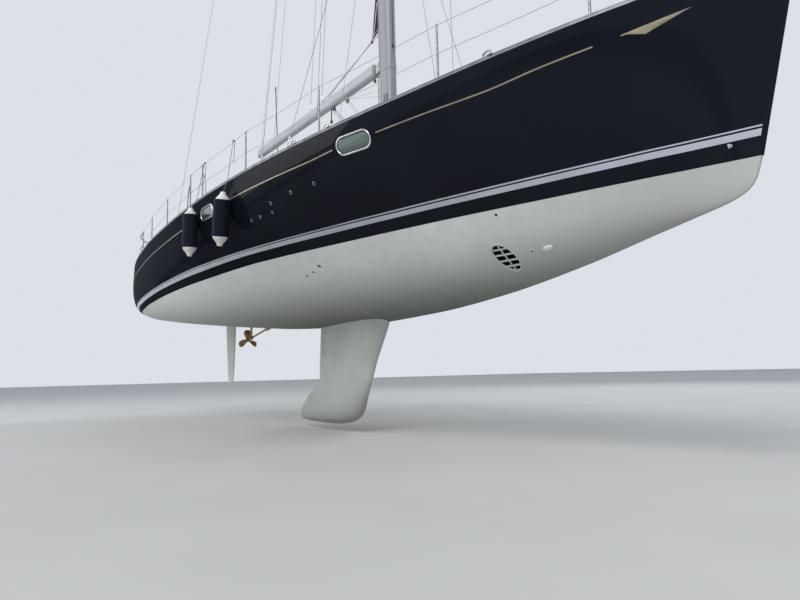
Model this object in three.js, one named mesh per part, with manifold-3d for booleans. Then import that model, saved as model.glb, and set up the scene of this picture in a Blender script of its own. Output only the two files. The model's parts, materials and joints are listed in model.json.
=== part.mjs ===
// A fin-keeled cruising yacht with a deck-stepped mast, in millimetres.
// +X points to the bow, +Y to port, +Z up; the origin is amidships on the waterline.
import * as THREE from 'three';
import { mergeVertices } from 'three/addons/utils/BufferGeometryUtils.js';
import Module from 'manifold-3d';

const wasm = await Module();
wasm.setup();

// Driving dimensions of the hull
const deckLength = 14700;
const bowX = 7040;
const bootTopZ = 90;
const transomFootZ = 60;
const stemNose = 12;
const fit = 0.3;

// One row per station: f is the fraction of the length from the stem, sheerZ and sheerY the deck
// edge, bootY the half breadth at the boot top, keelZ the bottom of the canoe body, fullness the
// exponent that rounds the section, lean how far the station plane tips along X per unit of height.
const stations = [
  { f: 0.00, sheerZ: 1480, sheerY: 12, bootY: 12, keelZ: -180, fullness: 1.0, lean: 0.257 },
  { f: 0.03, sheerZ: 1430, sheerY: 320, bootY: 130, keelZ: -245, fullness: 1.0, lean: 0.236 },
  { f: 0.06, sheerZ: 1385, sheerY: 590, bootY: 290, keelZ: -310, fullness: 1.1, lean: 0.215 },
  { f: 0.12, sheerZ: 1280, sheerY: 1050, bootY: 560, keelZ: -460, fullness: 1.3, lean: 0.170 },
  { f: 0.20, sheerZ: 1195, sheerY: 1480, bootY: 900, keelZ: -605, fullness: 1.7, lean: 0.111 },
  { f: 0.30, sheerZ: 1150, sheerY: 1860, bootY: 1240, keelZ: -690, fullness: 2.2, lean: 0.037 },
  { f: 0.40, sheerZ: 1143, sheerY: 2085, bootY: 1550, keelZ: -710, fullness: 2.7, lean: 0 },
  { f: 0.50, sheerZ: 1140, sheerY: 2205, bootY: 1790, keelZ: -668, fullness: 3.0, lean: 0 },
  { f: 0.60, sheerZ: 1142, sheerY: 2240, bootY: 1945, keelZ: -590, fullness: 3.2, lean: 0 },
  { f: 0.70, sheerZ: 1150, sheerY: 2220, bootY: 1990, keelZ: -470, fullness: 3.3, lean: 0 },
  { f: 0.80, sheerZ: 1163, sheerY: 2140, bootY: 1950, keelZ: -310, fullness: 3.3, lean: 0.074 },
  { f: 0.90, sheerZ: 1180, sheerY: 2020, bootY: 1820, keelZ: -130, fullness: 3.3, lean: 0.222 },
  { f: 1.00, sheerZ: 1200, sheerY: 1840, bootY: 1600, keelZ: 60, fullness: 3.3, lean: 0.370 },
];
const forefootRise = 270;
const forefootReach = 0.0016;
const hullCuts = [0, 0.001, 0.0025, 0.006, 0.013, 0.024, 0.04, 0.065, 0.1, 0.145, 0.2, 0.26, 0.33,
  0.41, 0.5, 0.6, 0.7, 0.8, 0.9, 1];
const girthCuts = [0, 0.005, 0.02, 0.05, 0.1, 0.17, 0.26, 0.37, 0.5, 0.66, 0.83, 1];

// Deck, coachroof and cockpit
const deckInset = 45;
const deckEdge = 8;
const deckCamber = 70;
const railHeight = 36;
const roofRows = [
  { x: 4560, halfWidth: 120, height: 20 },
  { x: 4250, halfWidth: 430, height: 95 },
  { x: 3600, halfWidth: 730, height: 175 },
  { x: 2800, halfWidth: 980, height: 250 },
  { x: 1800, halfWidth: 1150, height: 310 },
  { x: 600, halfWidth: 1270, height: 350 },
  { x: -800, halfWidth: 1360, height: 372 },
  { x: -2000, halfWidth: 1380, height: 380 },
  { x: -2620, halfWidth: 1380, height: 380 },
];
const bulkheadX = -2620;
const seatZ = 1010;
const soleZ = 620;
const coamingInnerY = 1220;
const linerWall = 25;
// Hollows of the deck moulding: x from fore to aft, y from side to side, floor height
const wells = [
  { name: 'seats', x: [bulkheadX, -6900], y: [-coamingInnerY, coamingInnerY], floor: seatZ },
  { name: 'footwell', x: [bulkheadX, -5050], y: [-580, 580], floor: soleZ },
  { name: 'helm', x: [-5040, -6450], y: [-coamingInnerY, coamingInnerY], floor: soleZ },
  { name: 'walkthrough', x: [-6440, -8300], y: [-330, 330], floor: soleZ },
  { name: 'swim step', x: [-7215, -8290], y: [-1050, 1050], floor: 400 },
  { name: 'companionway', x: [-1900, bulkheadX - 8], y: [-330, 330], floor: 700 },
  { name: 'port locker', x: [-3350, -4650], y: [700, 1130], floor: 760 },
  { name: 'starboard locker', x: [-3350, -4650], y: [-1130, -700], floor: 760 },
  { name: 'anchor locker', x: [6350, 5800], y: [-150, 150], floor: 980 },
];

// Rig
const mastX = 1530;
const mastLength = 300;
const mastWidth = 190;
const mastTopZ = 20600;
const spreaders = [
  { z: 7400, reach: 1257, sweep: 148 },
  { z: 13700, reach: 1040, sweep: 125 },
];
const swingX = 1300;
const boomZ = 3050;
const boomRise = 0.043;
const boomAftX = -3700;
const chainplates = { aft: { x: 896, y: 1691 }, fore: { x: 1870, y: 1743 } };
const backstayFoot = { x: -6650, y: 1150 };

// Steering and drive
const rudderX = -5560;
const rudderTopZ = -232;
const rudderTopSlope = -0.122;
const wheelX = -5660;
const wheelY = 760;
const wheelZ = 1460;
const wheelRadius = 430;
const shaftSlope = THREE.MathUtils.degToRad(8);
const propellerAt = new THREE.Vector3(-4450, 0, -640);
const shaftRadius = 17.5;

const paint = {
  navy: { color: 0x11151d, roughness: 0.15, metalness: 0 },
  gelcoat: { color: 0xe9e8e2, roughness: 0.35, metalness: 0 },
  antifoul: { color: 0xc3c8b8, roughness: 0.7, metalness: 0 },
  aluminium: { color: 0xb4b7ba, roughness: 0.4, metalness: 0.85 },
  steel: { color: 0xc9ccd0, roughness: 0.2, metalness: 1 },
  bronze: { color: 0x9b7a45, roughness: 0.4, metalness: 1 },
  tinted: { color: 0x15181b, roughness: 0.08, metalness: 0 },
  glass: { color: 0x6f7f74, roughness: 0.08, metalness: 0 },
  canvas: { color: 0x1b2a4c, roughness: 0.9, metalness: 0 },
  galvanised: { color: 0x8b8f92, roughness: 0.55, metalness: 0.8 },
};

// Smooth monotone curve through a table's column, by Fritsch and Carlson's slopes
function column(rows, across, name) {
  const x = rows.map((row) => row[across]);
  const y = rows.map((row) => row[name]);
  const rise = y.slice(1).map((value, k) => (value - y[k]) / (x[k + 1] - x[k]));
  const slope = x.map((_, k) => {
    if (k === 0) return rise[0];
    if (k === x.length - 1) return rise[k - 1];
    if (rise[k - 1] * rise[k] <= 0) return 0;
    const before = x[k] - x[k - 1];
    const after = x[k + 1] - x[k];
    const near = 2 * after + before;
    const far = after + 2 * before;
    return (near + far) / (near / rise[k - 1] + far / rise[k]);
  });
  return (at) => {
    let k = 0;
    while (k < x.length - 2 && (at - x[k + 1]) * Math.sign(x[1] - x[0]) > 0) k++;
    const h = x[k + 1] - x[k];
    const t = (at - x[k]) / h;
    return (2 * t ** 3 - 3 * t ** 2 + 1) * y[k] + (t ** 3 - 2 * t ** 2 + t) * h * slope[k]
      + (3 * t ** 2 - 2 * t ** 3) * y[k + 1] + (t ** 3 - t ** 2) * h * slope[k + 1];
  };
}

const sheerZ = column(stations, 'f', 'sheerZ');
const sheerY = column(stations, 'f', 'sheerY');
const bootY = column(stations, 'f', 'bootY');
const keelTable = column(stations, 'f', 'keelZ');
const fullness = column(stations, 'f', 'fullness');
const lean = column(stations, 'f', 'lean');
const keelZ = (f) => keelTable(f) + forefootRise * Math.exp(-Math.sqrt(f / forefootReach));
const fractionAt = (x) => (bowX - x) / deckLength;

// Half breadth = sheerY * (1 - (1 - t)^fullness)^(1/q), with q such that the boot top is met
function halfBreadth(f, t) {
  if (f === 0) return stemNose;
  const depth = sheerZ(f) - keelZ(f);
  const bootT = Math.min(Math.max((bootTopZ - keelZ(f)) / depth, 1e-4), 1);
  const q = Math.log(1 - (1 - bootT) ** fullness(f)) / Math.log(Math.min(bootY(f) / sheerY(f), 0.9999));
  const bounded = Math.min(Math.max(q, 0.3), 8);
  return sheerY(f) * (1 - (1 - t) ** fullness(f)) ** (1 / bounded);
}

function stationX(f, z) {
  const pivot = f < 0.5 ? sheerZ(f) : transomFootZ;
  return bowX - deckLength * f + lean(f) * (z - pivot);
}

function hullPoint(f, t, side, grow = 0) {
  const z = keelZ(f) + (sheerZ(f) - keelZ(f)) * t;
  return [stationX(f, z), side * (halfBreadth(f, t) + grow), z];
}

// Where the hull side stands at a place given by x and z, found by halving
function sideAt(x, z) {
  let low = 0.0005;
  let high = 1;
  for (let k = 0; k < 40; k++) {
    const middle = (low + high) / 2;
    if (stationX(middle, z) > x) low = middle; else high = middle;
  }
  const t = (z - keelZ(low)) / (sheerZ(low) - keelZ(low));
  return halfBreadth(low, Math.min(Math.max(t, 0), 1));
}

const deckZ = (x, y = 0) => {
  const f = fractionAt(x);
  const across = Math.min(Math.abs(y) / sheerY(f), 1);
  return sheerZ(f) + deckEdge + deckCamber * Math.min(sheerY(f) / 2000, 1) * (1 - across ** 2);
};
const roofHeight = column(roofRows, 'x', 'height');
const roofTop = (x) => sheerZ(fractionAt(x)) + 4 + roofHeight(x);

// Solids
function toSolid(geometry) {
  const bare = geometry.index ? geometry.toNonIndexed() : geometry.clone();
  bare.deleteAttribute('normal');
  bare.deleteAttribute('uv');
  const merged = mergeVertices(bare, 1e-3);
  const vertProperties = new Float32Array(merged.attributes.position.array);
  const triVerts = new Uint32Array(merged.index.array);
  let volume = 0;
  const corner = (k) => new THREE.Vector3().fromArray(vertProperties, triVerts[k] * 3);
  for (let k = 0; k < triVerts.length; k += 3) volume += corner(k).dot(corner(k + 1).cross(corner(k + 2)));
  if (volume < 0) triVerts.reverse();
  return new wasm.Manifold(new wasm.Mesh({ numProp: 3, vertProperties, triVerts }));
}

function toGeometry(solid) {
  const mesh = solid.getMesh();
  const geometry = new THREE.BufferGeometry();
  geometry.setAttribute('position', new THREE.BufferAttribute(new Float32Array(mesh.vertProperties), 3));
  geometry.setIndex(new THREE.BufferAttribute(new Uint32Array(mesh.triVerts), 1));
  return geometry;
}

const joined = (solids) => solids.reduce((sum, solid) => sum.add(solid));
const cut = (solid, tools) => tools.reduce((rest, tool) => rest.subtract(tool), solid);

// The largest body of a cut solid, without the crumbs that a cut can leave
const mainBody = (solid) => solid.decompose().reduce((best, body) => (body.volume() > best.volume() ? body : best));

// Closed body through rings of equal count, its ends closed by fans
function loft(rings) {
  const count = rings[0].length;
  const index = [];
  for (let r = 0; r + 1 < rings.length; r++) {
    for (let k = 0; k < count; k++) {
      const a = r * count + k;
      const b = r * count + (k + 1) % count;
      index.push(a, b, a + count, b, b + count, a + count);
    }
  }
  const last = (rings.length - 1) * count;
  for (let k = 1; k + 1 < count; k++) index.push(0, k + 1, k, last, last + k, last + k + 1);
  const geometry = new THREE.BufferGeometry();
  geometry.setAttribute('position', new THREE.Float32BufferAttribute(rings.flat(2), 3));
  geometry.setIndex(index);
  return toSolid(geometry);
}

function box(low, high) {
  const size = high.map((value, k) => value - low[k]);
  const geometry = new THREE.BoxGeometry(...size);
  geometry.translate(...low.map((value, k) => value + size[k] / 2));
  return toSolid(geometry);
}

function rod(from, to, radius, endRadius = radius, sides = 6) {
  const a = new THREE.Vector3(...from);
  const b = new THREE.Vector3(...to);
  const geometry = new THREE.CylinderGeometry(endRadius, radius, a.distanceTo(b), sides);
  geometry.translate(0, a.distanceTo(b) / 2, 0);
  const turn = new THREE.Quaternion().setFromUnitVectors(new THREE.Vector3(0, 1, 0), b.clone().sub(a).normalize());
  geometry.applyQuaternion(turn);
  geometry.translate(...from);
  return toSolid(geometry);
}

// Bent tube: the path is smoothed through its points
function tube(points, radius, steps = 16, sides = 6) {
  const path = new THREE.CatmullRomCurve3(points.map((point) => new THREE.Vector3(...point)), false, 'centripetal');
  const corners = Array.from({ length: sides }, (_, k) => (2 * Math.PI * k) / sides);
  const section = new THREE.Shape(corners.map((a) => new THREE.Vector2(radius * Math.cos(a), radius * Math.sin(a))));
  return toSolid(new THREE.ExtrudeGeometry(section, { steps, extrudePath: path, bevelEnabled: false }));
}

// Outline of x and z points carried along y
function slab(outline, fromY, toY) {
  const shape = new THREE.Shape(outline.map(([x, z]) => new THREE.Vector2(x, z)));
  const geometry = new THREE.ExtrudeGeometry(shape, { depth: toY - fromY, bevelEnabled: false });
  geometry.rotateX(Math.PI / 2);
  geometry.translate(0, toY, 0);
  return toSolid(geometry);
}

// Symmetric foil ring round a chord: thickness follows sin(angle) with a finer tail
function foilRing(leadX, tailX, z, thickness, count = 16) {
  const chord = leadX - tailX;
  return Array.from({ length: count }, (_, k) => {
    const angle = (2 * Math.PI * k) / count;
    const along = (1 - Math.cos(angle)) / 2;
    const half = (thickness / 2) * Math.sin(angle) * (1.25 - 0.5 * along);
    return [leadX - chord * along, half, z];
  });
}

const mirrored = (solid) => solid.mirror([0, 1, 0]);
// A piece trimmed where it stands on or beside another, with the running gap left between them
const seated = (solid, carrier, play = fit) => cut(solid, [[0, 0], [-play, 0], [play, 0]]
  .map(([x, y]) => carrier.translate([x, y, play])));

// Hull shell as one closed body, its breadth grown by some millimetres
function canoeBody(grow = 0) {
  return loft(hullCuts.map((f) => [
    ...girthCuts.map((t) => hullPoint(f, t, 1, t === 0 && grow <= 0 ? -halfBreadth(f, 0) : grow)),
    ...girthCuts.slice(1).reverse().map((t) => hullPoint(f, t, -1, grow)),
  ]));
}

function deckPlate(gap) {
  const across = [1, 0.75, 0.5, 0.25, 0, -0.25, -0.5, -0.75, -1];
  const cuts = hullCuts.filter((f) => f > 0.02);
  return loft(cuts.map((f) => {
    const half = sheerY(f) - deckInset;
    const crown = deckCamber * Math.min(sheerY(f) / 2000, 1);
    const x = stationX(f, sheerZ(f));
    const top = across.map((s) => [x, s * half, sheerZ(f) + deckEdge + crown * (1 - s * s)]);
    return [[x, -half, sheerZ(f) + gap], [x, half, sheerZ(f) + gap], ...top];
  }));
}

function coachroof() {
  const roundness = 3.5;
  const count = 16;
  return loft(roofRows.map(({ x, halfWidth, height }) => {
    const base = sheerZ(fractionAt(x)) + 4;
    const arch = Array.from({ length: count + 1 }, (_, k) => {
      const angle = (Math.PI * k) / count;
      const c = Math.cos(angle);
      const s = Math.max(Math.sin(angle), 1e-9);
      const y = halfWidth * Math.sign(c) * Math.abs(c) ** (2 / roundness) * (1 - 0.16 * s ** (2 / roundness));
      return [x, Math.abs(c) < 1e-9 ? 0 : y, base + height * s ** (2 / roundness)];
    });
    return arch;
  }));
}

function coaming() {
  const outline = [[-2300, 1165], [-2300, 1470], [-3000, 1455], [-6000, 1440], [-6800, 1330], [-7000, 1204]];
  return slab(outline, coamingInnerY - 8, coamingInnerY + 290);
}

function wellBox({ x, y, floor }, grow, top = 2200) {
  const ahead = Math.max(...x) + grow;
  const behind = Math.min(...x) - grow;
  return box([behind, y[0] - grow, floor - grow], [ahead, y[1] + grow, top]);
}

// Raised frame under a hatch, and the lid that lies on it; both follow the deck's slope
const hatches = [
  { name: 'fore_hatch', x: 5080, length: 560, width: 560, z: deckZ(5080) + 16, pitch: 0.075 },
  { name: 'saloon_hatch', x: 2500, length: 520, width: 520, z: roofTop(2500) + 16, pitch: -0.052 },
  { name: 'cabin_hatch', x: 0, length: 480, width: 480, z: roofTop(0) + 16, pitch: -0.012 },
];
const lockerLid = { name: 'anchor_locker_lid', x: 6080, length: 680, width: 400, z: deckZ(6080) + 18, pitch: 0.112 };

function onSlope(solid, { x, z, pitch }) {
  return solid.rotate([0, THREE.MathUtils.radToDeg(-pitch), 0]).translate([x, 0, z]);
}

function hatchFrame(hatch) {
  const half = [hatch.length / 2 + 12, hatch.width / 2 + 12];
  return onSlope(box([-half[0], -half[1], -34], [half[0], half[1], 0]), hatch);
}

function hatchLid(hatch) {
  const half = [hatch.length / 2, hatch.width / 2];
  return onSlope(box([-half[0], -half[1], fit], [half[0], half[1], 24]), hatch);
}

const slideZ = roofTop(-2000) + 6;
const slide = { x: [-2665, -1830], halfWidth: 400, thick: 32 };

function slideRails() {
  const rail = box([-2610, 350, slideZ - 40], [-1050, 385, slideZ]);
  return [rail, mirrored(rail)];
}

function windowPrism(side, grow) {
  const outline = [[3150, 1265], [2600, 1215], [400, 1210], [-1500, 1215], [-1700, 1260], [-1500, 1385], [600, 1395],
    [1900, 1375], [2700, 1330]];
  const middle = [500, 1300];
  const grown = outline.map(([x, z]) => [middle[0] + (x - middle[0]) * grow, middle[1] + (z - middle[1]) * grow]);
  return side > 0 ? slab(grown, 500, 1500) : slab(grown, -1500, -500);
}

const roof = coachroof();
const roofSunk = (side, depth) => roof.translate([0, -side * depth, 0]);
const roofWindow = (side) => windowPrism(side, 1).intersect(roof).subtract(roofSunk(side, 12));

function deckMoulding(hullSolid) {
  const envelope = hullSolid.add(deckPlate(-1));
  const liner = joined(wells.map((well) => wellBox(well, linerWall))).intersect(envelope);
  const roofed = joined([deckPlate(fit), liner, roof, coaming(), mirrored(coaming()), ...slideRails(),
    ...[...hatches, lockerLid].map(hatchFrame)]);
  const lockers = wells.map((well) => wellBox(well, 0));
  const windows = [1, -1].map((side) => windowPrism(side, 1.005).subtract(roofSunk(side, 12 + fit)));
  return mainBody(cut(roofed, [...lockers, ...windows]));
}

// Oblong lights in the topsides, ring and pane, one each side
const portlights = [
  { name: 'fore', x: 3455, z: 938, length: 480, height: 200 },
  { name: 'mid', x: 100, z: 892, length: 480, height: 200 },
];
const ringWidth = 21;
const ringProud = 7;

function stadium({ x, z, length, height }, inset) {
  const r = height / 2 - inset;
  const run = length / 2 - height / 2;
  const shape = new THREE.Shape();
  shape.absarc(x + run, z, r, -Math.PI / 2, Math.PI / 2);
  shape.absarc(x - run, z, r, Math.PI / 2, (3 * Math.PI) / 2);
  return shape.getPoints(6).slice(0, -1).map((point) => [point.x, point.y]);
}

const hullShape = canoeBody();
const hullProud = canoeBody(ringProud);
const hullSunk = (depth) => canoeBody(-depth);

function sidePrism(light, inset, side) {
  const outline = stadium(light, inset);
  return side > 0 ? slab(outline, 800, 2600) : slab(outline, -2600, -800);
}

function portlightRing(light, side) {
  const band = hullProud.subtract(hullSunk(12));
  return sidePrism(light, 0, side).subtract(sidePrism(light, ringWidth, side)).intersect(band);
}

function portlightPane(light, side) {
  const band = hullSunk(2).subtract(hullSunk(14));
  return sidePrism(light, ringWidth + fit, side).intersect(band);
}

// Cross tunnel of the bow thruster, with a grating over each mouth
const thruster = { x: 4320, z: -310, radius: 125 };

function thrusterGrating(side) {
  const { x, z, radius } = thruster;
  const disc = rod([x, 0, z], [x, side * 900, z], radius - fit, radius - fit, 24);
  const hole = rod([x, 0, z], [x, side * 900, z], radius - 14, radius - 14, 24);
  const bars = joined([-72, -36, 0, 36, 72].map((at) => box([x + at - 5, Math.min(0, side * 900), z - radius],
    [x + at + 5, Math.max(0, side * 900), z + radius])));
  return disc.subtract(hole.subtract(bars)).intersect(hullShape.subtract(hullSunk(14)));
}

// Fin with a bulb that trails aft; rows from the root down
const finRows = [
  { z: -600, lead: 1470, tail: -760, thick: 290 },
  { z: -760, lead: 1370, tail: -785, thick: 270 },
  { z: -1240, lead: 1040, tail: -830, thick: 235 },
  { z: -1530, lead: 880, tail: -850, thick: 225 },
  { z: -1640, lead: 810, tail: -1010, thick: 260 },
  { z: -1760, lead: 730, tail: -1270, thick: 330 },
  { z: -1880, lead: 650, tail: -1420, thick: 400 },
  { z: -2000, lead: 560, tail: -1540, thick: 430 },
  { z: -2090, lead: 430, tail: -1575, thick: 390 },
  { z: -2150, lead: 230, tail: -1560, thick: 290 },
  { z: -2185, lead: -60, tail: -1300, thick: 140 },
];

function keelFin(hullSolid) {
  const fin = loft(finRows.map(({ lead, tail, z, thick }) => foilRing(lead, tail, z, thick, 20)));
  return fin.subtract(hullSolid.translate([0, 0, -fit]));
}

function toeRail() {
  const outward = 5;
  const inward = 38;
  const cuts = hullCuts.filter((f) => f > 0.01).reverse();
  const ringAt = (x, outerY, innerY, z) => [[x, outerY, z + fit], [x, outerY, z + railHeight],
    [x, innerY, z + railHeight], [x, innerY, z + fit]];
  const portSide = cuts.map((f) => ringAt(stationX(f, sheerZ(f)), sheerY(f) + outward, sheerY(f) - inward, sheerZ(f)));
  const nose = [[bowX + outward, 0, sheerZ(0) + fit], [bowX + outward, 0, sheerZ(0) + railHeight],
    [bowX - 190, 0, sheerZ(0) + railHeight], [bowX - 190, 0, sheerZ(0) + fit]];
  const starboardSide = portSide.map((ring) => ring.map(([x, y, z]) => [x, -y, z])).reverse();
  return loft([...portSide, nose, ...starboardSide]);
}

// Mast with its swept spreaders, masthead crane and the brackets of boom and vang
function ovalRing(z, length = mastLength, width = mastWidth, count = 20) {
  return Array.from({ length: count }, (_, k) => {
    const angle = (2 * Math.PI * k) / count;
    const c = Math.cos(angle);
    const s = Math.sin(angle);
    return [mastX + (length / 2) * Math.sign(c) * Math.abs(c) ** 0.8, (width / 2) * Math.sign(s) * Math.abs(s) ** 0.8, z];
  });
}

function spreaderPair({ z, reach, sweep }) {
  const blade = loft([[0, 90, 26], [0.5, 76, 22], [1, 56, 18]].map(([s, chord, thick]) => {
    const y = 20 + (reach - 20) * s;
    const x = mastX - sweep * s;
    return [[x + chord / 2, y, z + 40 * s], [x, y, z + 40 * s + thick / 2], [x - chord / 2, y, z + 40 * s],
      [x, y, z + 40 * s - thick / 2]];
  }));
  return [blade, mirrored(blade)];
}

const mastFootZ = roofTop(mastX);
const masthead = { stayX: mastX - mastLength / 2 - 200, underside: mastTopZ - 60 };
const bracketZ = { boom: boomZ - 118, vang: 1840 };

function mast() {
  const aft = mastX - mastLength / 2;
  const bracket = (z) => box([swingX - 34, -30, z - 16], [aft + 30, 30, z]);
  return joined([
    loft([ovalRing(mastFootZ + 46), ovalRing(mastTopZ)]),
    box([mastX - 190, -130, mastFootZ + 12], [mastX + 190, 130, mastFootZ + 50]),
    box([masthead.stayX - 30, -35, masthead.underside], [mastX + 190, 35, mastTopZ + 30]),
    ...spreaders.flatMap(spreaderPair),
    bracket(bracketZ.boom),
    bracket(bracketZ.vang),
  ]);
}

function mastStep() {
  return box([mastX - 230, -170, mastFootZ - 30], [mastX + 230, 170, mastFootZ + 12 - fit]);
}

// Shrouds of one side: cap shroud over both spreader tips, diagonal, and a lower each way from the mast
function shrouds() {
  const wire = 6;
  const footAt = ({ x, y }) => [x, y, deckZ(x, y) + 40];
  const foot = footAt(chainplates.aft);
  const foreFoot = footAt(chainplates.fore);
  const lowerFoot = [foot[0] - 30, foot[1], foot[2]];
  const tips = spreaders.map(({ z, reach, sweep }) => [mastX - sweep, reach + wire + 3, z + 40]);
  const side = mastWidth / 2 + wire + 1;
  const onMast = (z) => [mastX, side, z];
  const aftLower = onMast(spreaders[0].z - 120);
  const foreLower = onMast(spreaders[0].z - 580);
  const screw = (from, to) => {
    const run = new THREE.Vector3(...to).sub(new THREE.Vector3(...from)).setLength(380);
    return rod(from, [from[0] + run.x, from[1] + run.y, from[2] + run.z], 15);
  };
  return joined([
    box([foot[0] - 110, foot[1] - 40, foot[2] - 48], [foot[0] + 50, foot[1] + 22, foot[2] + 14]),
    rod(foot, tips[0], wire), rod(tips[0], tips[1], wire), rod(tips[1], onMast(mastTopZ - 150), wire),
    rod(lowerFoot, aftLower, wire), rod(tips[0], onMast(spreaders[1].z - 90), wire),
    screw(foot, tips[0]), screw(lowerFoot, aftLower),
    box([foreFoot[0] - 50, foreFoot[1] - 30, foreFoot[2] - 48], [foreFoot[0] + 50, foreFoot[1] + 22, foreFoot[2] + 14]),
    rod(foreFoot, foreLower, wire), screw(foreFoot, foreLower),
    box([mastX - 12, side - wire, foreLower[2] - 20], [mastX + 12, side + wire, aftLower[2] + 20]),
  ]);
}

const tack = [6720, 0, deckZ(6650) + 150];
const stayTop = [mastX + mastLength / 2 + 9.3, 0, mastTopZ - 350];
const alongStay = (s) => tack.map((value, k) => value + (stayTop[k] - value) * s);

function furledHeadsail() {
  const drum = joined([rod(alongStay(0.006), alongStay(0.014), 92, 92, 16), rod(alongStay(0.0008), alongStay(0.03), 22)]);
  const roll = joined([
    rod(alongStay(0.028), alongStay(0.045), 30, 62, 12),
    rod(alongStay(0.044), alongStay(0.931), 62, 30, 12),
    rod(alongStay(0.93), alongStay(1), 14, 10, 8),
  ]);
  return drum.add(roll);
}

// Bow roller: a channel whose floor carries the anchor's shank; depths are below the shank line
const shankLine = (x) => deckZ(6650) + 72 + (x - 6500) * 0.0185;

function bowFitting() {
  const [aft, fore] = [6480, 7140];
  const body = slab([[aft, shankLine(aft) - 60], [6840, shankLine(6840) - 40], [fore, shankLine(fore) - 34],
    [fore, shankLine(fore) + 22], [aft, shankLine(aft) + 22]], -46, 46);
  const channel = slab([[aft - 10, shankLine(aft) - fit], [fore + 10, shankLine(fore) - fit], [fore + 10, 1700],
    [aft - 10, 1700]], -30, 30);
  const arch = box([tack[0] - 45, -46, shankLine(tack[0]) + 20], [tack[0] + 45, 46, shankLine(tack[0]) + 44]);
  const peg = rod([tack[0], 0, shankLine(tack[0]) + 30], [tack[0], 0, tack[2]], 16, 16, 10);
  return joined([body.subtract(channel), arch, peg]);
}

// Twin backstays, each on its own plate beside the stern
function backstay() {
  const legs = [1, -1].map((side) => {
    const { x, y } = backstayFoot;
    const foot = [x, side * y, deckZ(x, y) + 6];
    const top = [masthead.stayX, side * 22, masthead.underside - 22];
    const run = new THREE.Vector3(...top).sub(new THREE.Vector3(...foot)).setLength(340);
    return joined([
      rod(foot, top, 5),
      rod(foot, [foot[0] + run.x, foot[1] + run.y, foot[2] + run.z], 15),
      box([foot[0] - 40, foot[1] - 12, foot[2] - 14], [foot[0] + 60, foot[1] + 12, foot[2] + 40]),
    ]);
  });
  const { stayX, underside } = masthead;
  const toggle = box([stayX - 25, -42, underside - 40], [stayX + 25, 42, underside - fit]);
  return joined([...legs, toggle]);
}

// Guard rails
const railRise = 610;
const midRise = 320;
const tubeRadius = 12.5;
const guardInset = 112;
const guardAt = (x, rise, side = 1) => {
  const f = fractionAt(x);
  return [x, side * (sheerY(f) - guardInset), deckZ(x, sheerY(f) - guardInset) + rise];
};
const stanchionX = [4450, 2820, 1150, -430, -1050, -2600, -4200];
const gateX = [-430, -1050];
const pulpitAftX = 5780;
const pushpitForeX = -5750;

function pulpit() {
  const leg = (x, side, lower = 0) => rod(guardAt(x, lower, side), guardAt(x, railRise, side), tubeRadius);
  const top = tube([guardAt(pulpitAftX, railRise), guardAt(6300, railRise), [6840, 205, 2090], [7010, 0, 2110],
    [6840, -205, 2090], guardAt(6300, railRise, -1), guardAt(pulpitAftX, railRise, -1)], tubeRadius, 24);
  const mid = (side) => rod(guardAt(pulpitAftX, midRise, side), guardAt(6500, midRise, side), 10);
  return joined([top, ...[1, -1].flatMap((side) => [leg(pulpitAftX, side), leg(6500, side), mid(side)])]);
}

function guardLines() {
  const ends = [pulpitAftX - tubeRadius - fit, ...stanchionX, pushpitForeX + tubeRadius + fit];
  const wires = [railRise - 10, midRise].flatMap((rise) => ends.slice(1).map((x, k) => {
    return rod(guardAt(ends[k], rise), guardAt(x, rise), 4, 4, 4);
  }));
  const posts = stanchionX.map((x) => rod(guardAt(x, 0), guardAt(x, railRise), tubeRadius));
  const feet = stanchionX.map((x) => {
    const [, y, z] = guardAt(x, 0);
    return box([x - 45, y - 24, z - 8], [x + 45, y + 24, z + 18]);
  });
  const braces = gateX.map((x, k) => tube([guardAt(x + (k ? -170 : 170), 10), guardAt(x + (k ? -120 : 120), 330),
    guardAt(x, 450)], 9, 4));
  return joined([...wires, ...posts, ...feet, ...braces]);
}

function pushpit() {
  const corner = (rise) => [-7060, 1560, 1200 + deckEdge + 6 + rise];
  const inner = (rise) => [-7090, 520, 1240 + deckEdge + 6 + rise];
  const run = (rise, radius) => tube([guardAt(pushpitForeX, rise), guardAt(-6500, rise), corner(rise),
    [-7150, 1300, 1225 + rise], inner(rise)], radius, 14);
  const legs = [[guardAt(pushpitForeX, 0), guardAt(pushpitForeX, railRise)], [corner(4), corner(railRise)],
    [inner(14), inner(railRise)]];
  return joined([run(railRise, tubeRadius), run(midRise, 10), ...legs.map(([a, b]) => rod(a, b, tubeRadius))]);
}

// A point of a guard wire between its stanchions
function guardLineAt(x, rise, side) {
  const k = stanchionX.findIndex((at) => at < x);
  const [ahead, behind] = [guardAt(stanchionX[k - 1], rise, side), guardAt(stanchionX[k], rise, side)];
  const s = (x - ahead[0]) / (behind[0] - ahead[0]);
  return ahead.map((value, n) => value + (behind[n] - value) * s);
}

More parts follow.
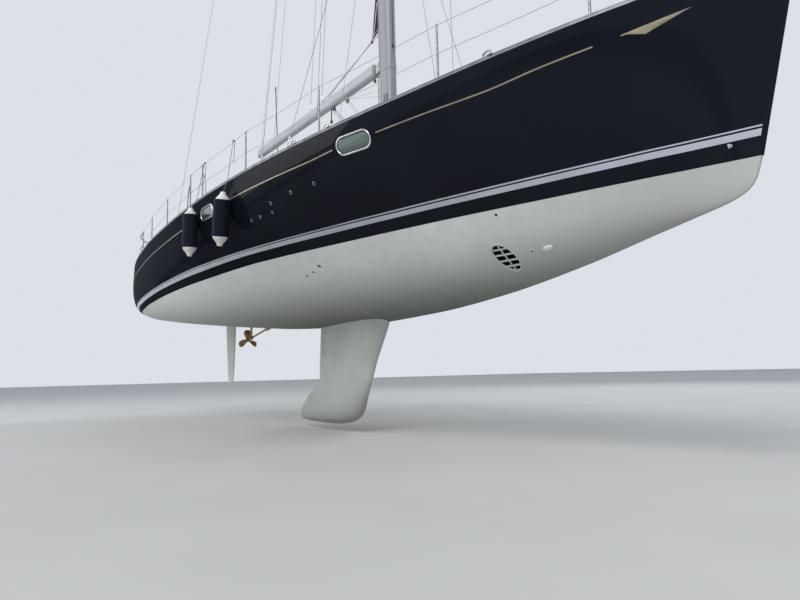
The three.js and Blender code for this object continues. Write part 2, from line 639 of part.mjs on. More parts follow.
// Boom with its vang: both turn about the upright axis just behind the mast
function boom() {
  const at = (x) => [x, 0, boomZ + (swingX - x) * boomRise];
  const depth = 200;
  const width = 140;
  const ring = (x) => Array.from({ length: 12 }, (_, k) => {
    const angle = (2 * Math.PI * k) / 12;
    const c = Math.cos(angle);
    const s = Math.sin(angle);
    return [x, (width / 2) * Math.sign(c) * Math.abs(c) ** 0.7, at(x)[2] + (depth / 2) * Math.sign(s) * Math.abs(s) ** 0.7];
  });
  const vangFoot = [swingX, 0, bracketZ.vang + 40];
  const vangHead = [280, 0, at(280)[2] - depth / 2 - 60];
  const vangPart = (side) => rod([vangFoot[0], side * 14, vangFoot[2]], [vangHead[0], side * 14, vangHead[2]], 6);
  return joined([
    loft([ring(swingX - 110), ring(boomAftX)]),
    rod([swingX, 0, bracketZ.boom + fit], [swingX, 0, boomZ + 90], 26, 26, 16),
    box([swingX - 130, -24, boomZ - 80], [swingX, 24, boomZ + 60]),
    rod([swingX, 0, bracketZ.vang + fit], [swingX, 0, bracketZ.vang + 80], 24, 24, 16),
    box([vangHead[0] - 32, -22, vangHead[2] - 40], [vangHead[0] + 32, 22, at(280)[2] - depth / 2 + 20]),
    vangPart(1), vangPart(-1),
  ]);
}

function sailClew() {
  const aft = mastX - mastLength / 2 - fit;
  return slab([[aft, 3640], [aft - 290, 3570], [aft - 270, 3660], [aft - 60, 4700], [aft, 5400]], -6, 6);
}

// Rudder: a spade on a stock that runs up into the hull
function rudder() {
  const rows = [
    { z: rudderTopZ, lead: 265, tail: -375, thick: 104 },
    { z: -700, lead: 235, tail: -330, thick: 84 },
    { z: -1200, lead: 190, tail: -265, thick: 62 },
    { z: -1480, lead: 130, tail: -215, thick: 44 },
    { z: -1560, lead: 40, tail: -150, thick: 22 },
  ];
  const tipped = ([x, y, z]) => [x, y, z === rudderTopZ ? z + (x - rudderX) * rudderTopSlope : z];
  const blade = loft(rows.map(({ z, lead, tail, thick }) => {
    return foilRing(rudderX + lead, rudderX + tail, z, thick, 14).map(tipped);
  }));
  return blade.add(rod([rudderX, 0, rudderTopZ - 200], [rudderX, 0, 250], 38, 38, 24));
}

const stockBore = () => rod([rudderX, 0, -400], [rudderX, 0, 250 + fit], 40, 40, 24);

const shaftAxis = new THREE.Vector3(Math.cos(shaftSlope), 0, Math.sin(shaftSlope));
const onShaft = (distance) => propellerAt.clone().addScaledVector(shaftAxis, distance).toArray();
const tubeEnd = 1130;

function sternTube() {
  return rod(onShaft(tubeEnd), onShaft(tubeEnd + 700), 40, 40, 16);
}

function shaftBracket(hullSolid) {
  const barrel = rod(onShaft(150), onShaft(290), 34, 34, 24);
  const centre = onShaft(220);
  const arm = loft([-15, 420].map((rise) => foilRing(centre[0] + 62, centre[0] - 58, centre[2] + rise, 30, 12)));
  const bore = rod(onShaft(100), onShaft(340), shaftRadius + 1.2, shaftRadius + 1.2, 24);
  return barrel.add(arm).subtract(bore).subtract(hullSolid.translate([0, 0, -fit]));
}

function propeller() {
  const blades = [0, 120, 240].map((turn) => {
    const rows = [[40, 110, 18, 52], [110, 150, 12, 38], [180, 150, 9, 28], [225, 90, 6, 23]];
    const blade = loft(rows.map(([r, chord, thick, pitch]) => {
      const lean = THREE.MathUtils.degToRad(pitch);
      return foilRing(chord / 2, -chord / 2, 0, thick, 10).map(([u, v]) => [
        u * Math.sin(lean) - v * Math.cos(lean), u * Math.cos(lean) + v * Math.sin(lean), r]);
    }));
    return blade.rotate([turn, 0, 0]).rotate([0, -THREE.MathUtils.radToDeg(shaftSlope), 0])
      .translate(propellerAt.toArray());
  });
  return joined([
    rod(onShaft(-60), onShaft(tubeEnd - fit), shaftRadius, shaftRadius, 24),
    rod(onShaft(-55), onShaft(60), 40, 46, 16), rod(onShaft(-130), onShaft(-55), 12, 40, 16), ...blades,
  ]);
}

function wheelPedestal(side) {
  const y = side * wheelY;
  const ring = (z, fore, aft, half) => [[fore, y + half, z], [aft, y + half, z], [aft, y - half, z], [fore, y - half, z]];
  return loft([ring(soleZ + fit, -5290, -5560, 140), ring(1300, -5360, -5560, 105), ring(1600, -5330, -5560, 125),
    ring(1680, -5380, -5500, 110)]);
}

function steeringWheel(side) {
  const y = side * wheelY;
  const rim = new THREE.TorusGeometry(wheelRadius, 14, 6, 28);
  rim.rotateY(Math.PI / 2);
  rim.translate(wheelX, y, wheelZ);
  const spokes = Array.from({ length: 5 }, (_, k) => {
    const angle = Math.PI / 2 + (2 * Math.PI * k) / 5;
    return rod([wheelX, y, wheelZ], [wheelX, y + wheelRadius * Math.cos(angle), wheelZ + wheelRadius * Math.sin(angle)], 8);
  });
  return joined([toSolid(rim), ...spokes, rod([-5560 - fit, y, wheelZ], [wheelX - 20, y, wheelZ], 34, 34, 16)]);
}

function locker(side) {
  const y = [640, 1180];
  const lid = box([-4750, y[0], seatZ + fit], [-3250, y[1], seatZ + 20]);
  return side > 0 ? lid : mirrored(lid);
}

function companionwayHatch() {
  return box([slide.x[0], -slide.halfWidth, slideZ + fit], [slide.x[1], slide.halfWidth, slideZ + slide.thick]);
}

function washboard() {
  return box([bulkheadX - 22, -345, soleZ + 60], [bulkheadX - fit, 345, slideZ - 6]);
}

function winch([x, y, z], radius) {
  const profile = [[0, -0.1], [1.1, -0.1], [1.1, 0.35], [0.72, 0.6], [0.75, 1.5], [1.05, 1.75], [1.05, 1.95], [0, 2.1]];
  const geometry = new THREE.LatheGeometry(profile.map(([r, h]) => new THREE.Vector2(r * radius, h * radius)), 12);
  geometry.rotateX(Math.PI / 2);
  geometry.translate(x, y, z);
  return toSolid(geometry);
}

function cleat(x, side) {
  const f = fractionAt(x);
  const y = side * (sheerY(f) - 120);
  const z = deckZ(x, Math.abs(y)) - 4;
  return joined([
    box([x - 50, y - 16, z], [x - 26, y + 16, z + 42]), box([x + 26, y - 16, z], [x + 50, y + 16, z + 42]),
    rod([x - 130, y, z + 48], [x, y, z + 44], 9, 14), rod([x + 130, y, z + 48], [x, y, z + 44], 9, 14),
    box([x - 60, y - 20, z], [x + 60, y + 20, z + 6]),
  ]);
}

function anchor() {
  const [aft, bend] = [6500, 7150];
  const line = shankLine(bend);
  const shank = slab([[aft, shankLine(aft) + 10], [bend - 10, line + 26], [7215, line - 40], [7190, line - 56], [bend, line],
    [aft, shankLine(aft)]], -12, 12);
  const flukes = [[7205, -10, 22, 30], [7235, -120, 150, 26], [7190, -230, 110, 22], [7110, -310, 10, 12]];
  const plough = loft(flukes.map(([x, drop, half, thick]) => {
    const z = line + drop;
    return [[x + thick, 0, z], [x, half, z], [x - thick, 0, z], [x, -half, z]];
  }));
  return shank.add(plough);
}

// A fender hangs from the upper guard wire at tieX, its lanyard bent over the toe rail's edge
function fender(x, side, topZ, tieX) {
  const radius = 110;
  const length = 710;
  const profile = [[0, 0], [0.26, 0], [0.34, 0.07], [0.74, 0.11], [1, 0.2], [1, 0.8], [0.74, 0.89], [0.34, 0.93],
    [0.26, 1], [0, 1]];
  const geometry = new THREE.LatheGeometry(profile.map(([r, h]) => new THREE.Vector2(r * radius, h * length)), 12);
  geometry.rotateX(Math.PI / 2);
  geometry.translate(x, side * (sideAt(x, topZ) + radius + 60), topZ - length);
  const body = toSolid(geometry);
  const touched = portlights.reduce((all, light) => all.add(portlightRing(light, side)), hullShape);
  const inward = -side * (body.minGap(touched, 400) - fit);
  const eye = [x, side * (sideAt(x, topZ) + radius + 60) + inward, topZ - 4];
  const railX = (2 * x + tieX) / 3;
  const f = fractionAt(railX);
  const overRail = [railX, side * (sheerY(f) + 12), sheerZ(f) + railHeight];
  const line = guardLineAt(tieX, railRise - 10, side);
  return body.translate([0, inward, 0]).add(rod(eye, overRail, 5))
    .add(rod(overRail, [line[0], line[1] + side * 8.2, line[2]], 5));
}

const boat = new THREE.Group();
boat.name = 'yacht';

function add(name, solid, finish) {
  const mesh = new THREE.Mesh(toGeometry(solid), new THREE.MeshStandardMaterial(finish));
  mesh.name = name;
  boat.add(mesh);
}

const linerCut = wells.map((well) => wellBox(well, linerWall + fit));
const panes = portlights.flatMap((light) => [1, -1].map((side) => ({ light, side })));
const lightPockets = panes.map(({ light, side }) => sidePrism(light, -fit, side).subtract(hullSunk(14 + fit)));
const tunnel = rod([thruster.x, -900, thruster.z], [thruster.x, 900, thruster.z], thruster.radius, thruster.radius, 24);
add('hull', cut(hullShape, [...linerCut, ...lightPockets, tunnel, stockBore()]).add(sternTube()), paint.navy);
const deckShape = deckMoulding(hullShape);
const onDeck = (solid) => seated(solid, deckShape);
add('deck', deckShape, paint.gelcoat);
add('keel', keelFin(hullShape), paint.antifoul);
const rail = seated(toeRail(), hullShape, 0.5);
add('toe_rail', rail, paint.aluminium);
for (const { light, side } of panes) {
  const where = side > 0 ? 'port' : 'starboard';
  add(`portlight_${light.name}_${where}`, portlightRing(light, side), paint.steel);
  add(`pane_${light.name}_${where}`, portlightPane(light, side), paint.glass);
}
for (const [where, side] of [['port', 1], ['starboard', -1]]) {
  const own = (solid) => (side > 0 ? solid : mirrored(solid));
  add(`thruster_grating_${where}`, thrusterGrating(side), paint.antifoul);
  add(`roof_window_${where}`, roofWindow(side), paint.tinted);
  add(`shrouds_${where}`, onDeck(own(shrouds())), paint.steel);
  add(`lifelines_${where}`, onDeck(own(guardLines())), paint.steel);
  add(`pushpit_${where}`, onDeck(own(pushpit())), paint.steel);
  add(`wheel_pedestal_${where}`, wheelPedestal(side), paint.gelcoat);
  add(`steering_wheel_${where}`, steeringWheel(side), paint.steel);
  add(`seat_locker_lid_${where}`, locker(side), paint.gelcoat);
  add(`primary_winch_${where}`, onDeck(winch([-4900, side * (coamingInnerY + 145), 1440], 78)), paint.steel);
  add(`cabin_winch_${where}`, onDeck(winch([-2250, side * 700, roofTop(-2250) - 12], 62)), paint.steel);
  add(`bow_cleat_${where}`, onDeck(cleat(5350, side)), paint.steel);
  add(`stern_cleat_${where}`, onDeck(cleat(-6250, side)), paint.steel);
}
add('mast_step', onDeck(mastStep()), paint.aluminium);
add('mast', mast(), paint.aluminium);
add('furled_headsail', furledHeadsail(), paint.canvas);
add('bow_fitting', seated(seated(onDeck(bowFitting()), rail, 0.5), hullShape, 0.5), paint.steel);
add('anchor', anchor(), paint.galvanised);
add('backstay', onDeck(backstay()), paint.steel);
add('pulpit', onDeck(pulpit()), paint.steel);
add('boom', boom(), paint.aluminium);
add('mainsail_clew', sailClew(), paint.canvas);
add('rudder', rudder(), paint.antifoul);
add('shaft_bracket', shaftBracket(hullShape), paint.bronze);
add('propeller', propeller(), paint.bronze);
for (const hatch of [...hatches, lockerLid]) add(hatch.name, hatchLid(hatch), hatch === lockerLid ? paint.gelcoat : paint.tinted);
add('companionway_hatch', companionwayHatch(), paint.gelcoat);
add('washboard', washboard(), paint.tinted);
add('fender_mid', fender(930, -1, 983, 770), paint.canvas);
add('fender_aft', fender(-280, -1, 1035, -330), paint.canvas);

export default boat;
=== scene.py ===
import json
import math

import bmesh
import bpy
import numpy as np
from mathutils import Matrix, Vector

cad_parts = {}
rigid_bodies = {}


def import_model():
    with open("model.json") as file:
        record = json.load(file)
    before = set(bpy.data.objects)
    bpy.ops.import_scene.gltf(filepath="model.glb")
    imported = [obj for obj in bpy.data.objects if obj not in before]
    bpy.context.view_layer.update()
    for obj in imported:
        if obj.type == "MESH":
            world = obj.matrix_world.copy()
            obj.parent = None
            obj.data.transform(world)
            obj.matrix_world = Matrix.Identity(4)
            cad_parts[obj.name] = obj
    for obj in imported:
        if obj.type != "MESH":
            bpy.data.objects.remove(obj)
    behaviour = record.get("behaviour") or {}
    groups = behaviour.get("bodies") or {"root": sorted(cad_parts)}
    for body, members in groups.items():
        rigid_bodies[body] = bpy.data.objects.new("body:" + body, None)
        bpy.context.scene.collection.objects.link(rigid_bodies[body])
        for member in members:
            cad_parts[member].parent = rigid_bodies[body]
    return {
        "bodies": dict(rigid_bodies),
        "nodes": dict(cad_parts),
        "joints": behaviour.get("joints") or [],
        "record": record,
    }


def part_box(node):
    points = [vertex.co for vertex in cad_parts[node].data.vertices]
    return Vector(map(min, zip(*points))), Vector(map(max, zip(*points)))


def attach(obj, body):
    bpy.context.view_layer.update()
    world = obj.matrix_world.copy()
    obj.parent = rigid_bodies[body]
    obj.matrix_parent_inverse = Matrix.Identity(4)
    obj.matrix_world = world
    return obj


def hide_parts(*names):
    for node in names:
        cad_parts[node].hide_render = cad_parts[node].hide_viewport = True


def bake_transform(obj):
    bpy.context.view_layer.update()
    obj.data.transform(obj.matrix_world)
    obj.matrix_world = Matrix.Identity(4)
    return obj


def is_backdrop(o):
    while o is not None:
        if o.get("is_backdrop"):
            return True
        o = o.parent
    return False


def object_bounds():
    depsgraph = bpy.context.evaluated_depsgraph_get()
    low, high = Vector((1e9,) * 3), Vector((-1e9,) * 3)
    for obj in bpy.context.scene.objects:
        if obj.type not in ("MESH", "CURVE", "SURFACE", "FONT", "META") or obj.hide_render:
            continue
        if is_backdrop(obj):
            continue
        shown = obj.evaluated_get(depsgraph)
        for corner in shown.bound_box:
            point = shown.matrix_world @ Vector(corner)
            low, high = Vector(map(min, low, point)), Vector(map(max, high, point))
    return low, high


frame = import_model()
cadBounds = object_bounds()
nodes = frame["nodes"]
tau = 2 * math.pi
beams = (("port", 1), ("starboard", -1))

# Camera: one shot from low on the starboard bow, looking aft and a little up
view = {
    "place": (9.13722249, -4.7, -1.42318403),
    "right": (0.5323691, 0.84619317, -0.02324374),
    "down": (-0.1068827, 0.03995438, -0.99346854),
    "forward": (-0.8397376, 0.5313763, 0.11171389),
    "lens": 29.25,
    "sensor": 36.0,
    "far": 400,
}


def placeCamera():
    # the camera's own x, y and z are the view's right, the opposite of its down and of its forward
    data = bpy.data.cameras.new("camera")
    data.lens, data.sensor_width, data.sensor_fit = view["lens"], view["sensor"], "HORIZONTAL"
    data.clip_end = view["far"]
    camera = bpy.data.objects.new("camera", data)
    bpy.context.scene.collection.objects.link(camera)
    turn = np.eye(4)
    turn[:3, 0] = view["right"]
    turn[:3, 1] = -np.array(view["down"])
    turn[:3, 2] = -np.array(view["forward"])
    turn[:3, 3] = view["place"]
    camera.matrix_world = Matrix(turn.tolist())
    bpy.context.scene.camera = camera


placeCamera()


# Shapes are triples of points, faces and face corners' uv; a triangle's fourth index is -1
def grid(points, around=False, caps=False, uvScale=(1.0, 1.0)):
    # quads between neighbouring rows and columns; around joins the last column to the first
    points = np.asarray(points, float)
    rows, cols = points.shape[:2]
    r, c = np.meshgrid(np.arange(rows - 1), np.arange(cols if around else cols - 1), indexing="ij")
    nextC = (c + 1) % cols
    faces = np.stack([r * cols + c, r * cols + nextC, (r + 1) * cols + nextC, (r + 1) * cols + c], -1).reshape(-1, 4)
    u = np.stack([c, c + 1, c + 1, c], -1) / max(cols - 1, 1) * uvScale[0]
    v = np.stack([r, r, r + 1, r + 1], -1) / max(rows - 1, 1) * uvScale[1]
    uvs = np.stack([u, v], -1).reshape(-1, 4, 2)
    flat = points.reshape(-1, 3)
    if caps:
        # each end row closes on its own middle point
        k = np.arange(cols)
        last = (rows - 1) * cols
        centres = np.array([points[0].mean(0), points[-1].mean(0)])
        start = np.stack([(k + 1) % cols, k, np.full(cols, len(flat)), np.full(cols, -1)], -1)
        end = np.stack([last + k, last + (k + 1) % cols, np.full(cols, len(flat) + 1), np.full(cols, -1)], -1)
        faces = np.concatenate([faces, start, end])
        uvs = np.concatenate([uvs, np.zeros((2 * cols, 4, 2))])
        flat = np.concatenate([flat, centres])
    return flat, faces, uvs


def merged(*shapes):
    # one shape of all, each one's faces counted on from the points before it
    points, faces, uvs, base = [], [], [], 0
    for p, f, uv in shapes:
        points.append(p)
        faces.append(np.where(f >= 0, f + base, -1))
        uvs.append(uv)
        base += len(p)
    return np.concatenate(points), np.concatenate(faces), np.concatenate(uvs)


def flipped(shape):
    # the corners of each face in the opposite order; a triangle keeps its empty fourth index last
    points, faces, uvs = shape
    quad = faces[:, 3] >= 0
    turned, turnedUv = faces[:, ::-1].copy(), uvs[:, ::-1].copy()
    turned[~quad] = faces[~quad][:, [2, 1, 0, 3]]
    turnedUv[~quad] = uvs[~quad][:, [2, 1, 0, 3]]
    return points, turned, turnedUv


def mirroredShape(shape):
    # the same shape on the other side of the boat, with its faces turned to point outwards again
    points, faces, uvs = flipped(shape)
    return points * [1, -1, 1], faces, uvs


def bothSides(shape):
    return merged(shape, mirroredShape(shape))


def onBeam(shape, side):
    # shapes are worked out for port, and turned over for starboard
    return shape if side > 0 else mirroredShape(shape)


def moved(shape, offset):
    return shape[0] + np.asarray(offset, float), shape[1], shape[2]


def spline(points, count):
    # Catmull-Rom curve through the points, at even steps of the points' own distances
    p = np.asarray(points, float)
    if len(p) == 2:
        return p[0] + (p[1] - p[0]) * np.linspace(0, 1, count)[:, None]
    steps = np.linalg.norm(np.diff(p, axis=0), axis=1) ** 0.5
    knots = np.concatenate([[0], np.cumsum(steps)])
    padded = np.concatenate([[2 * p[0] - p[1]], p, [2 * p[-1] - p[-2]]])
    pk = np.concatenate([[-steps[0]], knots, [knots[-1] + steps[-1]]])
    at = np.linspace(0, knots[-1], count)
    k = np.clip(np.searchsorted(knots, at, "right") - 1, 0, len(p) - 2)
    p0, p1, p2, p3 = (padded[k + n] for n in range(4))
    t0, t1, t2, t3 = (pk[k + n][:, None] for n in range(4))
    t = at[:, None]
    a1 = (t1 - t) / (t1 - t0) * p0 + (t - t0) / (t1 - t0) * p1
    a2 = (t2 - t) / (t2 - t1) * p1 + (t - t1) / (t2 - t1) * p2
    a3 = (t3 - t) / (t3 - t2) * p2 + (t - t2) / (t3 - t2) * p3
    b1 = (t2 - t) / (t2 - t0) * a1 + (t - t0) / (t2 - t0) * a2
    b2 = (t3 - t) / (t3 - t1) * a2 + (t - t1) / (t3 - t1) * a3
    return (t2 - t) / (t2 - t1) * b1 + (t - t1) / (t2 - t1) * b2


def unit(vectors):
    vectors = np.asarray(vectors, float)
    return vectors / np.maximum(np.linalg.norm(vectors, axis=-1, keepdims=True), 1e-12)


def pathFrames(path, up=None, closed=False):
    # tangent, side and top at each point of the path; up is the normal of the path's own plane by default
    if closed:
        tangent = unit(np.roll(path, -1, 0) - np.roll(path, 1, 0))
    else:
        tangent = unit(np.gradient(path, axis=0))
    if up is None:
        up = np.linalg.svd(path - path.mean(0))[2][2]
    side = unit(np.cross(np.asarray(up, float), tangent))
    return tangent, side, np.cross(tangent, side)


def sweep(path, profile, up=None, closed=False, scale=None):
    # point = path + side * profile's first + top * profile's second, times the scale at that place
    path, profile = np.asarray(path, float), np.asarray(profile, float)
    tangent, side, top = pathFrames(path, up, closed)
    size = np.ones(len(path)) if scale is None else np.asarray(scale, float)
    across = profile[None, :, 0, None] * side[:, None] + profile[None, :, 1, None] * top[:, None]
    points = path[:, None] + across * size[:, None, None]
    length = np.linalg.norm(np.diff(path, axis=0), axis=1).sum()
    if closed:
        points = np.concatenate([points, points[:1]])
    return flipped(grid(points, around=True, caps=not closed, uvScale=(1, length)))


def turns(count):
    # even angles once round
    return np.arange(count) / count * tau


def circle(radius, sides):
    a = turns(sides)
    return np.stack([radius * np.cos(a), radius * np.sin(a)], -1)


def tube(points, radius, sides=10, count=None, up=None):
    # round bar along a smooth path; the ends are softened by a short step in
    path = spline(points, count) if count else np.asarray(points, float)
    lead, tail = unit(path[0] - path[1]), unit(path[-1] - path[-2])
    ends = min(radius * 0.3, 0.004)
    path = np.concatenate([[path[0]], [path[0] - lead * ends], path[1:-1], [path[-1] - tail * ends], [path[-1]]])
    scale = np.ones(len(path))
    scale[0] = scale[-1] = 0.75
    return sweep(path, circle(radius, sides), up, scale=scale)


def lathe(profile, base, direction=(0, 0, 1), sides=24):
    # profile rows are (height, radius) along the direction from the base, closed at both ends
    profile = np.asarray(profile, float)
    axis = unit(direction)
    helper = np.array([1.0, 0, 0]) if abs(axis[0]) < 0.8 else np.array([0, 1.0, 0])
    first = unit(np.cross(axis, helper))
    second = np.cross(axis, first)
    a = turns(sides)
    ring = np.cos(a)[:, None] * first + np.sin(a)[:, None] * second
    points = np.asarray(base, float) + profile[:, :1, None] * axis + profile[:, 1:, None] * ring[None]
    return grid(points, around=True, caps=True)


def block(low, high):
    # plain box as a grid of four corners by two heights
    (x0, y0, z0), (x1, y1, z1) = low, high
    ring = np.array([[x0, y0], [x1, y0], [x1, y1], [x0, y1]])
    points = np.stack([np.c_[ring, np.full(4, z)] for z in (z0, z1)])
    faces = np.array([[3, 2, 1, 0], [4, 5, 6, 7], [0, 1, 5, 4], [1, 2, 6, 5], [2, 3, 7, 6], [3, 0, 4, 7]])
    return points.reshape(-1, 3), faces, np.zeros((6, 4, 2))


def roundedRing(centre, half, corner, steps=6):
    # rectangle with round corners: four quarter circles joined by straight sides
    a = np.linspace(0, math.pi / 2, steps)
    turns = np.concatenate([a + k * math.pi / 2 for k in range(4)])
    quarter = np.repeat(np.arange(4), steps)
    signX, signY = np.array([1, -1, -1, 1])[quarter], np.array([1, 1, -1, -1])[quarter]
    x = centre[0] + signX * (half[0] - corner) + corner * np.cos(turns)
    y = centre[1] + signY * (half[1] - corner) + corner * np.sin(turns)
    return np.stack([x, y], -1)


def plate(centre, half, corner, rows, steps=6):
    # rows are (inset, height): one rounded rectangle at each, the corners tightening with the inset
    rings = []
    for inset, z in rows:
        ring = roundedRing(centre, (half[0] - inset, half[1] - inset), max(corner - inset, 0.001), steps)
        rings.append(np.c_[ring, np.full(len(ring), z)])
    return loft(rings)


def softRows(low, high, foot=0.0, top=0.0):
    # insets and heights of a plate whose lower and upper edges are rounded by quarter circles
    rows = [(0.0, low)] if foot <= 0 else []
    a = np.linspace(0, math.pi / 2, 5)
    if foot > 0:
        rows += [(foot * (1 - math.sin(t)), low + foot * (1 - math.cos(t))) for t in a]
    if top > 0:
        rows += [(top * (1 - math.cos(t)), high - top * (1 - math.sin(t))) for t in a]
    else:
        rows.append((0.0, high))
    return rows


def pitched(shape, place, slope):
    # turned in the boat's upright plane so that z falls by slope along x, then moved to its place
    points, faces, uvs = shape
    c, n = math.cos(slope), math.sin(slope)
    turned = np.stack([points[:, 0] * c - points[:, 2] * n, points[:, 1], points[:, 0] * n + points[:, 2] * c], -1)
    return turned + np.asarray(place, float), faces, uvs


def tiltedLathe(profile, base, towards, sides):
    return lathe(profile, base, np.asarray(towards, float) - np.asarray(base, float), sides)


def loft(rings):
    # skin through closed rings, its first and last ring closed too
    return grid(rings, around=True, caps=True)


def openEnds(shape):
    # a loft without the middle points that close its two ends
    kept = shape[1][:, 3] >= 0
    return shape[0][:-2], shape[1][kept], shape[2][kept]


def monotone(xs, ys):
    # cubic pieces whose slopes are weighted harmonic means of the neighbouring rises, so none overshoots
    order = np.argsort(xs)
    xs, ys = np.asarray(xs, float)[order], np.asarray(ys, float)[order]
    h = np.diff(xs)
    rise = np.diff(ys) / h
    slope = np.concatenate([rise[:1], np.zeros(len(xs) - 2), rise[-1:]])
    near, far = 2 * h[1:] + h[:-1], h[1:] + 2 * h[:-1]
    same = rise[:-1] * rise[1:] > 0
    slope[1:-1][same] = ((near + far)[same]
                         / (near[same] / rise[:-1][same] + far[same] / rise[1:][same]))

    def value(at):
        at = np.asarray(at, float)
        k = np.clip(np.searchsorted(xs, at, "right") - 1, 0, len(xs) - 2)
        t = (at - xs[k]) / h[k]
        return ((2 * t ** 3 - 3 * t ** 2 + 1) * ys[k] + (t ** 3 - 2 * t ** 2 + t) * h[k] * slope[k]
                + (3 * t ** 2 - 2 * t ** 3) * ys[k + 1] + (t ** 3 - t ** 2) * h[k] * slope[k + 1])
    return value


def makeMesh(name, shape):
    points, faces, uvs = shape
    used = faces >= 0
    counts = used.sum(1)
    mesh = bpy.data.meshes.new(name)
    mesh.vertices.add(len(points))
    mesh.vertices.foreach_set("co", np.ascontiguousarray(points, np.float32).ravel())
    mesh.loops.add(int(counts.sum()))
    mesh.loops.foreach_set("vertex_index", faces[used].astype(np.int32))
    mesh.polygons.add(len(faces))
    mesh.polygons.foreach_set("loop_start", (np.cumsum(counts) - counts).astype(np.int32))
    mesh.update(calc_edges=True)
    flow = mesh.uv_layers.new(name="flow")
    flow.data.foreach_set("uv", np.ascontiguousarray(uvs[used], np.float32).ravel())
    mesh.polygons.foreach_set("use_smooth", np.ones(len(faces), bool))
    mesh.validate()
    return mesh


def closeSeams(mesh, outward=True):
    # welds doubled points and turns the faces to point out
    work = bmesh.new()
    work.from_mesh(mesh)
    bmesh.ops.remove_doubles(work, verts=work.verts, dist=1e-5)
    if outward:
        bmesh.ops.recalc_face_normals(work, faces=work.faces)
    work.to_mesh(mesh)
    work.free()


def addPiece(name, shape, finishes, body, replaces=(), sharp=38, bevel=0, merge=True, faceFinish=None,
             outward=True):
    # one finished object at the origin: merge welds its seams, outward turns its faces out, bevel softens its edges
    mesh = makeMesh(name, shape)
    for material in finishes if isinstance(finishes, (list, tuple)) else [finishes]:
        mesh.materials.append(material)
    if faceFinish is not None:
        mesh.polygons.foreach_set("material_index", np.asarray(faceFinish, np.int32))
    if merge or outward:
        closeSeams(mesh, outward)
    mesh.set_sharp_from_angle(angle=math.radians(sharp))
    piece = bpy.data.objects.new(name, mesh)
    bpy.context.scene.collection.objects.link(piece)
    if bevel:
        soft = piece.modifiers.new("soft edges", "BEVEL")
        soft.width, soft.segments, soft.limit_method, soft.angle_limit = bevel, 2, "ANGLE", math.radians(35)
        soft.harden_normals = True
    return settle(piece, body, replaces)


def settle(piece, body, replaces=()):
    # the nodes that a piece stands for and the body that carries it
    if replaces:
        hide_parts(*replaces)
    if body:
        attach(piece, body)
    return piece


def carved(piece, *steps, sharp=38):
    # each step is a boolean's name and a shape that is joined to, kept of or taken from the piece's closed mesh
    for operation, shape in steps:
        tool = bpy.data.objects.new("tool", makeMesh("tool", shape))
        closeSeams(tool.data)
        bpy.context.scene.collection.objects.link(tool)
        change = piece.modifiers.new("change", "BOOLEAN")
        change.operation, change.solver, change.object = operation, "MANIFOLD", tool
        graph = bpy.context.evaluated_depsgraph_get()
        done = bpy.data.meshes.new_from_object(piece.evaluated_get(graph), depsgraph=graph)
        piece.modifiers.clear()
        piece.data = done
        bpy.data.objects.remove(tool)
    piece.data.polygons.foreach_set("use_smooth", np.ones(len(piece.data.polygons), bool))
    piece.data.set_sharp_from_angle(angle=math.radians(sharp))
    return piece


# Finishes: a signal is a node's output, and arithmetic on it adds Math nodes
class Signal:
    def __init__(self, finish, socket):
        self.finish, self.socket = finish, socket

    def math(self, operation, other=None, first=None):
        values = {0: self if first is None else first}
        if other is not None or first is not None:
            values[1] = self if first is not None else other
        return self.finish.node("ShaderNodeMath", {"operation": operation}, values)

    def __add__(self, other):
        return self.math("ADD", other)

    def __sub__(self, other):
        return self.math("SUBTRACT", other)

    def __mul__(self, other):
        return self.math("MULTIPLY", other)

    def __truediv__(self, other):
        return self.math("DIVIDE", other)

    def __rsub__(self, other):
        return self.math("SUBTRACT", first=other)

    def __gt__(self, other):
        return self.math("GREATER_THAN", other)

    __radd__, __rmul__ = __add__, __mul__

    def clamped(self, low, high, outLow=0.0, outHigh=1.0):
        return self.finish.node("ShaderNodeMapRange", {"clamp": True, "interpolation_type": "SMOOTHSTEP"},
                                {0: self, 1: low, 2: high, 3: outLow, 4: outHigh})


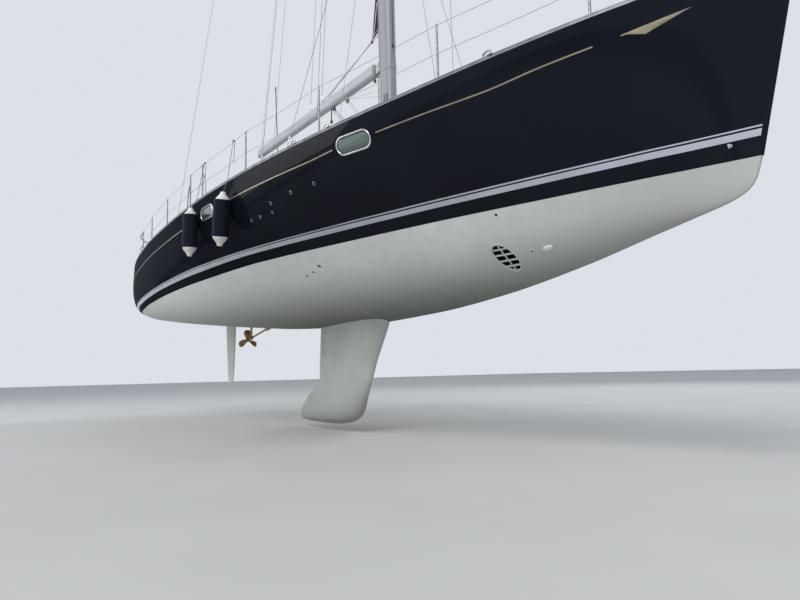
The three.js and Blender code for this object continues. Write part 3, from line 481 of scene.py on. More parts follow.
class Finish:
    def __init__(self, name, **constants):
        self.material = bpy.data.materials.new(name)
        self.material.use_nodes = True
        self.tree = self.material.node_tree
        self.shader = self.tree.nodes["Principled BSDF"]
        self.place = self.node("ShaderNodeTexCoord", output="Object")
        for socket, value in constants.items():
            self.set(socket.replace("_", " "), value)

    def node(self, kind, settings=None, values=None, output=0):
        made = self.tree.nodes.new(kind)
        for key, value in (settings or {}).items():
            setattr(made, key, value)
        for key, value in (values or {}).items():
            self.feed(made.inputs[key], value)
        return Signal(self, made.outputs[output])

    def feed(self, socket, value):
        if isinstance(value, Signal):
            self.tree.links.new(value.socket, socket)
        elif isinstance(value, (tuple, list)) and len(value) == 3 and socket.type == "RGBA":
            socket.default_value = (*value, 1)
        else:
            socket.default_value = value

    def set(self, name, value):
        self.feed(self.shader.inputs[name], value)
        return self

    def axes(self, source=None):
        apart = self.node("ShaderNodeSeparateXYZ", values={0: source or self.place})
        return [Signal(self, apart.socket.node.outputs[k]) for k in range(3)]

    def stretched(self, scale, turn=(0, 0, 0), source=None):
        return self.node("ShaderNodeMapping", values={"Vector": source or self.place, "Scale": scale, "Rotation": turn})

    def noise(self, scale, detail=4.0, rough=0.5, source=None):
        return self.node("ShaderNodeTexNoise", values={"Vector": source or self.place, "Scale": scale,
                                                       "Detail": detail, "Roughness": rough})

    def waves(self, source, direction="X"):
        # one sine band to each unit of the source
        settings = {"wave_type": "BANDS", "bands_direction": direction, "wave_profile": "SIN"}
        return self.node("ShaderNodeTexWave", settings, {"Vector": source, "Scale": 1.0, "Distortion": 0.0})

    def mix(self, first, second, amount):
        return self.node("ShaderNodeMix", {"data_type": "RGBA"}, {0: amount, 6: first, 7: second}, output=2)

    def bump(self, height, strength, distance=0.01):
        self.set("Normal", self.node("ShaderNodeBump", values={"Height": height, "Strength": strength,
                                                               "Distance": distance}))
        return self

    def vary(self, colour, other, scale, rough=None):
        # cloudy change between two colours, with the roughness following it
        cloud = self.noise(scale).clamped(0.35, 0.65)
        self.set("Base Color", self.mix(colour, other, cloud))
        if rough:
            self.set("Roughness", cloud * (rough[1] - rough[0]) + rough[0])


def painted(name, colour, other, rough, scale, grain=400.0, bump=0.03, **constants):
    # paint or moulded plastic: clouded colour and gloss over a fine grain
    finish = Finish(name, **constants)
    finish.vary(colour, other, scale, rough)
    finish.bump(finish.noise(grain, 2.0), bump, 0.002)
    return finish.material


def metal(name, colour, other, rough=(0.2, 0.35), brush=(6, 6, 220), scale=30.0, metallic=1.0):
    # brushed metal: noise stretched along the brushing, with clouded wear
    finish = Finish(name, Metallic=metallic)
    finish.vary(colour, other, scale, rough)
    finish.bump(finish.noise(1.0, 2.0, source=finish.stretched(brush)), 0.06, 0.001)
    return finish.material


# Hull: one closed skin whose rows follow the boot top and the two stripes
hull = {
    "bowX": 7.04, "length": 14.7, "noseWidth": 0.012,
    # place along, sheer height, sheer breadth, boot top breadth, keel height, fullness, lean
    "stations": np.array([
        [0.00, 1.480, 0.012, 0.012, -0.180, 1.0, 0.257],
        [0.03, 1.430, 0.320, 0.130, -0.245, 1.0, 0.236],
        [0.06, 1.385, 0.590, 0.290, -0.310, 1.1, 0.215],
        [0.12, 1.280, 1.050, 0.560, -0.460, 1.3, 0.170],
        [0.20, 1.195, 1.480, 0.900, -0.605, 1.7, 0.111],
        [0.30, 1.150, 1.860, 1.240, -0.690, 2.2, 0.037],
        [0.40, 1.143, 2.085, 1.550, -0.710, 2.7, 0.0],
        [0.50, 1.140, 2.205, 1.790, -0.668, 3.0, 0.0],
        [0.60, 1.142, 2.240, 1.945, -0.590, 3.2, 0.0],
        [0.70, 1.150, 2.220, 1.990, -0.470, 3.3, 0.0],
        [0.80, 1.163, 2.140, 1.950, -0.310, 3.3, 0.074],
        [0.90, 1.180, 2.020, 1.820, -0.130, 3.3, 0.222],
        [1.00, 1.200, 1.840, 1.600, 0.060, 3.3, 0.370],
    ]),
    "forefootRise": 0.27, "forefootReach": 0.0016, "bootHeight": 0.09, "transomFoot": 0.06,
    "stripeRow": 7,
    # length along the boat against the heights of the stripes' edges
    "stripeX": [6.9, 6.67, 6.32, 5.77, 5.11, 4.33, 3.5, 2.28, 1.36, 0.59, -1.2, -7.7],
    "bootTop": [0.088, 0.088, 0.093, 0.087, 0.087, 0.088, 0.092, 0.101, 0.108, 0.113, 0.098, 0.098],
    "wideLow": [0.234, 0.232, 0.229, 0.216, 0.209, 0.202, 0.200, 0.203, 0.209, 0.215, 0.206, 0.206],
    "wideHigh": [0.284, 0.283, 0.279, 0.264, 0.254, 0.244, 0.240, 0.246, 0.250, 0.258, 0.262, 0.262],
    "thinLow": [0.300, 0.298, 0.293, 0.275, 0.266, 0.256, 0.252, 0.256, 0.260, 0.264, 0.270, 0.270],
    "thinHigh": [0.312, 0.310, 0.304, 0.288, 0.279, 0.269, 0.264, 0.266, 0.271, 0.277, 0.284, 0.284],
}
hullColumns = [monotone(hull["stations"][:, 0], hull["stations"][:, k]) for k in range(7)]


def sheerHeight(f):
    # f is the share of the length from the bow
    return hullColumns[1](f)


def sheerBreadth(f):
    return hullColumns[2](f)


def keelHeight(f):
    # the stations' curve, with a forefoot that rises as exp(-sqrt(f / reach)) right at the bow
    return hullColumns[4](f) + hull["forefootRise"] * np.exp(-np.sqrt(f / hull["forefootReach"]))


def halfBreadth(f, t):
    # breadth * (1 - (1 - t)^fullness)^(1/q), with q such that the boot top's breadth is met
    depth = sheerHeight(f) - keelHeight(f)
    bootT = np.clip((hull["bootHeight"] - keelHeight(f)) / depth, 1e-4, 1)
    share = np.minimum(hullColumns[3](f) / sheerBreadth(f), 0.9999)
    full = hullColumns[5](f)
    q = np.clip(np.log(1 - (1 - bootT) ** full) / np.log(share), 0.3, 8)
    inner = np.maximum(1 - (1 - t) ** full, 0)
    return np.where(f <= 0, hull["noseWidth"], sheerBreadth(f) * inner ** (1 / q))


def hullPoint(f, t):
    # port side point at a share of the length and a share of the height from keel to sheer
    f, t = np.broadcast_arrays(np.asarray(f, float), np.asarray(t, float))
    z = keelHeight(f) + (sheerHeight(f) - keelHeight(f)) * t
    pivot = np.where(f < 0.5, sheerHeight(f), hull["transomFoot"])
    x = hull["bowX"] - hull["length"] * f + hullColumns[6](f) * (z - pivot)
    return np.stack([x, halfBreadth(f, t), z], -1)


def hullAt(x, z, out=0.0):
    # point of the port side at a given length and height, moved out along the skin's normal
    x, z = np.broadcast_arrays(np.asarray(x, float), np.asarray(z, float))

    def solve(x, z):
        f = (hull["bowX"] - x) / hull["length"]
        for _ in range(25):
            pivot = np.where(f < 0.5, sheerHeight(f), hull["transomFoot"])
            f = np.clip((hull["bowX"] + hullColumns[6](f) * (z - pivot) - x) / hull["length"], 0, 1)
        t = np.clip((z - keelHeight(f)) / (sheerHeight(f) - keelHeight(f)), 0, 1)
        return hullPoint(f, t)
    place = solve(x, z)
    if np.any(out):
        step = 0.004
        along = solve(x - step, z) - solve(x + step, z)
        rise = solve(x, z + step) - solve(x, z - step)
        place = place + unit(np.cross(along, rise)) * np.asarray(out, float)[..., None]
    return place


def onSide(points, side):
    # side is 1 for port and -1 for starboard
    return points * np.array([1, side, 1])


def stripeHeight(name, x):
    # straight lines between the measured heights
    return np.interp(-x, -np.array(hull["stripeX"]), hull[name])


def hullRows():
    # t of each column: keel to boot top, the stripes' edges, then up to the sheer
    f = (np.arange(171) / 170) ** 1.7
    z0, z1 = keelHeight(f), sheerHeight(f)
    x = hull["bowX"] - hull["length"] * f
    edges = []
    for name in ("bootTop", "wideLow", "wideHigh", "thinLow", "thinHigh"):
        height = stripeHeight(name, x)
        for _ in range(3):
            pivot = np.where(f < 0.5, z1, hull["transomFoot"])
            height = stripeHeight(name, x + hullColumns[6](f) * (height - pivot))
        edges.append((height - z0) / (z1 - z0))
    levels = [np.zeros_like(f), *edges, np.ones_like(f)]
    counts = [26, 3, 2, 1, 1, 26]
    columns, band = [], []
    for k, count in enumerate(counts):
        share = np.arange(count) / count
        if k == 0:
            share = share ** 1.3
        for s in share:
            columns.append(levels[k] + (levels[k + 1] - levels[k]) * s)
            band.append(k)
    columns.append(levels[-1])
    return f, np.array(columns).T, np.array(band)


def hullSkin():
    # port rows, mirrored to starboard; a quarter turn of three rows rounds the stem, and transom and lid close it
    f, t, band = hullRows()
    side = hullPoint(f[:, None], t)
    side[:, 0, 1] = 0
    nose = []
    for turn in (math.pi / 2, math.pi / 3, math.pi / 6):
        row = side[0].copy()
        row[:, 0] += hull["noseWidth"] * math.sin(turn)
        row[:, 1] *= math.cos(turn)
        nose.append(row)
    side = np.concatenate([np.array(nose), side])
    full = np.concatenate([side[:, ::-1], onSide(side[:, 1:], -1)], 1)
    skin = flipped(grid(full))
    bands = np.concatenate([band[::-1], band])
    x = full[:-1, :, 0]
    white = np.isin(bands, (2, 4))[None, :] & (np.arange(len(x)) >= hull["stripeRow"])[:, None]
    under = np.broadcast_to((bands == 0)[None, :], white.shape)
    kind = np.where(under, 1, np.where(white, 2, 0)).ravel()
    # transom: level rows across; its lowest part is antifouled too
    last, edge = side[-1], side[:, -1]
    across = np.stack([np.ones(3), np.array([1.0, 0.0, -1.0]), np.ones(3)], -1)[None]
    transom, lid = grid(last[:, None] * across), grid(edge[:, None] * across)
    transomKind = np.where(np.repeat(band, 2) == 0, 1, 0)
    return merged(skin, transom, lid), np.concatenate([kind, transomKind, np.zeros(len(lid[1]), int)])


def hullFinishes():
    # gloss enamel with faint long waves, patched antifouling with painted shade towards the bow, the stern and the
    # bottom, and clean stripes
    enamel = Finish("topsides", Specular_IOR_Level=0.0, IOR=1.45, Coat_Roughness=0.06, Coat_IOR=1.5)
    cloud = enamel.noise(1.3, 3.0).clamped(0.3, 0.7)
    enamel.set("Base Color", enamel.mix((0.0046, 0.0062, 0.0108), (0.0062, 0.0082, 0.0140), cloud))
    enamel.set("Roughness", cloud * 0.05 + 0.09)
    enamel.set("Coat Weight", enamel.axes()[0].clamped(0.0, 4.5) * 0.16 + 0.06)
    ripple = enamel.noise(0.9, 1.0, source=enamel.stretched((0.5, 1, 1.6)))
    peel = enamel.noise(160.0, 2.0)
    enamel.bump(ripple + peel * 0.004, 0.10, 0.05)

    under = Finish("antifouling", Specular_IOR_Level=0.25)
    x, y, z = under.axes()
    patch = under.noise(1.1, 5.0, 0.6).clamped(0.38, 0.64)
    streak = under.noise(1.0, 4.0, source=under.stretched((9, 9, 1.2))).clamped(0.45, 0.75)
    base = under.mix((0.735, 0.755, 0.72), (0.775, 0.795, 0.76), patch)
    # painted shade: the antifouling is darkened towards the bow and, by about half as much, towards the stern
    base = under.mix(base, (0.43, 0.44, 0.42), x.clamped(3.4, 6.7) + x.clamped(-2.0, -6.0) * 0.55)
    # painted shade: darker towards the bottom of the underwater body, which faces away from the light
    base = under.mix((0.120, 0.132, 0.113), base, z.clamped(-0.74, 0.0))
    base = under.mix(base, (0.36, 0.375, 0.33), streak * 0.14)
    scum = z.clamped(-0.10, 0.08) * under.noise(5.0, 4.0).clamped(0.4, 0.7) * 0.2
    base = under.mix(base, (0.46, 0.49, 0.50), scum)
    under.set("Base Color", base)
    under.set("Roughness", patch * 0.12 + 0.68)
    under.bump(under.noise(60.0, 5.0, 0.65), 0.12, 0.004)

    stripe = painted("boot stripe", (0.40, 0.42, 0.48), (0.45, 0.47, 0.53), (0.18, 0.26), 3.0, 300.0, 0.02)
    return enamel.material, under.material, stripe


enamelPaint, antifoulPaint, stripePaint = hullFinishes()


# Hollows of the deck moulding: length, breadth and floor, as low and high corners
wells = {
    "seats": ((-6.900, -1.220, 1.010), (-2.620, 1.220, 2.2)),
    "footwell": ((-5.050, -0.580, 0.620), (-2.620, 0.580, 2.2)),
    "helm": ((-6.450, -1.220, 0.620), (-5.040, 1.220, 2.2)),
    "walkthrough": ((-8.3, -0.330, 0.620), (-6.440, 0.330, 2.2)),
    "swimStep": ((-8.29, -1.050, 0.400), (-7.215, 1.050, 2.2)),
    "anchor": ((5.800, -0.150, 0.980), (6.350, 0.150, 2.2)),
    "companionway": ((-2.628, -0.330, 0.700), (-1.900, 0.330, 2.2)),
    "portLocker": ((-4.650, 0.700, 0.760), (-3.350, 1.130, 2.2)),
    "starboardLocker": ((-4.650, -1.130, 0.760), (-3.350, -0.700, 2.2)),
}
liner = 0.0253
thruster = {"x": 4.320, "z": -0.310, "radius": 0.125}


def wellBlock(name, grow, top=None):
    # box of a hollow, grown to all sides, up to a height of its own
    low, high = (np.array(corner) for corner in wells[name])
    return block(low - grow, [*(high[:2] + grow), top or high[2]])


def makeHull():
    # skin less every hollow, the thruster's tunnel and the rudder stock's bore
    skin, kind = hullSkin()
    piece = addPiece("hull_skin", skin, [enamelPaint, antifoulPaint, stripePaint], "", faceFinish=kind)
    tunnel = lathe([(-0.9, thruster["radius"]), (0.9, thruster["radius"])], (thruster["x"], 0, thruster["z"]),
                   (0, 1, 0), 64)
    bore = lathe([(-0.4, 0.040), (0.2503, 0.040)], (-5.56, 0, 0), sides=32)
    carved(piece, *[("DIFFERENCE", wellBlock(name, liner)) for name in wells], ("DIFFERENCE", tunnel),
           ("DIFFERENCE", bore), sharp=40)
    return settle(piece, "boat", ["hull"])


makeHull()
print("hull skin done")


# Shared finishes
steel = metal("polished steel", (0.62, 0.63, 0.64), (0.50, 0.51, 0.53), (0.12, 0.26))
railAlloy = metal("rail alloy", (0.23, 0.24, 0.25), (0.18, 0.187, 0.195), (0.50, 0.62), (14, 14, 2), 8.0, 0.55)
dullSteel = metal("dull steel", (0.20, 0.205, 0.21), (0.14, 0.145, 0.15), (0.42, 0.55), metallic=0.6)
railSteel = metal("rail steel", (0.30, 0.31, 0.33), (0.24, 0.25, 0.265), (0.40, 0.52))
alloy = metal("brushed alloy", (0.66, 0.67, 0.69), (0.56, 0.57, 0.59), (0.34, 0.46), (14, 14, 2))
bronze = metal("bronze", (0.42, 0.24, 0.09), (0.30, 0.20, 0.10), (0.30, 0.55), (40, 40, 40), 18.0)
blackPlastic = painted("black plastic", (0.012, 0.012, 0.013), (0.022, 0.022, 0.023), (0.42, 0.55), 40.0, 900.0, 0.08)
rubber = painted("black rubber", (0.018, 0.018, 0.018), (0.03, 0.03, 0.029), (0.6, 0.75), 60.0, 700.0, 0.12)


def wireFinish(name, colour, other):
    # laid strands: a slanting wave on the tube's own uv, which also paints the grooves between strands darker and the
    # crests lighter, as shade and highlight
    finish = Finish(name, Metallic=1.0)
    lay = finish.node("ShaderNodeUVMap", {"uv_map": "flow"})
    strands = finish.waves(finish.stretched((3, 60, 1), (0, 0, 0.6), lay))
    # painted shade in the grooves and painted highlight on the crests of the strands
    finish.set("Base Color", finish.mix(colour, other, strands))
    finish.set("Roughness", strands * -0.12 + 0.48)
    return finish.bump(strands, 0.3, 0.0006).material


def ropeFinish(name, colour, other, fleck):
    # braid: two slanting waves that cross, painted lighter where they cross and darker in the hollows as highlight and
    # shade, with flecks of a third colour
    finish = Finish(name, Roughness=0.8, Sheen_Weight=0.2)
    flow = finish.node("ShaderNodeUVMap", {"uv_map": "flow"})
    left = finish.waves(finish.stretched((4, 90, 1), (0, 0, 0.5), flow))
    right = finish.waves(finish.stretched((4, 90, 1), (0, 0, -0.5), flow))
    braid = left * right
    spots = finish.noise(70.0, 2.0).clamped(0.56, 0.62)
    # painted highlight where the braid's waves cross and painted shade in its hollows; the flecks are the rope's own
    # colour
    finish.set("Base Color", finish.mix(finish.mix(colour, other, braid), fleck, spots))
    return finish.bump(braid, 0.5, 0.0015).material


wire = wireFinish("stranded wire", (0.20, 0.21, 0.22), (0.34, 0.35, 0.365))
guardWire = wireFinish("guard wire", (0.42, 0.43, 0.45), (0.60, 0.61, 0.63))
lineWhite = ropeFinish("white rope", (0.55, 0.55, 0.53), (0.68, 0.68, 0.66), (0.30, 0.34, 0.45))
lineRed = ropeFinish("red rope", (0.42, 0.12, 0.10), (0.60, 0.28, 0.24), (0.65, 0.6, 0.56))
lineGrey = ropeFinish("grey rope", (0.20, 0.21, 0.23), (0.32, 0.33, 0.35), (0.5, 0.5, 0.5))
lineBlue = ropeFinish("blue rope", (0.03, 0.06, 0.16), (0.07, 0.11, 0.24), (0.6, 0.62, 0.66))


def foil(lead, tail, z, thickness, count):
    # leaf-shaped ring round a chord: half thickness follows sin(angle), finer towards the tail
    angle = turns(count)
    along = (1 - np.cos(angle)) / 2
    half = thickness / 2 * np.sin(angle) * (1.25 - 0.5 * along)
    return np.stack([lead - (lead - tail) * along, half, np.broadcast_to(z, along.shape)], -1)


# Keel: smooth foil sections down to a flattened bulb that trails aft
keel = {
    # height, leading edge, trailing edge, thickness
    "rows": np.array([
        [-0.560, 1.470, -0.745, 0.262], [-0.600, 1.452, -0.760, 0.260], [-0.760, 1.370, -0.785, 0.262],
        [-1.000, 1.205, -0.806, 0.250], [-1.240, 1.040, -0.830, 0.235], [-1.530, 0.880, -0.850, 0.225],
        [-1.640, 0.810, -1.010, 0.260], [-1.760, 0.730, -1.270, 0.330], [-1.880, 0.650, -1.420, 0.400],
        [-2.000, 0.560, -1.540, 0.430], [-2.090, 0.430, -1.575, 0.390], [-2.150, 0.230, -1.560, 0.290],
        [-2.185, -0.060, -1.300, 0.140]]),
    "joint": -0.742, "steps": 90,
}


def makeKeel():
    # foil rings at even heights, closer over the bulb; each measure is a smooth curve through the rows
    rows = keel["rows"][::-1]
    z = np.concatenate([np.linspace(rows[0, 0], -2.0, 24), np.linspace(-2.0, rows[-1, 0], keel["steps"])[1:]])
    lead, tail, thick = (monotone(rows[:, 0], rows[:, k])(z) for k in (1, 2, 3))
    shape = flipped(loft([foil(*row, 64) for row in zip(lead, tail, z, thick)]))
    paint = Finish("keel paint", Specular_IOR_Level=0.3)
    x, y, height = paint.axes()
    patch = paint.noise(2.2, 5.0, 0.6).clamped(0.38, 0.66)
    base = paint.mix((0.41, 0.425, 0.39), (0.48, 0.495, 0.46), patch)
    # painted shade: the keel is painted darker towards its foot
    base = paint.mix(base, (0.32, 0.33, 0.31), height.clamped(-1.35, -2.0))
    runs = paint.noise(1.0, 4.0, source=paint.stretched((26, 26, 1.6))).clamped(0.52, 0.78)
    base = paint.mix(base, (0.36, 0.37, 0.33), runs * 0.4)
    rust = paint.noise(14.0, 3.0).clamped(0.68, 0.78) * height.clamped(-0.68, -1.0) * 0.5
    base = paint.mix(base, (0.42, 0.31, 0.20), rust)
    seam = (height - keel["joint"] + paint.noise(3.0, 2.0) * 0.012 - 0.006).math("ABSOLUTE").clamped(0.003, 0.0, 0, 1)
    paint.set("Base Color", paint.mix(base, (0.30, 0.30, 0.27), seam * 0.75))
    paint.set("Roughness", patch * 0.12 + 0.55)
    paint.bump(paint.noise(35.0, 5.0, 0.6) - seam * 0.6, 0.16, 0.004)
    return addPiece("keel_fin", shape, paint.material, "boat", ["keel"], outward=False)


makeKeel()


# Rudder: spade blade with a rounded foot, on its stock
rudderBlade = {
    "axisX": -5.56, "slope": -0.122, "stock": 0.037, "liftFrom": -0.7, "liftOver": 0.468,
    # height, leading edge and trailing edge from the axis, thickness
    "rows": np.array([
        [-0.232, 0.265, -0.375, 0.104], [-0.700, 0.235, -0.330, 0.084], [-1.200, 0.190, -0.265, 0.062],
        [-1.420, 0.150, -0.232, 0.050], [-1.500, 0.112, -0.205, 0.042], [-1.545, 0.060, -0.170, 0.030],
        [-1.560, 0.020, -0.130, 0.016]]),
}


def makeRudder():
    # foil rings round the axis; towards the top they tilt with the hull's bottom
    rows = rudderBlade["rows"][::-1]
    z = np.concatenate([np.linspace(rows[0, 0], -1.4, 16), np.linspace(-1.4, rows[-1, 0], 40)[1:]])
    lead, tail, thick = (monotone(rows[:, 0], rows[:, k])(z) for k in (1, 2, 3))
    axis = rudderBlade["axisX"]
    rings = []
    for fore, aft, at, wide in zip(lead, tail, z, thick):
        ring = foil(axis + fore, axis + aft, at, wide, 48)
        lift = max(0.0, (at - rudderBlade["liftFrom"]) / rudderBlade["liftOver"])
        ring[:, 2] += lift * (ring[:, 0] - axis) * rudderBlade["slope"]
        rings.append(ring)
    blade = flipped(loft(rings))
    stock = lathe([(0, rudderBlade["stock"]), (0.44, rudderBlade["stock"])], (axis, 0, -0.25), sides=28)
    paint = painted("rudder paint", (0.52, 0.55, 0.50), (0.60, 0.62, 0.575), (0.52, 0.66), 3.0, 50.0, 0.12)
    addPiece("rudder_blade", merged(blade, stock), paint, "rudder", ["rudder"], outward=False)


makeRudder()


# Drive: shaft, three-bladed propeller and bracket
drive = {"hub": (-4.45, 0, -0.64), "slope": math.radians(8), "shaft": 0.0175, "tubeEnd": 1.13}


def onShaft(distance):
    # hub + distance along the sloping shaft, forward and up
    return np.array(drive["hub"]) + distance * np.array([math.cos(drive["slope"]), 0, math.sin(drive["slope"])])


def makePropeller():
    # each blade is a foil ring at every radius, turned by its pitch, bent by the square of its place along the chord
    along = unit(onShaft(1) - onShaft(0))
    hub = lathe([(-0.135, 0.006), (-0.128, 0.016), (-0.105, 0.026), (-0.07, 0.035), (-0.058, 0.039), (-0.055, 0.0405),
                 (0.0, 0.043), (0.05, 0.0455), (0.058, 0.0455), (0.061, 0.042), (0.066, 0.022)],
                onShaft(0), along, 40)
    shaft = lathe([(-0.05, drive["shaft"]), (drive["tubeEnd"] - 0.001, drive["shaft"])], onShaft(0), along, 24)
    chord = monotone([0.036, 0.07, 0.11, 0.15, 0.18, 0.205, 0.222], [0.100, 0.128, 0.150, 0.156, 0.148, 0.116, 0.052])
    pitch = monotone([0.036, 0.11, 0.18, 0.222], [54, 38, 28, 23])
    thick = monotone([0.036, 0.11, 0.18, 0.222], [0.018, 0.011, 0.007, 0.003])
    rake = monotone([0.036, 0.14, 0.222], [0.0, -0.006, -0.018])
    rings = []
    for r in np.linspace(0.036, 0.222, 22):
        lean, half = math.radians(float(pitch(r))), float(chord(r)) / 2
        u, v, _ = foil(half, -half, 0.0, float(thick(r)), 28).T
        rings.append(np.stack([u * math.sin(lean) - v * math.cos(lean) + u ** 2 + float(rake(r)),
                               u * math.cos(lean) + v * math.sin(lean), np.full(len(u), r)], -1))
    blade, turned = np.array(rings), []
    tip = np.array([[math.cos(drive["slope"]), 0, -math.sin(drive["slope"])], [0, 1, 0],
                    [math.sin(drive["slope"]), 0, math.cos(drive["slope"])]])
    for k in range(3):
        a = tau * k / 3
        spin = np.array([[1, 0, 0], [0, math.cos(a), -math.sin(a)], [0, math.sin(a), math.cos(a)]])
        turned.append(loft(blade @ spin.T @ tip.T + np.array(drive["hub"])))
    addPiece("propeller_wheel", merged(hub, shaft, *turned), bronze, "propeller", ["propeller"])


makePropeller()


def makeBracket():
    # barrel round the shaft on one foil-shaped arm, with a flange under the hull
    along = unit(onShaft(1) - onShaft(0))
    barrel = lathe([(0.15, 0.0205), (0.15, 0.031), (0.156, 0.034), (0.284, 0.034), (0.29, 0.031), (0.29, 0.0205),
                    (0.15, 0.0205)], onShaft(0), along, 40)
    x, _, z = onShaft(0.22)
    rows = ((0.262, 0.076, 0.073, 0.048), (0.240, 0.075, 0.072, 0.046), (0.222, 0.061, 0.061, 0.032),
            (0.16, 0.056, 0.056, 0.030), (0.06, 0.054, 0.052, 0.028), (0.026, 0.060, 0.056, 0.026))
    arm = flipped(loft([foil(x + lead, x - aft, z + rise, width, 32) for rise, lead, aft, width in rows]))
    addPiece("shaft_strut", merged(openEnds(barrel), arm), bronze, "boat", ["shaft_bracket"])


makeBracket()
print("keel, rudder and drive done")


# Oblong lights in the topsides: a rounded steel ring with a pane sunk inside it
portlight = {
    "lights": {"fore": (3.455, 0.938), "mid": (0.10, 0.892)},
    "length": 0.480, "height": 0.200, "ring": 0.021, "proud": 0.0125, "rings": 9, "round": 96,
}


def oblong(centre, inset, count):
    # even steps round a bar with half-round ends, as lengths and heights: straight run, half circle, and back
    r = portlight["height"] / 2 - inset
    run = portlight["length"] / 2 - portlight["height"] / 2
    around = 4 * run + tau * r
    at = np.arange(count) / count * around
    half = around / 2
    side = at >= half
    s = np.where(side, at - half, at)
    straight = s < 2 * run
    a = (s - 2 * run) / r
    x = np.where(straight, -run + s, run + r * np.sin(a))
    z = np.where(straight, r, r * np.cos(a))
    x, z = np.where(side, -x, x), np.where(side, -z, z)
    return centre[0] + x, centre[1] + z


def ringShape(centre, inner, outer, profile, side):
    # profile rows are (share from outer to inner edge, height over the skin)
    rows = []
    for share, out in profile:
        x, z = oblong(centre, outer + (inner - outer) * share, portlight["round"])
        rows.append(onSide(hullAt(x, z, out), side))
    return grid(rows, around=True)


def makePortlights():
    # steel rings with a crown of half a sine wave, a gasket and a pane inside each
    glass = Finish("greenish pane", Coat_Weight=1.0, Coat_Roughness=0.03)
    x, y, z = glass.axes()
    deep = glass.noise(3.0, 2.0).clamped(0.3, 0.7)
    murk = glass.mix((0.050, 0.090, 0.072), (0.10, 0.155, 0.125), deep)
    glass.set("Base Color", glass.mix(murk, (0.045, 0.065, 0.055), z.clamped(0.93, 0.875)))
    glass.set("Roughness", deep * 0.05 + 0.05)
    gasket = painted("pane gasket", (0.02, 0.022, 0.022), (0.035, 0.037, 0.036), (0.5, 0.6), 40.0)
    proud = portlight["proud"]
    crown = [(0.5 - 0.5 * math.cos(t), proud * math.sin(t) ** 0.7) for t in np.linspace(0, math.pi, portlight["rings"])]
    crown = [(0.0, -0.004)] + crown[:-1] + [(1.0, 0.003), (1.0, -0.004), (0.0, -0.004)]
    paneRows = [(0.0, -0.003), (0.0, 0.0022), (0.05, 0.0026), (0.35, 0.0026), (0.7, 0.0026), (0.99, 0.0026)]
    gasketRows = [(0.0, -0.003), (0.0, 0.0045), (0.9, 0.005), (1.0, 0.003), (1.0, -0.003), (0.0, -0.003)]
    width = portlight["ring"]
    for name, centre in portlight["lights"].items():
        for where, side in beams:
            ring = ringShape(centre, width, 0, crown, side)
            pane = ringShape(centre, portlight["height"] / 2 - 0.001, width + 0.0095, paneRows, side)
            seal = ringShape(centre, width + 0.0115, width - 0.002, gasketRows, side)
            if side > 0:
                ring = flipped(ring)
            else:
                pane, seal = flipped(pane), flipped(seal)
            addPiece(f"light_ring_{name}_{where}", ring, steel, "boat", [f"portlight_{name}_{where}"])
            both = merged(pane, seal)
            kind = np.where(np.arange(len(both[1])) < len(pane[1]), 0, 1)
            fillHoles(addPiece(f"light_pane_{name}_{where}", both, [glass.material, gasket], "boat",
                               [f"pane_{name}_{where}"], faceFinish=kind, outward=False))


def fillHoles(piece):
    # closes the open rims of a shell
    work = bmesh.new()
    work.from_mesh(piece.data)
    rims = [edge for edge in work.edges if edge.is_boundary]
    bmesh.ops.holes_fill(work, edges=rims)
    bmesh.ops.recalc_face_normals(work, faces=work.faces)
    work.to_mesh(piece.data)
    work.free()


makePortlights()

# Gold cove line under the sheer, broken at the fore light, and its tapered end near the bow
cove = {
    "thickness": 0.0006, "width": 0.0125,
    "runs": {"aft": [(-7.0, 0.900), (-5.0, 0.880), (-3.0, 0.872), (-0.65, 0.875), (0.96, 0.902), (1.96, 0.906),
                     (2.73, 0.912), (3.15, 0.937)],
             "fore": [(3.76, 0.958), (4.33, 0.980), (4.93, 1.010), (5.43, 1.078), (5.81, 1.130)]},
    "point": [(6.005, 1.154), (6.455, 1.236)], "pointWidth": 0.062,
}


def ribbonOnHull(xs, lows, highs, side, thickness):
    # thin strip between two heights, laid on the skin
    top, under = [], []
    for share in (0.0, 0.5, 1.0):
        z = lows + (highs - lows) * share
        top.append(onSide(hullAt(xs, z, thickness), side))
        under.append(onSide(hullAt(xs, z, -0.0004), side))
    return loft(np.array(top + under[::-1]).transpose(1, 0, 2))


def makeCoveLine():
    # ribbons along smooth curves, and a tip whose depth swells and then runs out in a straight line
    gold = Finish("gold leaf", Metallic=0.55)
    gold.vary((0.27, 0.235, 0.15), (0.34, 0.295, 0.19), 5.0, (0.30, 0.42))
    paleGold = painted("pale gold leaf", (0.33, 0.28, 0.19), (0.39, 0.33, 0.23), (0.3, 0.4), 8.0, Metallic=0.4)
    strips, tips = [], []
    for side in (1, -1):
        for run in cove["runs"].values():
            xs = np.linspace(run[0][0], run[-1][0], 90)
            z = monotone([p[0] for p in run], [p[1] for p in run])(xs)
            half = cove["width"] / 2
            strips.append(ribbonOnHull(xs, z - half, z + half, side, cove["thickness"]))
        (x0, z0), (x1, z1) = cove["point"]
        xs = np.linspace(x0, x1, 40)
        s = (xs - x0) / (x1 - x0)
        top = z0 + (z1 - z0) * s + 0.010
        depth = cove["pointWidth"] * np.where(s < 0.34, 0.16 + 0.84 * np.clip(s - 0.08, 0, 1) / 0.26, (1 - s) / 0.66)
        tips.append(ribbonOnHull(xs, top - depth * 0.45, top, side, cove["thickness"]))
        strips.append(ribbonOnHull(xs, top - depth, top - depth * 0.45, side, cove["thickness"]))
    addPiece("cove_line", merged(*strips), gold.material, "boat")
    addPiece("cove_line_tip", merged(*tips), paleGold, "boat")


makeCoveLine()

# Toe rail: slotted alloy extrusion along the sheer, rounded on top
toeRail = {"height": 0.036, "outward": 0.005, "inward": 0.030, "start": 0.0125, "steps": 160}


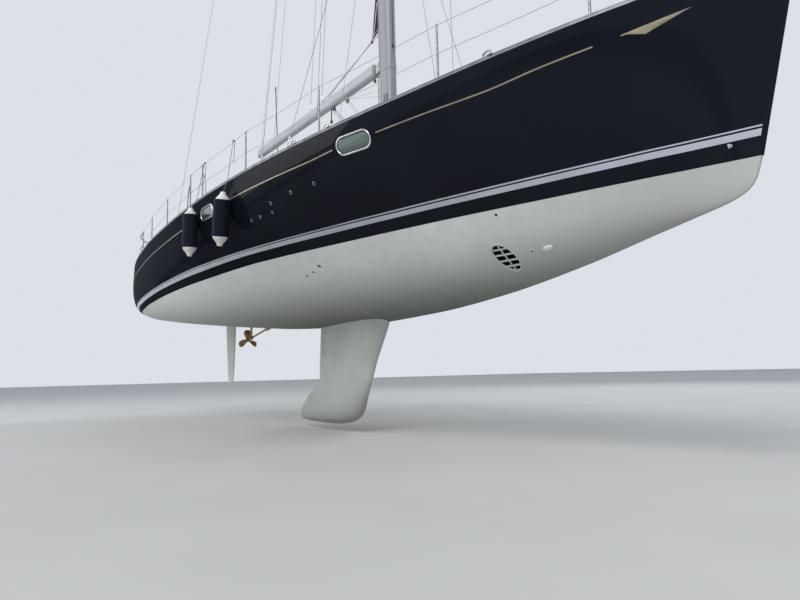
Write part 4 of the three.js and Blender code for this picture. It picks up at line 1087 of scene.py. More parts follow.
def makeToeRail():
    # one slotted profile carried along the sheer
    f = toeRail["start"] + (1 - toeRail["start"]) * np.linspace(0, 1, toeRail["steps"]) ** 1.25
    edge = hullPoint(f, 1.0)
    h, out, inn = toeRail["height"], toeRail["outward"], toeRail["inward"]
    profile = [(out, 0.0008), (out, h * 0.32), (out - 0.003, h * 0.36), (out - 0.003, h * 0.62), (out, h * 0.66),
               (out, h - 0.006), (out - 0.002, h - 0.002), (out - 0.006, h), (-inn + 0.006, h),
               (-inn + 0.002, h - 0.002), (-inn, h - 0.006), (-inn, 0.0008)]
    rings = np.array([[edge[:, 0], edge[:, 1] + y, edge[:, 2] + z] for y, z in profile]).transpose(2, 0, 1)
    rails = bothSides(loft(rings))
    addPiece("sheer_rail", rails, railAlloy, "boat", ["toe_rail"])


makeToeRail()
print("lights, cove line and toe rail done")


# Things let into the bottom: thruster gratings, transducers, outlets and the stern tube
bottom = {
    # half width and depth of a bar, heights of the bars over the tunnel's middle, width of the rim
    "grating": {"bar": 0.0055, "depth": 0.016, "rows": [-0.074, -0.026, 0.024, 0.072], "rim": 0.013},
    # length and height on the starboard side, radius of the flange, radius of the hole
    "outlets": [(4.637, -0.292, 0.030, 0.010), (1.326, -0.118, 0.026, 0.015), (1.514, -0.098, 0.026, 0.015),
                (1.746, -0.056, 0.034, 0.021)],
    "bare": [(4.539, 0.043, 0.015)],
    "topsides": [(1.30, 0.548, 0.024, 0.013), (1.52, 0.548, 0.024, 0.013), (1.85, 0.644, 0.026, 0.015),
                 (1.80, 0.550, 0.020, 0.010), (2.29, 0.680, 0.024, 0.013), (2.72, 0.685, 0.024, 0.013)],
    "transducer": {"x": 4.811, "z": -0.290, "length": 0.112, "width": 0.040, "proud": 0.016},
    "vent": {"x": 6.504, "z": 0.202},
}


def hullBase(x, z):
    # a place on the starboard skin and the direction straight out of it
    base, tip = onSide(hullAt(x, z), -1), onSide(hullAt(x, z, 0.05), -1)
    return base, unit(tip - base)


def makeGratings():
    # bars that follow the skin over the tunnel's mouth, one crossing them, inside a rounded rim
    g, r, cx, cz = bottom["grating"], thruster["radius"], thruster["x"], thruster["z"]
    paint = painted("grating paint", (0.47, 0.50, 0.44), (0.54, 0.57, 0.50), (0.5, 0.65), 9.0, 60.0, 0.1)
    around = np.linspace(0, tau, 73)[:-1]

    def rimRow(inset, out):
        radius = r - 0.0004 - inset
        return hullAt(cx + radius * np.cos(around), cz + radius * np.sin(around), out)

    def bar(a, b):
        # flat bar between two points of the mouth, its face on the skin and its depth into the tunnel
        line = np.array(a) + (np.array(b) - np.array(a)) * np.linspace(0, 1, 13)[:, None]
        across = unit(np.array([b[1] - a[1], a[0] - b[0]])) * g["bar"]
        rows = ((-1, -0.001), (-0.6, 0.001), (0.6, 0.001), (1, -0.001), (1, -g["depth"]), (-1, -g["depth"]))
        ring = [hullAt(line[:, 0] + across[0] * s, line[:, 1] + across[1] * s, out) for s, out in rows]
        return loft(np.array(ring).transpose(1, 0, 2))

    rim = ((0.0, 0.0005), (0.002, 0.004), (0.008, 0.0045), (g["rim"], 0.002), (g["rim"], -0.016), (0.0, -0.016),
           (0.0, 0.0005))
    parts = [grid([rimRow(*row) for row in rim], around=True)]
    inner = r - 0.004
    for at in g["rows"]:
        half = math.sqrt(inner ** 2 - at ** 2)
        parts.append(bar((cx - half, cz + at), (cx + half, cz + at)))
    parts.append(bar((cx - 0.012, cz - inner), (cx + 0.012, cz + inner)))
    for where, side in beams:
        addPiece(f"grating_{where}", onBeam(merged(*parts), side), paint, "boat",
                 [f"thruster_grating_{where}"], bevel=0.0015)


def makeThruster():
    # leg, pod and two small five-bladed propellers, deep inside the tunnel
    centre = np.array([thruster["x"], 0, thruster["z"]])
    leg = lathe([(0.0, 0.021), (0.128, 0.026)], centre, sides=28)
    pod = lathe([(-0.085, 0.008), (-0.08, 0.024), (-0.05, 0.031), (0.05, 0.031), (0.08, 0.024), (0.085, 0.008)], centre,
                (0, 1, 0), 32)
    # distance from the axis, width and twist of the blades
    sections, blades = ((0.024, 0.040, 0.9), (0.060, 0.058, 0.6), (0.096, 0.062, 0.45), (0.108, 0.03, 0.4)), []
    for end in (-1, 1):
        for k in range(5):
            a = tau * k / 5
            rings = []
            for rr, chord, twist in sections:
                u, v, _ = foil(chord / 2, -chord / 2, 0.0, 0.006, 16).T
                rings.append(np.stack([u * math.cos(twist) - v * math.sin(twist),
                                       u * math.sin(twist) * end + v * math.cos(twist), np.full(len(u), rr)], -1))
            points, faces, uvs = loft(rings)
            turned = np.stack([points[:, 0] * math.cos(a) + points[:, 2] * math.sin(a), points[:, 1] + end * 0.060,
                               -points[:, 0] * math.sin(a) + points[:, 2] * math.cos(a)], -1)
            blades.append((turned + centre, faces, uvs))
    addPiece("thruster_leg", merged(leg, pod, *blades), bronze, "boat")


def makeOutlets():
    # turned flanges that stand straight out of the skin, each with a near-black disc in its hole, painted as the shade
    # inside
    flanges, shadeDiscs, skins = [], [], []
    for x, z, radius, hole in bottom["outlets"]:
        base, out = hullBase(x, z)
        flanges.append(lathe([(-0.004, radius), (0.001, radius), (0.004, radius - 0.004), (0.005, hole + 0.004),
                              (0.0035, hole), (0.0005, hole)], base, out, 36))
        shadeDiscs.append(lathe([(-0.002, hole), (0.0022, hole - 0.0005)], base, out, 28))
    for x, z, radius in bottom["bare"]:
        base, out = hullBase(x, z)
        shadeDiscs.append(lathe([(-0.002, radius), (0.0008, radius)], base, out, 28))
    for x, z, radius, hole in bottom["topsides"]:
        base, out = hullBase(x, z)
        skins.append(lathe([(-0.004, radius), (0.0015, radius), (0.0045, radius - 0.005), (0.0055, hole + 0.003),
                            (0.003, hole), (0.001, hole)], base, out, 36))
        shadeDiscs.append(lathe([(-0.001, hole), (0.0020, hole - 0.0005)], base, out, 28))
    paint = painted("flange paint", (0.44, 0.47, 0.41), (0.52, 0.55, 0.48), (0.55, 0.7), 20.0, 60.0, 0.1)
    # near-black discs in the holes: painted shade standing for the dark inside of each opening
    holeShade = painted("painted hole shade", (0.004, 0.004, 0.004), (0.009, 0.009, 0.009), (0.7, 0.8), 60.0)
    addPiece("outlet_flanges", merged(*flanges), paint, "boat")
    addPiece("topside_outlets", merged(*skins), dullSteel, "boat")
    addPiece("outlet_hole_shades", merged(*shadeDiscs), holeShade, "boat")


def makeFairing():
    # long rounded fairing of the transducer: height over the skin follows a half circle both ways
    t = bottom["transducer"]
    u, v = np.meshgrid(np.linspace(-1, 1, 41), np.linspace(-1, 1, 21), indexing="ij")
    wide = np.sqrt(np.clip(1 - np.abs(u) ** 3.2, 0, 1))
    x = t["x"] + u * t["length"] / 2
    z = t["z"] + v * wide * t["width"] / 2 + u * 0.006
    out = t["proud"] * np.sqrt(np.clip(1 - np.abs(v) ** 2.4, 0, 1)) * np.clip(1 - np.abs(u) ** 4, 0, 1) ** 0.5 - 0.001
    top, under = onSide(hullAt(x, z, out), -1), onSide(hullAt(x, z, -0.004), -1)
    band = [np.concatenate([a[:, 0], a[-1, 1:], a[::-1, -1][1:], a[0, ::-1][1:-1]]) for a in (under, top)]
    fair = painted("fairing paint", (0.58, 0.61, 0.56), (0.66, 0.69, 0.64), (0.35, 0.45), 30.0, 60.0, 0.05)
    addPiece("transducer_fairing", merged(grid(top), flipped(grid(under)), grid(band, around=True)), fair, "boat")
    # clam-shaped steel scoop under the bow
    base, out = hullBase(bottom["vent"]["x"], bottom["vent"]["z"])
    along = unit(onSide(hullAt(6.56, 0.205), -1) - base)
    across = np.cross(out, along)
    a, b = np.meshgrid(np.linspace(0, math.pi, 25), np.linspace(0, 1, 13), indexing="ij")
    swell = 0.017 * np.sin(a) * np.sqrt(b)
    points = (base + (-0.030 * b + 0.012)[..., None] * along
              + (0.022 * np.cos(a) * (0.45 + 0.55 * b))[..., None] * across
              + (swell - 0.0005)[..., None] * out)
    mouth = points[:, -1]
    addPiece("bow_scoop", merged(grid(points), grid([mouth, mouth * 0 + base - 0.018 * along])), steel, "boat",
             outward=False)


def makeSternTube():
    # tube that carries the shaft into the hull, its outer end rounded, with a cutlass bearing inside
    along = unit(onShaft(1) - onShaft(0))
    rows = [(1.131, 0.0188), (1.131, 0.026), (1.134, 0.034), (1.142, 0.0395), (1.16, 0.040), (1.19, 0.040),
            (1.20, 0.0375), (1.21, 0.040), (1.83, 0.040), (1.83, 0.0188), (1.131, 0.0188)]
    addPiece("stern_tube", openEnds(lathe(rows, onShaft(0), along, 36)), bronze, "boat")


makeGratings()
makeThruster()
makeOutlets()
makeFairing()
makeSternTube()
print("bottom fittings done")


# Deck moulding: cambered deck, coachroof, coamings and the lining of every hollow, carved as one body
deckShape = {
    "inset": 0.043, "edge": 0.008, "camber": 0.070, "across": 21, "rows": 90,
    "roofX": [4.560, 4.250, 3.600, 2.800, 1.800, 0.600, -0.800, -2.000, -2.620],
    "roofHalf": [0.120, 0.430, 0.730, 0.980, 1.150, 1.270, 1.360, 1.380, 1.380],
    "roofRise": [0.020, 0.095, 0.175, 0.250, 0.310, 0.350, 0.372, 0.380, 0.380],
    "roundness": 3.5, "lean": 0.16, "roofEdge": 0.014,
    "coamingX": [-2.22, -2.27, -2.40, -3.0, -4.5, -6.0, -6.5, -6.8, -7.0],
    "coamingTop": [1.19, 1.38, 1.462, 1.455, 1.449, 1.440, 1.398, 1.318, 1.204],
    "coamingInner": 1.220, "coamingOuter": 1.502, "coamingFoot": 1.10, "corner": 0.055, "bulkhead": -2.620,
}
liningTop = {"seats": 1.198, "helm": 1.198, "walkthrough": 1.212, "swimStep": 1.212, "anchor": 1.397}
wellCorner = {"seats": 0.05, "footwell": 0.07, "helm": 0.09, "walkthrough": 0.04, "swimStep": 0.05, "anchor": 0.03,
              "companionway": 0.02, "portLocker": 0.05, "starboardLocker": 0.05}


def alongSheer(x):
    # share of the length at which the sheer reaches this x
    f = np.linspace(0, 1, 400)
    return np.interp(-np.asarray(x, float), -hullPoint(f, 1.0)[:, 0], f)


def deckTop(x, y):
    # sheer height plus a camber that falls with the square of the distance from the middle
    f = alongSheer(x)
    breadth = sheerBreadth(f)
    crown = deckShape["camber"] * np.minimum(breadth / 2, 1)
    return sheerHeight(f) + deckShape["edge"] + crown * (1 - np.minimum(np.abs(y) / breadth, 1) ** 2)


roofHalf = monotone(deckShape["roofX"], deckShape["roofHalf"])
roofRise = monotone(deckShape["roofX"], deckShape["roofRise"])
roofArch = np.linspace(0, math.pi / 2, 200)
archUp = np.sin(roofArch) ** (2 / deckShape["roundness"])
archOut = np.cos(roofArch) ** (2 / deckShape["roundness"]) * (1 - deckShape["lean"] * archUp)


def roofBase(x):
    return sheerHeight((hull["bowX"] - np.asarray(x, float)) / hull["length"]) + 0.004


def roofTopAt(x, y):
    # height of the coachroof over a place
    return roofBase(x) + roofRise(x) * np.interp(np.abs(y) / roofHalf(x), archOut[::-1], archUp[::-1])


def roofSideAt(x, z):
    # half breadth of the coachroof at a height
    return roofHalf(x) * np.interp((z - roofBase(x)) / roofRise(x), archUp, archOut)


def deckPlate():
    # rows across the cambered deck from edge to edge, closed by a flat underside
    f = 0.0135 + (1 - 0.0135) * np.linspace(0, 1, deckShape["rows"]) ** 1.2
    edge = hullPoint(f, 1.0)
    half = np.maximum(edge[:, 1] - deckShape["inset"], 0.01)
    share = np.linspace(1, -1, deckShape["across"])
    y = half[:, None] * share
    crown = deckShape["camber"] * np.minimum(edge[:, 1] / 2, 1)
    z = edge[:, 2, None] + deckShape["edge"] + crown[:, None] * (1 - share ** 2)
    x = np.broadcast_to(edge[:, :1], y.shape)
    under = [np.stack([edge[:, 0], side * half, edge[:, 2] + 0.0003], -1)[:, None] for side in (-1, 1)]
    return loft(np.concatenate([np.stack([x, y, z], -1), *under], 1))


def roofBody():
    # arches |cos|^n by |sin|^n that lean in with their height; the last three rows round the bulkhead's edge
    end = deckShape["bulkhead"]
    x = np.concatenate([np.linspace(deckShape["roofX"][0], end + 0.03, 70), [end + 0.014, end + 0.004, end]])
    inset = np.concatenate([np.zeros(70), [0.002, 0.008, deckShape["roofEdge"]]])
    a = np.linspace(0, math.pi, 57)
    s = np.maximum(np.sin(a), 1e-9) ** (2 / deckShape["roundness"])
    c = np.sign(np.cos(a)) * np.abs(np.cos(a)) ** (2 / deckShape["roundness"])
    y = (roofHalf(x) - inset)[:, None] * c * (1 - deckShape["lean"] * s)
    z = (roofBase(x))[:, None] + (roofRise(x) - inset)[:, None] * s
    return flipped(loft(np.stack([np.broadcast_to(x[:, None], y.shape), y, z], -1)))


def coamingBody():
    # rounded rectangles along the port side, their height a smooth curve, all standing on one level
    x = np.concatenate([np.linspace(-2.22, -2.45, 12), np.linspace(-2.5, -7.0, 60)])
    foot = deckShape["coamingFoot"]
    top = monotone(deckShape["coamingX"], deckShape["coamingTop"])(x)
    middle = (deckShape["coamingInner"] + deckShape["coamingOuter"]) / 2
    half = (deckShape["coamingOuter"] - deckShape["coamingInner"]) / 2
    rings = []
    for at, height in zip(x, top):
        tall = (height - foot) / 2
        ring = roundedRing((middle, foot + tall), (half, tall), min(deckShape["corner"], tall - 0.004), 7)
        rings.append(np.c_[np.full(len(ring), at), ring])
    return flipped(loft(rings))


def roundedWell(name):
    # a hollow with round corners and a softened floor edge
    low, high = (np.array(corner) for corner in wells[name])
    corner = wellCorner[name]
    return plate((low + high)[:2] / 2, (high - low)[:2] / 2, corner, softRows(low[2], high[2], min(corner, 0.03)))


# place along, side and fall along x; the fore one is on the deck and the others on the roof
hatches = {
    "fore_hatch": {"x": 5.080, "size": 0.560, "pitch": 0.075},
    "saloon_hatch": {"x": 2.500, "size": 0.520, "pitch": -0.052},
    "cabin_hatch": {"x": 0.0, "size": 0.480, "pitch": -0.012},
}
for hatch in hatches.values():
    surface = deckTop if hatch["x"] > deckShape["roofX"][0] else roofTopAt
    hatch["z"] = float(surface(hatch["x"], 0) + 0.016)
anchorLid = {"x": 6.080, "lift": 0.018, "pitch": 0.112}
anchorLid["place"] = (anchorLid["x"], 0, float(deckTop(anchorLid["x"], 0)) + anchorLid["lift"])


def gelcoatFinish(name, colour, other, rough=(0.26, 0.36)):
    # polished moulding with faint yellowing and fine scratches
    finish = Finish(name, Specular_IOR_Level=0.5)
    cloud = finish.noise(2.0, 4.0).clamped(0.35, 0.7)
    dirt = finish.noise(9.0, 5.0, 0.7).clamped(0.6, 0.85) * 0.3
    finish.set("Base Color", finish.mix(finish.mix(colour, other, cloud), (0.46, 0.44, 0.39), dirt))
    finish.set("Roughness", cloud * (rough[1] - rough[0]) + rough[0])
    finish.bump(finish.noise(90.0, 3.0), 0.03, 0.002)
    return finish.material


def nonSkidFinish():
    # moulded grip: small raised diamonds, with painted shade in the hollows between them
    finish = Finish("non-skid moulding", Roughness=0.6)
    grid1 = finish.waves(finish.stretched((70, 70, 0), (0, 0, math.pi / 4)), "X")
    grid2 = finish.waves(finish.stretched((70, 70, 0), (0, 0, math.pi / 4)), "Y")
    studs = (grid1 * grid2).clamped(0.25, 0.6)
    cloud = finish.noise(3.0, 4.0).clamped(0.35, 0.7)
    base = finish.mix((0.50, 0.51, 0.50), (0.57, 0.575, 0.56), cloud)
    # painted shade: the hollows between the studs are darkened, the studs keep the base colour
    finish.set("Base Color", finish.mix(finish.mix(base, (0.36, 0.36, 0.34), 0.4), base, studs))
    return finish.bump(studs, 0.6, 0.0015).material


def teakFinish(name, plank=0.046):
    # planks along the piece's own v: caulked seams, a tint for each plank and grain drawn out along it
    finish = Finish(name)
    flow = finish.node("ShaderNodeUVMap", {"uv_map": "flow"})
    u, v, _ = finish.axes(flow)
    at = u / plank
    seam = (at.math("FRACT") - 0.5).math("ABSOLUTE")
    caulk = seam > 0.452
    tint = finish.node("ShaderNodeTexWhiteNoise", {"noise_dimensions": "1D"}, {"W": at.math("FLOOR")})
    grain = finish.noise(1.0, 6.0, 0.65, source=finish.stretched((420, 9, 1), source=flow)).clamped(0.3, 0.7)
    age = finish.noise(3.5, 4.0).clamped(0.35, 0.7)
    wood = finish.mix(finish.mix((0.330, 0.215, 0.118), (0.455, 0.320, 0.190), grain), (0.40, 0.335, 0.255), age * 0.7)
    wood = finish.mix(wood, (0.25, 0.165, 0.09), tint * 0.38)
    finish.set("Base Color", finish.mix(wood, (0.012, 0.012, 0.012), caulk))
    finish.set("Roughness", grain * 0.14 + 0.58)
    return finish.bump(grain * 0.35 - caulk, 0.35, 0.0016).material


gelcoat = gelcoatFinish("white gelcoat", (0.74, 0.735, 0.71), (0.69, 0.685, 0.655))
lidGelcoat = gelcoatFinish("lid gelcoat", (0.76, 0.755, 0.735), (0.72, 0.715, 0.69), (0.3, 0.4))
nonSkid = nonSkidFinish()
teak = teakFinish("teak planks")
seatTeak = teakFinish("seat teak", 0.052)


def makeDeck():
    # linings of the hollows, joined and kept inside the hull, with deck, roof, coamings and frames, less the hollows
    names = list(wells)
    piece = addPiece("deck_moulding", wellBlock(names[0], 0.025, liningTop["seats"]), gelcoat, "",
                     merge=False, outward=False)
    frames = [pitched(plate((0, 0), (h["size"] / 2 + 0.012,) * 2, 0.05, softRows(-0.034, 0, top=0.006)),
                      (h["x"], 0, h["z"]), h["pitch"]) for h in hatches.values()]
    frames.append(pitched(plate((0, 0), (0.352, 0.212), 0.04, softRows(-0.034, 0, top=0.006)), anchorLid["place"],
                          anchorLid["pitch"]))
    coaming = coamingBody()
    carved(piece, *[("UNION", wellBlock(name, 0.025, liningTop.get(name, 1.15))) for name in names[1:]],
           ("INTERSECT", hullSkin()[0]), ("UNION", deckPlate()), ("UNION", roofBody()), ("UNION", coaming),
           ("UNION", mirroredShape(coaming)), *[("UNION", frame) for frame in frames],
           *[("DIFFERENCE", roundedWell(name)) for name in names], sharp=30)
    settle(piece, "boat", ["deck"])


def panel(xs, lows, highs, height, lift, across=10):
    # thin sheet laid on a surface: its edge dips 1.5 mm so that the rim reads as rounded
    share = np.concatenate([[0, 0.003], np.linspace(0.02, 0.98, across), [0.997, 1]])
    y = lows[:, None] + (highs - lows)[:, None] * share
    x = np.broadcast_to(xs[:, None], y.shape)
    drop = np.zeros_like(share)
    drop[[0, -1]] = 0.0015
    top = np.stack([x, y, height(x, y) + lift - drop], -1)
    base = np.stack([x[:, ::-1], y[:, ::-1], (height(x, y) - 0.002)[:, ::-1]], -1)[:, ::len(share) - 1]
    points, faces, uvs = loft(np.concatenate([top, base], 1))
    # its uv: u is metres across from the outer edge, v metres along
    u = np.concatenate([highs[:, None] - y, np.zeros((len(xs), 2))], 1).ravel()
    u = np.concatenate([u, [0, 0]])
    v = np.concatenate([np.repeat(xs, len(share) + 2), [xs[0], xs[-1]]])
    return points, faces, np.stack([u[faces], v[faces]], -1)


def makeDeckPanels():
    # side deck planks between the deck's edge and the roof or coaming, boards in the cockpit, grip on the roof
    xs = np.unique(np.concatenate([np.linspace(6.38, -6.86, 150),
                                   [5.66, 5.655, 5.405, 5.40, 4.76, 4.755, 4.66, 4.62]]))[::-1]
    outer = sheerBreadth(alongSheer(xs)) - 0.090
    inner = np.interp(-xs, -np.array([6.38, 5.66, 5.655, 5.405, 5.40, 4.76, 4.755, 4.66]),
                      [0.25, 0.25, 0.003, 0.003, 0.325, 0.325, 0.003, 0.003])
    ahead = roofHalf(np.clip(xs, -2.62, 4.56)) + 0.050
    inner = np.where(xs < 4.65, ahead, inner)
    inner = np.where(xs < -2.15, np.interp(-xs, [2.15, 2.30], [1.44, 1.548]), inner)
    addPiece("deck_teak", bothSides(panel(xs, inner, outer, deckTop, 0.006)), teak, "boat", sharp=30)

    def level(z):
        return lambda x, y: np.full(np.shape(x), z)

    def board(x0, x1, y0, y1, z):
        return panel(np.linspace(x1, x0, 8), np.full(8, y0), np.full(8, y1), level(z), 0.019 if z > 1 else 0.007, 6)
    seats = [board(-3.225, -2.665, 0.600, 1.195, 1.010), board(-5.020, -4.775, 0.600, 1.195, 1.010),
             board(-4.775, -3.225, 0.600, 0.632, 1.010), board(-6.860, -6.480, 0.365, 1.195, 1.010)]
    sole = [board(-5.045, -2.665, 0.002, 0.545, 0.620), board(-6.410, -5.085, 0.002, 1.185, 0.620),
            board(-7.190, -6.415, 0.002, 0.300, 0.620), board(-7.52, -7.245, 0.002, 1.010, 0.400)]
    addPiece("seat_teak", bothSides(merged(*seats)), seatTeak, "boat", sharp=30)
    addPiece("sole_teak", bothSides(merged(*sole)), teak, "boat", sharp=30)

    def patch(x0, x1, y0, y1=None, share=0.765):
        # grip panel on the roof, out to y1 or to a share of the roof's half breadth
        x = np.linspace(x1, x0, 40)
        return panel(x, np.full(40, y0), np.full(40, y1) if y1 else roofHalf(x) * share, roofTopAt, 0.0025)
    patches = [patch(-0.95, 3.30, 0.300), patch(-2.05, -1.00, 0.430), patch(2.98, 3.90, 0.004, share=0.7),
               patch(0.34, 1.18, 0.004, 0.27), patch(-0.95, -0.36, 0.004, 0.27)]
    addPiece("roof_grip", bothSides(merged(*patches)), nonSkid, "boat", sharp=30)


# Long tinted lights along the coachroof's sides
roofLight = {
    "topX": [3.15, 2.95, 2.70, 1.90, 0.60, -0.60, -1.45, -1.62, -1.70],
    "topZ": [1.266, 1.306, 1.329, 1.372, 1.394, 1.392, 1.384, 1.340, 1.262],
    "lowX": [3.15, 2.95, 2.60, 0.40, -1.50, -1.62, -1.70],
    "lowZ": [1.264, 1.231, 1.216, 1.211, 1.216, 1.228, 1.258],
    "proud": 0.003, "gapAt": 0.93, "gap": 0.004,
}


def makeRoofLights():
    # two sheets between an upper and a lower curve, laid on the roof's side, with a seal along both edges
    top, low = monotone(roofLight["topX"], roofLight["topZ"]), monotone(roofLight["lowX"], roofLight["lowZ"])
    pane = Finish("smoked acrylic", Coat_Weight=1.0, Coat_Roughness=0.02, Specular_IOR_Level=0.5)
    cloud = pane.noise(1.6, 3.0).clamped(0.35, 0.65)
    pane.set("Base Color", pane.mix((0.010, 0.012, 0.014), (0.020, 0.023, 0.026), cloud))
    pane.set("Roughness", cloud * 0.06 + 0.04)
    pieces, seals = [], []
    middle, gap = roofLight["gapAt"], roofLight["gap"]
    for x0, x1 in ((-1.6995, middle - gap), (middle + gap, 3.1495)):
        x = x0 + (x1 - x0) * (1 - np.cos(np.linspace(0, math.pi, 80))) / 2
        share = np.concatenate([[0, 0.012], np.linspace(0.04, 0.96, 9), [0.988, 1]])
        z = low(x)[:, None] + (top(x) - low(x))[:, None] * share
        wide = np.broadcast_to(x[:, None], z.shape)
        out = np.full(len(share), roofLight["proud"])
        out[[0, -1]] = 0.0012
        face = np.stack([wide, roofSideAt(wide, z) + out, z], -1)
        back = np.stack([wide, roofSideAt(wide, z) - 0.006, z], -1)[:, ::-1]
        pieces.append(loft(np.concatenate([face, back], 1)))
    x = np.linspace(-1.695, 3.145, 120)
    for curve, sign in ((top, 1), (low, -1)):
        z = curve(x)
        ring = [np.stack([x, roofSideAt(x, z + sign * a) + b, z + sign * a], -1)
                for a, b in ((-0.002, 0.0), (-0.002, 0.0036), (0.003, 0.0036), (0.007, 0.001), (0.007, -0.004),
                             (-0.002, -0.004))]
        seals.append(loft(np.array(ring).transpose(1, 0, 2)))
    for where, side in beams:
        addPiece(f"roof_light_{where}", onBeam(merged(*pieces), side), pane.material, "boat",
                 [f"roof_window_{where}"])
    addPiece("roof_light_seals", bothSides(merged(*seals)), blackPlastic, "boat")
    return pane.material


makeDeck()
makeDeckPanels()
smoked = makeRoofLights()
print("deck done")


# Hatches, lids, sliding hatch and washboard
def frameRing(half, corner, rows):
    # closed band through rounded rectangles at (inset, height)
    rings = [np.c_[roundedRing((0, 0), (half[0] - i, half[1] - i), max(corner - i, 0.002)), np.full(24, z)]
             for i, z in rows]
    return flipped(grid(rings + rings[:1], around=True))


def makeHatches():
    # each is a frame with its hinges, a pane with two knobs and a seal, tilted with what it lies on
    for name, h in hatches.items():
        half = (h["size"] / 2,) * 2
        rim = frameRing(half, 0.045, [(0.0, 0.0008), (0.0, 0.016), (0.002, 0.0205), (0.006, 0.0235), (0.026, 0.024),
                                      (0.031, 0.022), (0.033, 0.018), (0.033, 0.0008)])
        hinges = []
        for y in (-0.62, 0.62):
            at = (half[0] - 0.006, y * half[1], 0.016)
            hinges.append(lathe([(-0.034, 0.006), (-0.032, 0.008), (0.032, 0.008), (0.034, 0.006)], at, (0, 1, 0), 20))
            hinges.append(moved(plate((0, 0), (0.020, 0.022), 0.006, softRows(0.0, 0.0055, top=0.002)),
                                (half[0] - 0.024, y * half[1], 0.0235)))
        place, slope = (h["x"], 0, h["z"]), h["pitch"]
        addPiece(f"{name}_frame", pitched(merged(rim, *hinges), place, slope), alloy, name)
        pane = plate((0, 0), (half[0] - 0.032, half[1] - 0.032), 0.016,
                     [(0, 0.004), (0, 0.0205), (0.0015, 0.0222), (0.004, 0.0226)])
        knobs = [lathe([(0.0225, 0.017), (0.0255, 0.016), (0.0265, 0.012), (0.0262, 0.005)],
                       (-half[0] + 0.075, y * half[1], 0), sides=28) for y in (-0.5, 0.5)]
        shape = merged(pane, *knobs)
        kind = (np.arange(len(shape[1])) >= len(pane[1])).astype(int)
        addPiece(f"{name}_pane", pitched(shape, place, slope), [smoked, blackPlastic], name, [name],
                 faceFinish=kind, outward=False)
        seal = frameRing((half[0] + 0.002, half[1] + 0.002), 0.045,
                         [(0.0, 0.0), (0.0, 0.0012), (0.02, 0.0012), (0.02, 0.0)])
        addPiece(f"{name}_seal", pitched(seal, place, slope), rubber, "boat")


def makeLids():
    # plates and turned fittings; the anchor locker's lid tilts with the deck
    place, slope = anchorLid["place"], anchorLid["pitch"]
    lid = plate((0, 0), (0.340, 0.200), 0.035,
                [(0.004, 0.0006), (0, 0.004), (0, 0.016), (0.003, 0.0215), (0.009, 0.024)])
    addPiece("anchor_lid", pitched(lid, place, slope), lidGelcoat, "anchor_locker_lid",
             ["anchor_locker_lid"], outward=False)
    grip = plate((0, 0), (0.300, 0.160), 0.03, [(0, 0.022), (0, 0.0252), (0.002, 0.0258)])
    addPiece("anchor_lid_grip", pitched(grip, place, slope), nonSkid, "anchor_locker_lid", sharp=30,
             outward=False)
    pull = merged(lathe([(0.024, 0.026), (0.0262, 0.025), (0.0262, 0.019), (0.0246, 0.017), (0.0246, 0.004)],
                        (0.262, 0, 0), sides=32),
                  moved(plate((0, 0), (0.004, 0.018), 0.003, softRows(0.024, 0.0268, top=0.001)), (0.262, 0, 0)))
    addPiece("anchor_lid_pull", pitched(pull, place, slope), steel, "anchor_locker_lid", outward=False)
    for where, side in beams:
        centre = (-4.0, side * 0.910)
        body = f"seat_locker_{where}"
        lid = plate(centre, (0.750, 0.270), 0.05,
                    [(0.004, 1.0103), (0, 1.014), (0, 1.022), (0.004, 1.0275), (0.01, 1.029)], 9)
        addPiece(f"seat_lid_{where}", lid, lidGelcoat, body, [f"seat_locker_lid_{where}"], outward=False)
        low, high = sorted((side * 0.665, side * 1.155))
        boards = panel(np.linspace(-4.725, -3.275, 8), np.full(8, low), np.full(8, high),
                       lambda x, y: np.full(np.shape(x), 1.027), 0.0035, 8)
        addPiece(f"seat_lid_teak_{where}", boards, seatTeak, body, sharp=30)
        latch = lathe([(1.0300, 0.021), (1.0322, 0.020), (1.0322, 0.014), (1.0308, 0.012), (1.0308, 0.003)],
                      (-4.0, side * 0.70, 0), sides=28)
        hinges = [lathe([(-0.03, 0.005), (-0.028, 0.0065), (0.028, 0.0065), (0.03, 0.005)], (x, side * 1.172, 1.028),
                        (1, 0, 0), 16) for x in (-4.55, -3.45)]
        addPiece(f"seat_lid_fittings_{where}", merged(latch, *hinges), steel, body)


slide = {"z": float(roofTopAt(-2.0, 0)) + 0.006, "x": (-2.665, -1.830), "half": 0.400}
washboard = {"x": -2.642, "half": 0.345, "foot": 0.680}


def upright(shape, place):
    # a plate turned so that it faces along the boat: its x, y and z become y, z and x
    return moved((shape[0][:, [2, 0, 1]], shape[1], shape[2]), place)


